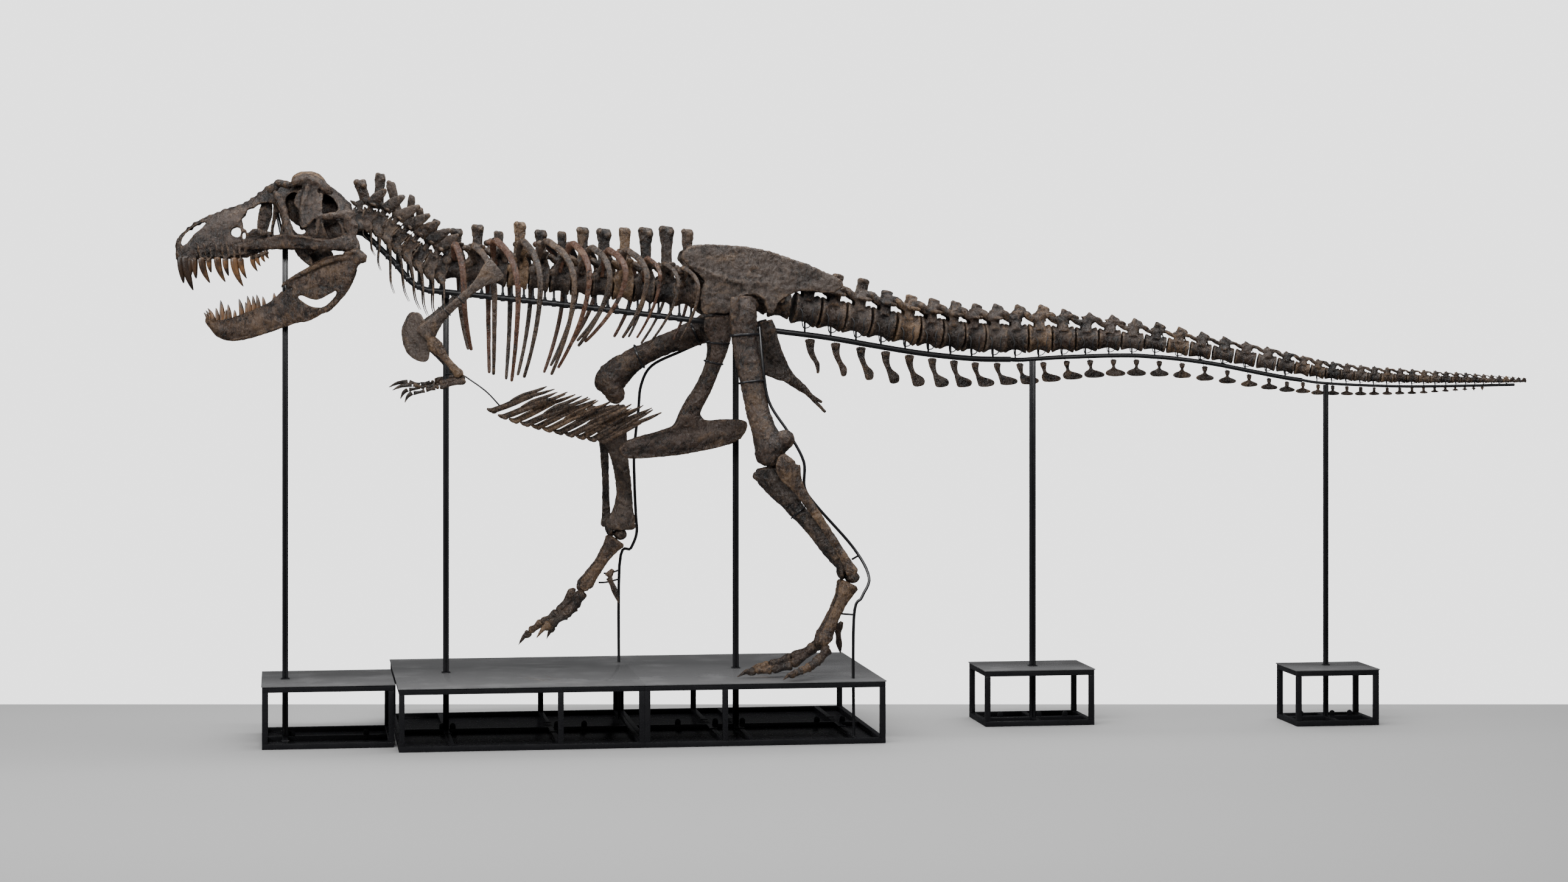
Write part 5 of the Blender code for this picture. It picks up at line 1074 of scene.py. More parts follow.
def chevron_place(places, i):
    """x, y and z on the bar of the chevron between two tail vertebrae."""
    x = 0.5 * (places[i][0].x + places[i + 1][0].x) - 0.06 + 0.02 * i / CHEVRONS
    return (x, *bar_height(x))


def build_neck():
    last = len(NECK) - 1
    for i, (x, z, radius, foot, tip_x, tip_z, spine, rib_x, rib_z) in enumerate(NECK):
        ahead, behind = NECK[max(i - 1, 0)], NECK[min(i + 1, last)]
        back = (behind[0] - ahead[0], 0, behind[1] - ahead[1])
        form = Form()
        vertebra(form, (x, 0, z), back, 0.104, radius, (tip_x, 0, tip_z), spine * 0.9,
                 wing=0.135 if 0 < i < last else 0.0, rise=0.0, foot=None if i > 2 else foot, prongs=1.0,
                 root_half=0.5, knob=0.026)
        high = Vector((back[2], 0, -back[0])).normalized() * (1 if back[0] < 0 else -1)
        for form.side in (LEFT, RIGHT):
            # The plate from the arch to the rear joint, which stands up as a fin on each side
            if 0 < i < last:
                base = Vector((x, 0.045, z)) + high * 1.5 * radius
                form.sweep(((*(base - high * 0.02), 0.016, 0.05),
                            (*(base + high * 0.035 + Vector((0.03, 0.02, 0))), 0.015, 0.044),
                            (*(base + high * 0.075 + Vector((0.062, 0.035, 0))), 0.013, 0.03),
                            (*(base + high * 0.1 + Vector((0.08, 0.04, 0))), 0.006, 0.012)), 12, 3)
            form.sweep(((x - 0.02, 0.05, z - 0.02, 0.022, 0.05), (x - 0.01, 0.095, z - 0.05, 0.02, 0.042),
                        (x + 0.01, 0.11, z - 0.1, 0.014, 0.03)), 10, 3)
        bone("cervical_%d" % (i + 1), form, ("dark", "brown", "dark", "grey")[i % 4], ("neck",), 0.0062,
             pits=0.004)
        for side, word in SIDES:
            reach = 0.1 + 0.006 * i
            ribs = Form(side).sweep((
                (x - 0.02, 0.09, z - 0.03, 0.011, 0.026), (x + 0.005, reach - 0.004, z - 0.09, 0.01, 0.019),
                (x + 0.3 * (rib_x - x) + 0.01, reach, z - 0.42 * (z - rib_z), 0.006, 0.009),
                (x + 0.75 * (rib_x - x), reach + 0.02, z - 0.8 * (z - rib_z), 0.0035, 0.0045),
                (rib_x + 0.02, reach + 0.03, rib_z, 0.002, 0.002)), 10, 6)
            worn("cervical_rib_%d_%s" % (i + 1, word), ribs, "dark", ("neck",), swell=0.002)


def build_back():
    for i, top in enumerate(SPINE_TOPS):
        x = BACK_FIRST + i * BACK_STEP
        z, = along(BACK_LINE, x)
        radius = 0.098 + 0.0014 * i
        spine = 0.046 + (0.01 if i > 6 else 0.0) - 0.012 * (i % 3 == 2)
        form = vertebra(Form(), (x, 0, z), (1, 0, -0.11), BACK_STEP, radius, (x + 0.015, 0, top), spine,
                        wing=0.17, rise=0.55, root_half=0.33, knob=0.026)
        for form.side in (LEFT, RIGHT):
            # The sockets of the rib and the struts that rise from them to the side process
            form.lump((x - 0.055, 0.085, z + 0.055), (0.036, 0.026, 0.036))
            form.sweep(((x - 0.045, 0.075, z + 0.06, 0.014, 0.022), (x - 0.01, 0.11, z + 0.14, 0.012, 0.018),
                        (x + 0.015, 0.14, z + 0.185, 0.01, 0.016)), 10, 3)
            form.sweep(((x + 0.06, 0.055, z + 0.08, 0.014, 0.022), (x + 0.035, 0.1, z + 0.15, 0.012, 0.018),
                        (x + 0.025, 0.14, z + 0.185, 0.01, 0.016)), 10, 3)
        bone("dorsal_%d" % (i + 1), form, ("dark", "brown", "dark", "ochre", "dark")[i % 5],
             ("trunk_left", "trunk_right"), 0.0078, pits=0.005)


def rib_rows(number):
    """Rows of one rib: from its head on the vertebra over its shoulder and down the flank."""
    top_x, top_z, mid_x, mid_z, end_x, end_z, width = RIBS[number]
    head_x = BACK_FIRST + number * BACK_STEP
    head_z, = along(BACK_LINE, head_x)
    thick, broad = 0.011, 0.022 if number < 9 else 0.015
    rows = [(head_x - 0.01, 0.07, head_z + 0.06, thick, broad * 0.8),
            (0.6 * head_x + 0.4 * top_x, 0.115, 0.45 * head_z + 0.55 * top_z, thick, broad * 0.9)]
    # A quarter of an ellipse over the flank, then a gentle line down to the end
    for k in range(6):
        turn = math.pi * (0.07 + 0.4 * k / 5)
        rows.append((mid_x + (top_x - mid_x) * (1 - math.sin(turn)),
                     0.15 + (width - 0.15) * math.sin(turn), mid_z + (top_z - mid_z) * math.cos(turn),
                     thick * (1.25 - 0.05 * k), broad * (1.25 - 0.05 * k)))
    for t, size in ((0.1, 0.92), (0.28, 0.84), (0.48, 0.78), (0.68, 0.7), (0.86, 0.62), (0.98, 0.54),
                    (1.0, 0.25)):
        rows.append((mid_x + (end_x - mid_x) * t ** 1.7, width * (1.0 - 0.3 * t ** 1.8),
                     mid_z + (end_z - mid_z) * t, thick * (0.5 + 0.5 * size), broad * size))
    return rows


def build_ribs():
    finishes = ("red", "brown", "red", "dark", "brown", "red", "dark")
    for number in range(len(RIBS)):
        for side, word in SIDES:
            form = Form(side).sweep(rib_rows(number), 14, 4, (-0.15, side, 0.35), 0.85)
            form.lump((RIBS[number][0] + 0.02, 0.175, RIBS[number][1] - 0.02), (0.03, 0.018, 0.026))
            worn("rib_%d_%s" % (number + 1, word), form, finishes[(number + (side > 0)) % 7],
                 ("trunk_" + word,))


def build_arms():
    for side, word in SIDES:
        blade = Form(side).sweep((
            (-1.03, 0.472, 3.492, 0.008, 0.07), (-1.045, 0.473, 3.48, 0.01, 0.088),
            (-1.09, 0.475, 3.442, 0.012, 0.08), (-1.18, 0.47, 3.365, 0.015, 0.04),
            (-1.32, 0.45, 3.24, 0.018, 0.031), (-1.45, 0.4, 3.12, 0.022, 0.04),
            (-1.53, 0.36, 3.03, 0.026, 0.07), (-1.57, 0.335, 2.985, 0.026, 0.075)), 20, 5)
        coracoid = ((-1.65, 3.15), (-1.59, 3.15), (-1.545, 3.06), (-1.525, 2.95), (-1.53, 2.815),
                    (-1.6, 2.8), (-1.665, 2.85), (-1.7, 2.94), (-1.705, 3.04))
        foot = Form(side).plate(coracoid, 0.3, 0.022).bend(
            lambda p, s=side: Vector((p.x, p.y + s * 0.5 * (p.x + 1.6), p.z)))
        blade.join(foot)
        blade.lump((-1.535, 0.37, 2.985), (0.032, 0.034, 0.04))
        bone("scapula_" + word, blade, "grey", ("scapula_" + word,), 0.0055)
        humerus = Form(side).sweep((
            (-1.525, 0.385, 2.972, 0.018, 0.024), (-1.51, 0.385, 2.95, 0.032, 0.044),
            (-1.485, 0.388, 2.915, 0.032, 0.052), (-1.45, 0.395, 2.875, 0.026, 0.042),
            (-1.41, 0.41, 2.82, 0.021, 0.028), (-1.345, 0.43, 2.745, 0.024, 0.03),
            (-1.315, 0.43, 2.712, 0.03, 0.038), (-1.302, 0.43, 2.69, 0.022, 0.024)))
        humerus.lump((-1.462, 0.404, 2.92), (0.022, 0.02, 0.036), ahead=(0.6, 0, -0.8))
        humerus.lump((-1.505, 0.38, 2.9), (0.02, 0.018, 0.03))
        bone("humerus_" + word, humerus, "tawny" if side < 0 else "dark", ("humerus_" + word,), 0.0042,
             swell=0.008)
        for name, y, z in (("radius", 0.415, 0.012), ("ulna", 0.447, -0.012)):
            form = Form(side).sweep(((-1.27, y, 2.676 + z, 0.01, 0.014), (-1.285, y, 2.67 + z, 0.018, 0.028),
                                     (-1.31, y, 2.664 + z, 0.016, 0.024), (-1.37, y, 2.65 + z, 0.012, 0.016),
                                     (-1.44, y, 2.63 + z, 0.017, 0.022),
                                     (-1.455, y, 2.627 + z, 0.012, 0.015)))
            bone("%s_%s" % (name, word), form, "brown", ("forearm_" + word,), 0.0036)
        form = Form(side)
        for x, y, z in ((-1.468, 0.415, 2.632), (-1.47, 0.445, 2.612), (-1.482, 0.43, 2.618)):
            form.lump((x, y, z), (0.013, 0.015, 0.014))
        bone("wrist_" + word, form, "dark", ("hand_" + word,), 0.0032)
        for finger, (y, z, tip_x, tip_z) in enumerate(((0.41, 0.01, -1.8, 2.59), (0.45, -0.01, -1.71, 2.5)),
                                                      1):
            form = Form(side)
            form.sweep(((-1.488, y, 2.618 + z, 0.015, 0.018), (-1.52, y, 2.61 + z, 0.011, 0.012),
                        (-1.555, y, 2.603 + z, 0.015, 0.018)), 12, 3)
            form.sweep(((-1.564, y, 2.6 + z, 0.014, 0.017), (-1.6, y, 2.598 + 2 * z, 0.01, 0.011),
                        (-1.645, y, 2.602 + 3 * z, 0.014, 0.017)), 12, 3)
            form.sweep(((-1.656, y, 2.602 + 3 * z, 0.012, 0.018),
                        (0.5 * (tip_x - 1.656) - 0.004, y, 0.5 * (tip_z + 2.602 + 3 * z) + 0.012, 0.01,
                         0.014),
                        (tip_x, y, tip_z, 0.002, 0.003)), 12, 4)
            bone("finger_%d_%s" % (finger, word), form, "dark", ("hand_" + word,), 0.003, swell=0.002,
                 pits=0.0015)


def build_gastralia():
    rows = 11
    for i in range(rows):
        t = i / (rows - 1)
        x = -1.03 + 0.83 * t
        z = 2.425 - 0.235 * t ** 0.7
        back = 0.42 - 0.07 * t + 0.05 * rough(i, 5)
        rise = 0.165 + 0.055 * t + 0.03 * rough(i, 7)
        wide = 0.36 - 0.06 * t
        for side, word in SIDES:
            form = Form(side).sweep((
                (x - 0.05, -0.03, z + 0.012, 0.008, 0.008), (x, 0.01, z + 0.004, 0.018, 0.021),
                (x + 0.3 * back, 0.34 * wide, z + 0.3 * rise, 0.015, 0.018),
                (x + 0.64 * back, 0.66 * wide, z + 0.64 * rise, 0.008, 0.008)), 12, 6)
            form.sweep((
                (x + 0.3 * back, 0.32 * wide, z + 0.33 * rise + 0.014, 0.004, 0.004),
                (x + 0.52 * back, 0.56 * wide, z + 0.55 * rise + 0.012, 0.013, 0.015),
                (x + 0.8 * back, 0.82 * wide, z + 0.82 * rise, 0.012, 0.013),
                (x + back, wide, z + rise, 0.004, 0.004)), 12, 6)
            form.lump((x, 0.014, z - 0.002), (0.026, 0.018, 0.022))
            worn("belly_rib_%d_%s" % (i + 1, word), form, ("dark", "brown", "tawny")[i % 3], ("gastralia",),
                 swell=0.005)


def build_hips():
    form = Form()
    for x, z, radius in ((0.62, 3.278, 0.098), (0.78, 3.258, 0.094), (0.94, 3.238, 0.094),
                         (1.12, 3.212, 0.104)):
        vertebra(form, (x, 0, z), (1, 0, -0.13), 0.172, radius,
                 (x + 0.02, 0, 3.6 - 0.14 * max(0.0, x - 0.9) - 0.02),
                 0.07, wing=0.0)
        for form.side in (LEFT, RIGHT):
            form.sweep(((x, 0.03, z + 0.05, 0.034, 0.06), (x, 0.1, z + 0.08, 0.026, 0.06),
                        (x, 0.145, z + 0.1, 0.034, 0.1)), 12, 3, (1, 0, 0))
    form.plate(((0.53, 3.4), (0.555, 3.61), (0.75, 3.615), (0.95, 3.595), (1.22, 3.495), (1.55, 3.365),
                (1.5, 3.31), (1.22, 3.36)), 0.0, 0.02)
    bone("sacrum", form, "dark", ("sacrum",), 0.0085, pits=0.005)
    for side, word in SIDES:
        form = Form(side).plate(ILIUM, 0.165, 0.02, 5)
        form.bend(lambda p, s=side: Vector((p.x, p.y + s * 0.1 * (3.4 - p.z), p.z)))
        # Rim of the hip socket, the two feet and the ridge down the middle of the blade
        form.sweep([(0.875 + 0.135 * math.cos(a), 0.185, 3.185 + 0.118 * math.sin(a), 0.034, 0.018)
                    for a in [math.pi * (0.02 + 0.96 * k / 8) for k in range(9)]], 12, 2)
        form.sweep(((0.6, 0.18, 3.3, 0.024, 0.06), (0.61, 0.184, 3.21, 0.034, 0.082),
                    (0.62, 0.186, 3.158, 0.036, 0.084)))
        form.sweep(((1.06, 0.18, 3.29, 0.024, 0.04), (1.04, 0.184, 3.21, 0.03, 0.034),
                    (1.03, 0.186, 3.16, 0.03, 0.024)))
        form.sweep(((0.88, 0.18, 3.31, 0.03, 0.06), (0.87, 0.172, 3.42, 0.022, 0.035),
                    (0.85, 0.16, 3.55, 0.018, 0.022)))
        form.sweep([(x, 0.165 + 0.1 * (3.4 - z), z - 0.01, 0.023, 0.012) for x, z in
                    through(((0.42, 3.64), (0.61, 3.665), (0.95, 3.633), (1.21, 3.553), (1.44, 3.463),
                             (1.55, 3.405)), 3)],
                   10, 1)
        form.sweep(((0.47, 0.168, 3.5, 0.016, 0.03), (0.6, 0.172, 3.43, 0.024, 0.03),
                    (0.78, 0.178, 3.39, 0.024, 0.03), (1.0, 0.176, 3.37, 0.018, 0.025),
                    (1.24, 0.172, 3.37, 0.012, 0.02)))
        form.sweep(((0.55, 0.18, 3.36, 0.022, 0.03), (0.53, 0.186, 3.27, 0.026, 0.03),
                    (0.56, 0.19, 3.18, 0.024, 0.04)))
        bone("ilium_" + word, form, "grey", ("ilium_" + word,), 0.0078, swell=0.016, pits=0.007)
        form = Form(side).sweep((
            (0.63, 0.155, 3.13, 0.03, 0.09), (0.635, 0.15, 3.08, 0.036, 0.112),
            (0.645, 0.143, 3.02, 0.034, 0.105), (0.655, 0.13, 2.91, 0.034, 0.07),
            (0.61, 0.105, 2.74, 0.034, 0.05), (0.54, 0.08, 2.58, 0.034, 0.055),
            (0.45, 0.055, 2.42, 0.04, 0.07), (0.42, 0.042, 2.3, 0.04, 0.09)), 18, 4)
        form.plate(PUBIS_BOOT, 0.034, 0.031)
        form.sweep(((-0.06, 0.036, 2.13, 0.036, 0.05), (0.2, 0.042, 2.165, 0.042, 0.075),
                    (0.45, 0.044, 2.2, 0.044, 0.085), (0.82, 0.036, 2.26, 0.034, 0.06)), 16, 4)
        bone("pubis_" + word, form.bend(lambda p, s=side: Vector((p.x, s * max(s * p.y, 0.004), p.z))),
             "brown" if side < 0 else "dark", ("pubis_" + word,), 0.0075)
        form = Form(side).sweep((
            (1.0, 0.158, 3.095, 0.026, 0.05), (1.02, 0.152, 3.02, 0.026, 0.062),
            (1.035, 0.145, 2.94, 0.024, 0.065), (1.08, 0.125, 2.82, 0.02, 0.065),
            (1.18, 0.098, 2.68, 0.018, 0.042), (1.3, 0.08, 2.58, 0.016, 0.028),
            (1.4, 0.078, 2.49 + side * 0.02, 0.013, 0.016),
            (1.465, 0.085, 2.437 + side * 0.035, 0.01, 0.012)), 14, 4)
        form.plate(((0.985, 2.73), (1.07, 2.665), (1.19, 2.64), (1.15, 2.78), (1.03, 2.94)), 0.12, 0.011)
        bone("ischium_" + word, form, "dark", ("ischium_" + word,), 0.0062)


def build_legs():
    for side, word in SIDES:
        leg = LEGS[side]
        near = side == LEFT
        form = Form().sweep(leg["femur"], 22, 4)
        form.sweep(leg["head"], 18, 4, (1, 0, 0))
        for a, b in leg["condyles"]:
            form.sweep(((*a, 0.045, 0.055), (*(Vector(a).lerp(Vector(b), 0.5)), 0.062, 0.078),
                        (*b, 0.045, 0.055)), 16, 4)
            form.lump(b, (0.076, 0.058, 0.08))
        for ridge, size in zip(leg["ridges"], (0.026, 0.034)):
            form.sweep([(*point, size * (0.6 if k != 1 else 1.0), size) for k, point in enumerate(ridge)],
                       12, 4)
        bone("femur_" + word, form, "brown", ("femur_" + word,), 0.0082, swell=0.014, pits=0.006)
        form = Form().sweep(leg["tibia"], 22, 4)
        form.sweep(leg["cnemial"], 16, 4)
        bone("tibia_" + word, form, "dark" if near else "grey", ("tibia_" + word,), 0.0078, swell=0.012,
             pits=0.005)
        bone("fibula_" + word, Form().sweep(leg["fibula"], 16, 5), "tawny" if near else "dark",
             ("fibula_" + word,), 0.0062)
        # The two heel bones under the shin, and the flange that rises up its front
        knee, heel = (Vector(point) for point in leg["shin"])
        form = Form()
        form.lump(heel + Vector((0, 0, -0.006)), (0.052, 0.098, 0.046))
        form.lump(heel + Vector((0.0, side * 0.085, 0.0)), (0.046, 0.036, 0.044))
        form.sweep(((*(heel + Vector((-0.07, 0, -0.02))), 0.05, 0.014),
                    (*(heel + Vector((-0.082, 0, 0.02))), 0.07, 0.03),
                    (*(heel + Vector((-0.09, 0, 0.08))), 0.06, 0.03),
                    (*(knee + Vector((-0.08, 0, 0.06))), 0.022, 0.014),
                    (*(knee + Vector((-0.075, 0, 0.1))), 0.006, 0.005)))
        bone("astragalus_" + word, form, "dark", ("tibia_" + word,), 0.0058)


def build_feet():
    """The foot bones, the small first toe and the three toes of each foot."""
    for side, word in SIDES:
        leg = LEGS[side]
        ankle, heads, spread = Vector(leg["ankle"]), Vector(leg["heads"]), leg["spread"]
        for number, place in ((2, -side), (3, 0), (4, side)):
            top = ankle + Vector((0, place * 0.058, 0))
            low = heads + Vector((0.02 * abs(place), place * spread, 0.012 * abs(place)))
            rows = [(*(top + (low - top) * t), half, deep) for t, half, deep in (
                (0.0, 0.03, 0.06), (0.05, 0.036, 0.076), (0.16, 0.03, 0.06), (0.35, 0.024, 0.044),
                (0.6, 0.024, 0.04), (0.82, 0.032, 0.046), (0.93, 0.04, 0.054), (1.0, 0.033, 0.042))]
            form = Form().sweep(rows, 18, 3)
            for hand in (LEFT, RIGHT):
                form.lump(low + Vector((0, hand * 0.02, 0.0)), (0.04, 0.018, 0.04))
            bone("metatarsal_%d_%s" % (number, word), form, ("tawny", "brown", "tawny")[number - 2],
                 ("metatarsus_" + word,),
                 0.0058, swell=0.009, pits=0.005)
        root, mid, tip = (Vector(point) for point in leg["hallux"])
        form = Form().sweep(((*(root + (ankle - heads) * 0.14), 0.012, 0.014),
                             (*(root + (ankle - heads) * 0.05), 0.024, 0.028),
                             (*(root - (ankle - heads) * 0.02), 0.022, 0.028)), 12, 3)
        form.sweep(((*root.lerp(mid, 0.1), 0.024, 0.028), (*root.lerp(mid, 0.5), 0.018, 0.02),
                    (*mid, 0.021, 0.025)), 12, 3)
        form.sweep(((*mid.lerp(tip, 0.05), 0.018, 0.025), (*mid.lerp(tip, 0.5), 0.013, 0.018),
                    (*tip, 0.002, 0.003)), 12, 3)
        bone("digit_1_" + word, form, "brown", ("metatarsus_" + word,), 0.0042, swell=0.003, pits=0.0015)
        for name, points in leg["toes"].items():
            build_toe(word, name, [Vector(point) for point in points])


def build_toe(word, name, points):
    """The bones of one toe along its line, the last one a curved claw."""
    spans = [(b - a).length for a, b in zip(points, points[1:])]
    total = sum(spans)

    def spot(share):
        left = share * total
        for a, b, span in zip(points, points[1:], spans):
            if left <= span or b is points[-1]:
                return a.lerp(b, left / span)
            left -= span

    joints = TOE_JOINTS[name]
    for i, (low, high) in enumerate(zip(joints, joints[1:])):
        a, b = spot(low + 0.006), spot(high - 0.006)
        thick = 0.045 - 0.0042 * i
        form = Form()
        if i < len(joints) - 2:
            drop = Vector((0, 0, -0.004))
            form.sweep(((*a.lerp(b, -0.01), thick * 0.8, thick * 0.84),
                        (*a.lerp(b, 0.08), thick * 0.98, thick * 1.02),
                        (*a.lerp(b, 0.22), thick * 0.9, thick * 0.9),
                        (*(a.lerp(b, 0.52) + drop), thick * 0.68, thick * 0.66),
                        (*a.lerp(b, 0.85), thick * 0.86, thick * 0.86),
                        (*a.lerp(b, 0.97), thick * 0.7, thick * 0.74)), 18, 4)
            for hand in (LEFT, RIGHT):
                form.lump(a.lerp(b, 0.91) + Vector((0, hand * thick * 0.45, 0.002)),
                          (thick * 0.66, thick * 0.42, thick * 0.8))
            form.lump(a.lerp(b, 0.06) + Vector((0, 0, thick * 0.45)),
                      (thick * 0.5, thick * 0.5, thick * 0.42))
        else:
            a = spot(low + 0.01)
            middle = a.lerp(b, 0.5) + Vector((0, 0, 0.014))
            form.sweep(((*a, thick * 0.6, thick * 0.8), (*a.lerp(b, 0.1), thick * 0.74, thick * 0.98),
                        (*a.lerp(b, 0.25), thick * 0.66, thick * 0.84),
                        (*middle, thick * 0.46, thick * 0.56), (*points[-1], 0.003, 0.003)), 16, 5)
        bone("%s_%s_bone_%d" % (name, word, i + 1), form, ("brown", "dark", "ochre", "dark", "brown")[i],
             ("%s_%s" % (name, word),), 0.005, swell=0.004, pits=0.002)


def build_tail():
    for i, (centre, back, length) in enumerate(tail_places()):
        radius, height = run(TAIL_RADIUS, i), run(TAIL_SPINE, i)
        lean = 0.2 * height if i < 12 else 0.35 * height
        wing = run(((0, 0.13), (2, 0.185), (8, 0.12)), i) if i < 9 else 0.0
        spine = min(0.046, 0.26 * length)
        form = vertebra(Form(), centre, back, length, radius, centre + Vector((lean, 0, height)), spine,
                        wing=wing, rise=0.0, prongs=0.95 if i < 30 else 0.7)
        part = 1 + sum(i >= stop for stop in TAIL_LENGTHS)
        grain = 0.0085 if i < 11 else 0.0058 if i < 22 else 0.0042 if i < 34 else 0.0028
        size = 1.0 if i < 12 else 0.6 if i < 24 else 0.35
        bone("caudal_%d" % (i + 1), form, ("dark", "brown", "ochre", "dark", "grey", "brown")[(i * 5) % 6
                                                                                              if i else 0],
             ("tail_%d" % part,), grain, swell=0.007 * size, pits=0.005 * size)


def build_chevrons():
    places = tail_places()
    for i in range(CHEVRONS):
        x, y, z = chevron_place(places, i)
        depth, foot = run(CHEVRON_DEPTH, i), run(CHEVRON_FOOT, i)
        neck = 0.125 * depth + 0.007
        lean = run(((0, 0.06), (8, 0.05), (14, 0.0), (37, 0.0)), i)
        behind = foot * run(((0, 0.5), (8, 0.8), (14, 0.5), (37, 0.5)), i)
        front = foot - behind
        top = z - (0.03 if i < 22 else 0.016 if i < 30 else 0.008)
        head, waist = 0.85 * neck, 0.5 * neck
        outline = (
            (x - head, top - 0.004), (x, top + 0.004), (x + head, top - 0.004),
            (x + 0.9 * head, top - 0.12 * depth), (x + waist + 0.15 * lean, z - 0.4 * depth),
            (x + waist + 0.5 * lean, z - 0.6 * depth), (x + lean + behind * 0.7, z - 0.72 * depth),
            (x + lean + behind, z - 0.82 * depth), (x + lean + 0.88 * behind, z - 0.95 * depth),
            (x + lean + 0.3 * behind, z - depth), (x + lean - 0.6 * front, z - 0.985 * depth),
            (x + lean - front, z - 0.86 * depth), (x + 0.7 * lean - 0.8 * front, z - 0.72 * depth),
            (x - waist + 0.4 * lean, z - 0.58 * depth), (x - waist, z - 0.4 * depth),
            (x - 0.9 * head, top - 0.12 * depth))
        form = Form().plate(outline, y, 0.005 + 0.034 * depth, 3)
        form.lump((x, y, top - 0.016 - 0.05 * depth), (head * 0.95, 0.01 + 0.07 * depth,
                                                       0.012 + 0.05 * depth))
        part = 1 + sum(i >= stop for stop in CHEVRON_LENGTHS)
        grain = 0.0052 if i < 12 else 0.004 if i < 24 else 0.0026
        bone("chevron_%d" % (i + 1), form, ("dark", "brown", "dark")[i % 3], ("tail_bar_%d" % part,), grain,
             swell=0.003, pits=0.0015, smooth=4)


# Mount

def bar_piece(name, line, radius):
    """One length of the spine bar."""
    return steel(name, Form().rod(line, radius, 18, 5), (name,), finish="bar")


def build_spine_bar():
    radius = bpy.context.scene.skeleton_sizes.bar_radius
    line = NECK_BAR + HIP_BAR + TAIL_BAR
    bar_piece("front_bar", NECK_BAR + HIP_BAR[:2], radius)
    lengths = list(enumerate(zip(BAR_JOINTS, BAR_JOINTS[1:], BAR_SHARES), 1))
    for number, (low, high, share) in lengths:
        inner = [point for point in line if low < point[0] < high]
        ends = [(x, *bar_height(x)) for x in (low + GAP, high)]
        bar_piece("tail_bar_%d" % number, [ends[0]] + inner + [ends[1]], radius * share)
    # A clamp on the bar and a pin under each vertebra
    front = Form()
    for x, z, size, *_ in NECK[2:]:
        clamp(front, x, 0.0, bar_height(x)[1], z - 0.7 * size, radius)
    for i in range(len(SPINE_TOPS)):
        x = BACK_FIRST + i * BACK_STEP
        for shift in (-0.045, 0.045):
            if -1.36 < x + shift < 0.53:
                clamp(front, x + shift, 0.0, bar_height(x + shift)[1], along(BACK_LINE, x)[0] - 0.07, radius)
    steel("front_clamps", front, ("front_bar",), finish="bar")
    places = tail_places()
    for number, (low, high, share) in lengths:
        form = Form()
        for i, (centre, _, length) in enumerate(places):
            if not low + 0.02 < centre.x < high - 0.02:
                continue
            size = run(TAIL_RADIUS, i)
            y, z = bar_height(centre.x)
            form.rod(((centre.x, y, z), (centre.x, y, max(centre.z - 0.6 * size, z + 0.01))),
                     0.36 * radius * share, 12, 1)
            # Two black wire claws that hold the centrum from below
            wire = 0.0045 * share
            for hand in (LEFT, RIGHT):
                reach = hand * 0.2 * length
                form.rod(((centre.x, y, centre.z - 1.12 * size),
                          (centre.x + 0.6 * reach, y - 0.55 * size, centre.z - 1.02 * size),
                          (centre.x + reach, y - 1.05 * size, centre.z - 0.6 * size),
                          (centre.x + 0.9 * reach, y - 1.1 * size, centre.z - 0.2 * size),
                          (centre.x + 1.3 * reach, y - 1.04 * size, centre.z + 0.1 * size)), wire, 8, 4)
        steel("tail_clamps_%d" % number, form, ("tail_bar_%d" % number,), finish="bar")
    build_chevron_wires(places)


def clamp(form, x, y, low, high, radius):
    """A collar on the bar with the pin that rises from it."""
    form.rod(((x - radius * 0.75, y, low), (x + radius * 0.75, y, low)), radius * 1.22, 16, 1)
    form.rod(((x, y, low), (x, y, max(high, low + 0.01))), radius * 0.42, 12, 1)
    form.rod(((x, y, low + radius), (x, y, low + 1.9 * radius)), radius * 0.62, 12, 1)


def build_chevron_wires(places):
    """The thin wires that hang each chevron from the bar."""
    for number, first in enumerate((0,) + CHEVRON_LENGTHS[:-1]):
        form = Form()
        for i in range(first, CHEVRON_LENGTHS[number]):
            x, y, z = chevron_place(places, i)
            depth = run(CHEVRON_DEPTH, i)
            size = 0.0022 if i < 21 else 0.0014
            form.rod(((x - 0.012, y, z), (x - 0.014, y - 0.01, z - 0.02),
                      (x - 0.004, y - 0.012, z - 0.035 - 0.12 * depth),
                      (x + 0.002, y, z - 0.04 - 0.16 * depth)), size, 8, 3)
        steel("chevron_wires_%d" % (number + 1), form, ("tail_bar_%d" % (number + 1),))


def slotted(x, y, half):
    """Section of a post: a square with a groove down the middle of each face."""
    slot, floor, ring = 0.22, 1 - 0.45, []
    for c, s in ((1, 0), (0, 1), (-1, 0), (0, -1)):
        for a, b in ((1.0, -1.0), (1.0, -slot), (floor, -slot), (floor, slot), (1.0, slot)):
            ring.append((x + half * (a * c - b * s), y + half * (a * s + b * c)))
    return ring


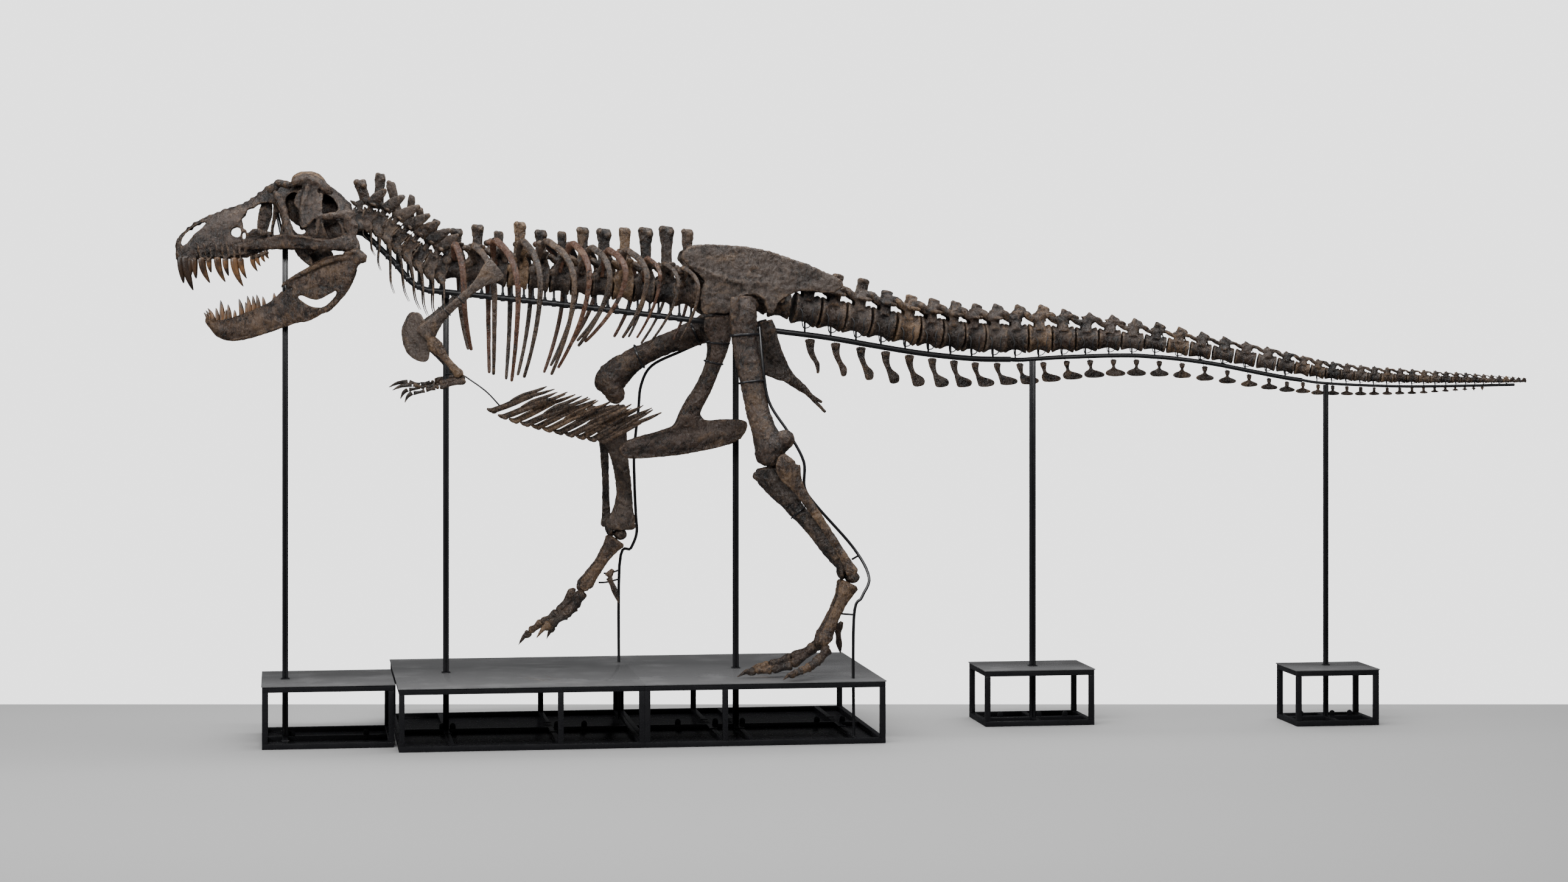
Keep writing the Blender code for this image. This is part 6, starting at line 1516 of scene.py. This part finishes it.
def build_posts():
    """The slotted posts with their collars, the wire to the belly ribs and the skull's stay."""
    for name, x, y, half in POSTS:
        high = 3.64 if name == "head_post" else bar_height(x)[1] - 0.012
        form = Form().skin([[(a, b, z) for a, b in slotted(x, y, half)] for z in (0.02, high)])
        if name in ("shoulder_post", "hip_post"):
            form.block((x - half, 0.0, high - 1.6 * half), (x + half, y + half, high + 0.006))
        steel(name, form, (name,), 0.0018)
        top = 0.43 if name.startswith("tail") else 0.46
        steel(name + "_collar", Form().block((x - 1.5 * half, y - 1.5 * half, top),
                                             (x + 1.5 * half, y + 1.5 * half, top + 0.006)),
              (name,), 0.001)
    elbow = Form().rod(((-1.382, 0.1, 2.7), (-1.27, 0.05, 2.69), (-1.2, 0.03, 2.65), (-1.08, 0.0, 2.56),
                        (-0.97, 0.0, 2.44)),
                       0.006, 12, 5)
    steel("belly_wire", elbow, ("shoulder_post",))
    stay = Form().rod(((-2.573, -0.12, 3.62), (-2.6, -0.08, 3.74), (-2.63, -0.04, 3.88), (-2.66, 0.0, 4.0)),
                      0.014, 14, 4)
    steel("skull_stay", stay, ("head_post",))


def build_leg_rods():
    for name, points in LEG_RODS:
        steel(name, Form().rod(points, 0.0112, 14, 6), (name,))
    for name, node, *rods in FOOT_BRACES:
        form = Form()
        for points, radius, steps in rods:
            form.rod(points, radius, 10, steps)
        steel(name, form, (node,))


def ring_strap(form, centre, axis, wide, deep, wire):
    """A steel band round a bone."""
    centre, axis = Vector(centre), Vector(axis).normalized()
    side = (Vector((0, 1, 0)) - axis * axis.y).normalized()
    up = axis.cross(side)
    points = []
    for k in range(17):
        turn = 2 * math.pi * k / 16
        points.append(centre + side * wide * math.cos(turn) + up * deep * math.sin(turn))
    rings = []
    for k, point in enumerate(points):
        out = (point - centre).normalized()
        ring = []
        for j in range(8):
            a = 2 * math.pi * j / 8
            ring.append(point + out * wire * 0.6 * math.cos(a) + axis * wire * math.sin(a))
        rings.append(ring)
    form.skin(rings)


def build_straps():
    """Bands round the big bones and flat steel behind the front ribs."""
    for name, node, *bands in STRAPS:
        form = Form()
        for band in bands:
            ring_strap(form, *band)
        steel(name, form, (node,))
    for side, word in SIDES:
        form = Form()
        ring_strap(form, (0.622, side * 0.112, 2.78), (0.2, 0.1 * side, 0.9), 0.042, 0.06, 0.006)
        ring_strap(form, (0.65, side * 0.132, 2.93), (0.05, 0.1 * side, 0.9), 0.042, 0.078, 0.006)
        steel("pubis_straps_" + word, form, ("pubis_" + word,))
        form = Form()
        for x, y, z in ((-1.4, 0.42, 3.167), (-1.3, 0.455, 3.257)):
            ring_strap(form, (x, side * y, z), (1, 0.3 * side, 0.87), 0.024, 0.04, 0.0035)
        steel("shoulder_straps_" + word, form, ("scapula_" + word,))
        for number in range(9):
            flat = [(x + 0.012, y - 0.016, z, 0.004, 0.011) for x, y, z, *_ in rib_rows(number)[2:7]]
            steel("rib_strap_%d_%s" % (number + 1, word),
                  Form(side).sweep(flat, 8, 5, (-0.15, side, 0.35), 0.5),
                  ("trunk_" + word,), finish="bar")


def lug(form, x, y, z):
    """A small plate with a round top, fixed to a rail."""
    round_top = [(x + 0.022 * math.cos(math.pi * k / 6), z + 0.022 * math.sin(math.pi * k / 6))
                 for k in range(7)]
    form.plate([(x + 0.022, z - 0.02)] + round_top + [(x - 0.022, z - 0.02)], y, 0.003, 1)


def build_platforms():
    for name, (x0, y0), (x1, y1), top, crosses, long_y in PLATFORMS:
        rails, sheet, deck, upper = Form(), Form(), Form(), Form()
        under = top - DECK - TUBE
        for form, z0 in ((rails, 0.0), (upper, under)):
            z1 = z0 + TUBE
            form.block((x0, y0, z0), (x1, y0 + TUBE, z1))
            form.block((x0, y1 - TUBE, z0), (x1, y1, z1))
            form.block((x0, y0 + TUBE, z0), (x0 + TUBE, y1 - TUBE, z1))
            form.block((x1 - TUBE, y0 + TUBE, z0), (x1, y1 - TUBE, z1))
            form.block((x0 + TUBE, long_y - TUBE / 2, z0), (x1 - TUBE, long_y + TUBE / 2, z1))
        for x in crosses:
            for low, high in ((y0 + TUBE, long_y - TUBE / 2), (long_y + TUBE / 2, y1 - TUBE)):
                rails.block((x - TUBE / 2, low, 0.0), (x + TUBE / 2, high, TUBE))
        half = TUBE / 2
        spots = [(x, y) for x in (x0 + half, x1 - half) for y in (y0 + half, y1 - half)]
        if name.startswith("platform"):
            inner = -0.6 if name.endswith("front") else 0.6
            spots += [(inner, y0 + half), (inner, y1 - half)]
        for x, y in spots:
            rails.block((x - half, y - half, TUBE), (x + half, y + half, under - GAP))
        for x in crosses:
            for shift in (-0.28, 0.28):
                if y0 + 0.1 < long_y + shift < y1 - 0.1:
                    rails.block((x - 0.03, long_y + shift - 0.02, TUBE),
                                (x + 0.03, long_y + shift + 0.02, TUBE + 0.004))
            lug(rails, x + 0.05, long_y, TUBE + 0.02)
        for x in (x0 + 0.2 * (x1 - x0), x0 + 0.8 * (x1 - x0)):
            lug(rails, x, long_y, TUBE + 0.02)
        steel(name + "_rails", rails, (name + "_frame",), 0.003)
        sheet.block((x0 + TUBE, y0 + TUBE, 0.0), (x1 - TUBE, y1 - TUBE, 0.006))
        steel(name + "_floor_sheet", sheet, (name + "_frame",), 0.001)
        steel(name + "_top_rails", upper, (name + "_deck",), 0.003)
        lips = [LIP if abs(x - JOINT) > GAP else 0.0 for x in (x0, x1)]
        deck.block((x0 - lips[0], y0 - LIP, top - DECK), (x1 + lips[1], y1 + LIP, top))
        steel(name + "_top", deck, (name + "_deck",), 0.0012, finish="deck", slot="deck")


# Operators

class SkeletonSizes(bpy.types.PropertyGroup):
    """Sizes that a user would change."""
    grain: bpy.props.FloatProperty(
        name="Surface detail", description="Multiplies the size of the mesh cells of the bones",
        default=1.0, min=0.5, max=4.0)
    bar_radius: bpy.props.FloatProperty(
        name="Bar radius", description="Radius of the steel bar under the spine", default=0.0215, min=0.005,
        max=0.05,
        subtype="DISTANCE", unit="LENGTH")
    lamp_power: bpy.props.FloatProperty(
        name="Lamp power", description="Multiplies the power of every studio lamp", default=1.0, min=0.0,
        max=10.0)


def colour_setting(name, description, default):
    return bpy.props.FloatVectorProperty(name=name, description=description, default=default, size=3,
                                         min=0.0, max=1.0,
                                         subtype="COLOR")


class SkeletonColours(bpy.types.PropertyGroup):
    """Colours that a user would change."""
    # Dark bone is also the base of the painted shade that darkens the bones' hollows
    bone_dark: colour_setting("Dark bone", "The darkest mineral stain", (0.008, 0.0055, 0.0045))
    bone_brown: colour_setting("Brown bone", "The usual brown of the bones", (0.038, 0.022, 0.0145))
    bone_grey: colour_setting("Grey bone", "Worn greyish bone", (0.062, 0.045, 0.035))
    bone_tan: colour_setting("Tan bone", "Pale tan patches", (0.175, 0.108, 0.058))
    bone_red: colour_setting("Red bone", "Reddish brown of some ribs", (0.085, 0.03, 0.015))
    tooth: colour_setting("Tooth", "Enamel", (0.175, 0.088, 0.038))
    steel: colour_setting("Steel", "Paint of the mount", (0.007, 0.007, 0.008))
    deck: colour_setting("Deck", "Polished platform tops", (0.14, 0.14, 0.142))
    floor: colour_setting("Floor", "Studio floor", (0.4, 0.4, 0.4))
    wall: colour_setting("Backdrop", "Studio backdrop", (0.8, 0.8, 0.8))


class SKELETON_OT_skull(bpy.types.Operator):
    """Build the skull with its openings and the tan crest"""
    bl_idname = "skeleton.skull"
    bl_label = "Skull"

    def execute(self, context):
        bone("skull", skull_form(), "skull", ("skull",), 0.008, swell=0.01, pits=0.006, smooth=2)
        crest = Form()
        for crest.side in (LEFT, RIGHT):
            crest.sweep(((-2.52, 0.15, 4.13, 0.03, 0.012), (-2.495, 0.16, 4.156, 0.05, 0.022),
                         (-2.44, 0.17, 4.174, 0.06, 0.023), (-2.36, 0.17, 4.168, 0.06, 0.024),
                         (-2.31, 0.18, 4.136, 0.05, 0.02), (-2.275, 0.18, 4.098, 0.03, 0.01)))
            crest.lump((-2.475, 0.205, 4.158), (0.04, 0.028, 0.02))
            crest.lump((-2.365, 0.21, 4.158), (0.045, 0.028, 0.022))
        bone("skull_crest", crest, "crest", ("skull",), 0.006, swell=0.008)
        return {"FINISHED"}


class SKELETON_OT_teeth(bpy.types.Operator):
    """Build the upper and lower teeth"""
    bl_idname = "skeleton.teeth"
    bl_label = "Teeth"

    def execute(self, context):
        for side, word in SIDES:
            upper, lower = Form(side), Form(side)
            for x, length, lean in UPPER_TEETH:
                low, _, width = along(SKULL, x)
                tooth(upper, x, width - 0.02, low + 0.006, length, -1, lean * length,
                      0.0095 + 0.098 * length)
            for x, length, lean in LOWER_TEETH:
                _, high, y, _ = along(JAW, x)
                tooth(lower, x, y, high - 0.006, length, 1, lean * length, 0.0085 + 0.09 * length)
            settle(upper.item("upper_teeth_" + word), paints("tooth"), ("skull",))
            settle(lower.item("lower_teeth_" + word), paints("tooth"), ("lower_jaw",))
        return {"FINISHED"}


class SKELETON_OT_lower_jaw(bpy.types.Operator):
    """Build the two sides of the lower jaw"""
    bl_idname = "skeleton.lower_jaw"
    bl_label = "Lower jaw"

    def execute(self, context):
        for side, word in SIDES:
            bone("lower_jaw_" + word, jaw_form(side), "jaw" if side < 0 else "dark", ("lower_jaw",), 0.0066,
                 pits=0.004)
        return {"FINISHED"}


class SKELETON_OT_neck(bpy.types.Operator):
    """Build the neck vertebrae and their long thin ribs"""
    bl_idname = "skeleton.neck"
    bl_label = "Neck"

    def execute(self, context):
        build_neck()
        return {"FINISHED"}


class SKELETON_OT_back(bpy.types.Operator):
    """Build the vertebrae of the back"""
    bl_idname = "skeleton.back"
    bl_label = "Back"

    def execute(self, context):
        build_back()
        return {"FINISHED"}


class SKELETON_OT_ribs(bpy.types.Operator):
    """Build the ribs of both flanks"""
    bl_idname = "skeleton.ribs"
    bl_label = "Ribs"

    def execute(self, context):
        build_ribs()
        return {"FINISHED"}


class SKELETON_OT_arms(bpy.types.Operator):
    """Build the shoulder blades, arms and hands"""
    bl_idname = "skeleton.arms"
    bl_label = "Arms"

    def execute(self, context):
        build_arms()
        return {"FINISHED"}


class SKELETON_OT_belly(bpy.types.Operator):
    """Build the belly ribs"""
    bl_idname = "skeleton.belly"
    bl_label = "Belly ribs"

    def execute(self, context):
        build_gastralia()
        return {"FINISHED"}


class SKELETON_OT_hips(bpy.types.Operator):
    """Build the sacrum and the hip bones"""
    bl_idname = "skeleton.hips"
    bl_label = "Hips"

    def execute(self, context):
        build_hips()
        return {"FINISHED"}


class SKELETON_OT_legs(bpy.types.Operator):
    """Build the thigh and shin bones"""
    bl_idname = "skeleton.legs"
    bl_label = "Legs"

    def execute(self, context):
        build_legs()
        return {"FINISHED"}


class SKELETON_OT_feet(bpy.types.Operator):
    """Build the foot bones and toes"""
    bl_idname = "skeleton.feet"
    bl_label = "Feet"

    def execute(self, context):
        build_feet()
        return {"FINISHED"}


class SKELETON_OT_tail(bpy.types.Operator):
    """Build the tail vertebrae"""
    bl_idname = "skeleton.tail"
    bl_label = "Tail"

    def execute(self, context):
        build_tail()
        return {"FINISHED"}


class SKELETON_OT_chevrons(bpy.types.Operator):
    """Build the bones that hang under the tail"""
    bl_idname = "skeleton.chevrons"
    bl_label = "Chevrons"

    def execute(self, context):
        build_chevrons()
        return {"FINISHED"}


class SKELETON_OT_spine_bar(bpy.types.Operator):
    """Build the bar under the spine with its clamps, pins and wires"""
    bl_idname = "skeleton.spine_bar"
    bl_label = "Spine bar"

    def execute(self, context):
        build_spine_bar()
        return {"FINISHED"}


class SKELETON_OT_posts(bpy.types.Operator):
    """Build the slotted posts"""
    bl_idname = "skeleton.posts"
    bl_label = "Posts"

    def execute(self, context):
        build_posts()
        return {"FINISHED"}


class SKELETON_OT_leg_rods(bpy.types.Operator):
    """Build the bent rods that carry the legs"""
    bl_idname = "skeleton.leg_rods"
    bl_label = "Leg rods"

    def execute(self, context):
        build_leg_rods()
        return {"FINISHED"}


class SKELETON_OT_straps(bpy.types.Operator):
    """Build the bands on the bones and the steel behind the ribs"""
    bl_idname = "skeleton.straps"
    bl_label = "Straps"

    def execute(self, context):
        build_straps()
        return {"FINISHED"}


class SKELETON_OT_platforms(bpy.types.Operator):
    """Build the platforms of square tube with their glossy tops"""
    bl_idname = "skeleton.platforms"
    bl_label = "Platforms"

    def execute(self, context):
        build_platforms()
        return {"FINISHED"}


class SKELETON_OT_stage(bpy.types.Operator):
    """Build the studio: floor, backdrop, lamps and the camera"""
    bl_idname = "skeleton.stage"
    bl_label = "Studio"

    def execute(self, context):
        colours = context.scene.skeleton_colours
        power = context.scene.skeleton_sizes.lamp_power
        turn = Matrix.Rotation(CAMERA_TURN, 4, "Z")
        eye = Vector(CAMERA_PLACE)

        def sheet(name, corners, paint):
            mesh = bpy.data.meshes.new(name)
            mesh.from_pydata([eye + turn @ Vector(corner) for corner in corners], [], [(0, 1, 2, 3)])
            item = bpy.data.objects.new(name, mesh)
            context.scene.collection.objects.link(item)
            mesh.materials.append(paint)
            # The photograph's blacks stay black, so the pale room isn't mirrored in the gloss
            item.visible_glossy = False

        down = -CAMERA_PLACE[2]
        sheet("floor", ((-40, -20, down), (40, -20, down), (40, FLOOR_AWAY, down), (-40, FLOOR_AWAY, down)),
              studio_paint("pale floor", tuple(colours.floor), 0.9))
        sheet("backdrop", ((-180, WALL_AWAY, -90), (180, WALL_AWAY, -90), (180, WALL_AWAY, 100),
                           (-180, WALL_AWAY, 100)),
              studio_paint("pale backdrop", tuple(colours.wall), 0.9, 3.0))
        for name, place, target, long, deep, watts in (
                ("key lamp", (-1.0, -8.0, 8.0), (0.8, 0.0, 2.2), 13.0, 1.6, 1250.0),
                ("side lamp", (-9.5, -5.0, 5.0), (-1.5, 0.0, 2.4), 3.0, 3.0, 300.0),
                ("top lamp", (1.8, 0.2, 8.5), (1.8, 0.0, 2.0), 13.0, 3.0, 750.0)):
            light = bpy.data.lights.new(name, "AREA")
            light.energy = watts * power
            light.shape = "RECTANGLE"
            light.size, light.size_y = long, deep
            item = bpy.data.objects.new(name, light)
            item.location = place
            item.rotation_euler = (Vector(target) - Vector(place)).to_track_quat("-Z", "Y").to_euler()
            context.scene.collection.objects.link(item)
        world = bpy.data.worlds.new("studio")
        world.use_nodes = True
        world.node_tree.nodes["Background"].inputs["Color"].default_value = (0.8, 0.81, 0.83, 1.0)
        world.node_tree.nodes["Background"].inputs["Strength"].default_value = 0.06
        context.scene.world = world
        camera = bpy.data.cameras.new("camera")
        camera.sensor_width = 36.0
        camera.lens = CAMERA_LENS
        camera.shift_y = CAMERA_SHIFT
        camera.clip_end = 400.0
        item = bpy.data.objects.new("camera", camera)
        item.location = CAMERA_PLACE
        item.rotation_euler = (math.radians(90.0), 0.0, CAMERA_TURN)
        context.scene.collection.objects.link(item)
        context.scene.camera = item
        return {"FINISHED"}


OPERATORS = [SKELETON_OT_skull, SKELETON_OT_teeth, SKELETON_OT_lower_jaw, SKELETON_OT_neck,
             SKELETON_OT_back, SKELETON_OT_ribs, SKELETON_OT_arms, SKELETON_OT_belly,
             SKELETON_OT_hips, SKELETON_OT_legs, SKELETON_OT_feet, SKELETON_OT_tail,
             SKELETON_OT_chevrons, SKELETON_OT_spine_bar, SKELETON_OT_posts, SKELETON_OT_leg_rods,
             SKELETON_OT_straps, SKELETON_OT_platforms, SKELETON_OT_stage]


class SKELETON_PT_panel(bpy.types.Panel):
    """Lists the sizes, the colours and the pieces"""
    bl_idname = "SKELETON_PT_panel"
    bl_label = "Skeleton"
    bl_space_type = "VIEW_3D"
    bl_region_type = "UI"
    bl_category = "Skeleton"

    def draw(self, context):
        for group in (context.scene.skeleton_sizes, context.scene.skeleton_colours):
            for name in group.__annotations__:
                self.layout.prop(group, name)
        for operator in OPERATORS:
            self.layout.operator(operator.bl_idname)


CLASSES = [SkeletonSizes, SkeletonColours] + OPERATORS + [SKELETON_PT_panel]


def register():
    for item in CLASSES:
        bpy.utils.register_class(item)
    bpy.types.Scene.skeleton_sizes = bpy.props.PointerProperty(type=SkeletonSizes)
    bpy.types.Scene.skeleton_colours = bpy.props.PointerProperty(type=SkeletonColours)


def unregister():
    del bpy.types.Scene.skeleton_colours
    del bpy.types.Scene.skeleton_sizes
    for item in reversed(CLASSES):
        bpy.utils.unregister_class(item)


def main():
    """Build everything in order."""
    register()
    for operator in OPERATORS:
        group, name = operator.bl_idname.split(".")
        getattr(getattr(bpy.ops, group), name)()


if __name__ == "__main__":
    main()
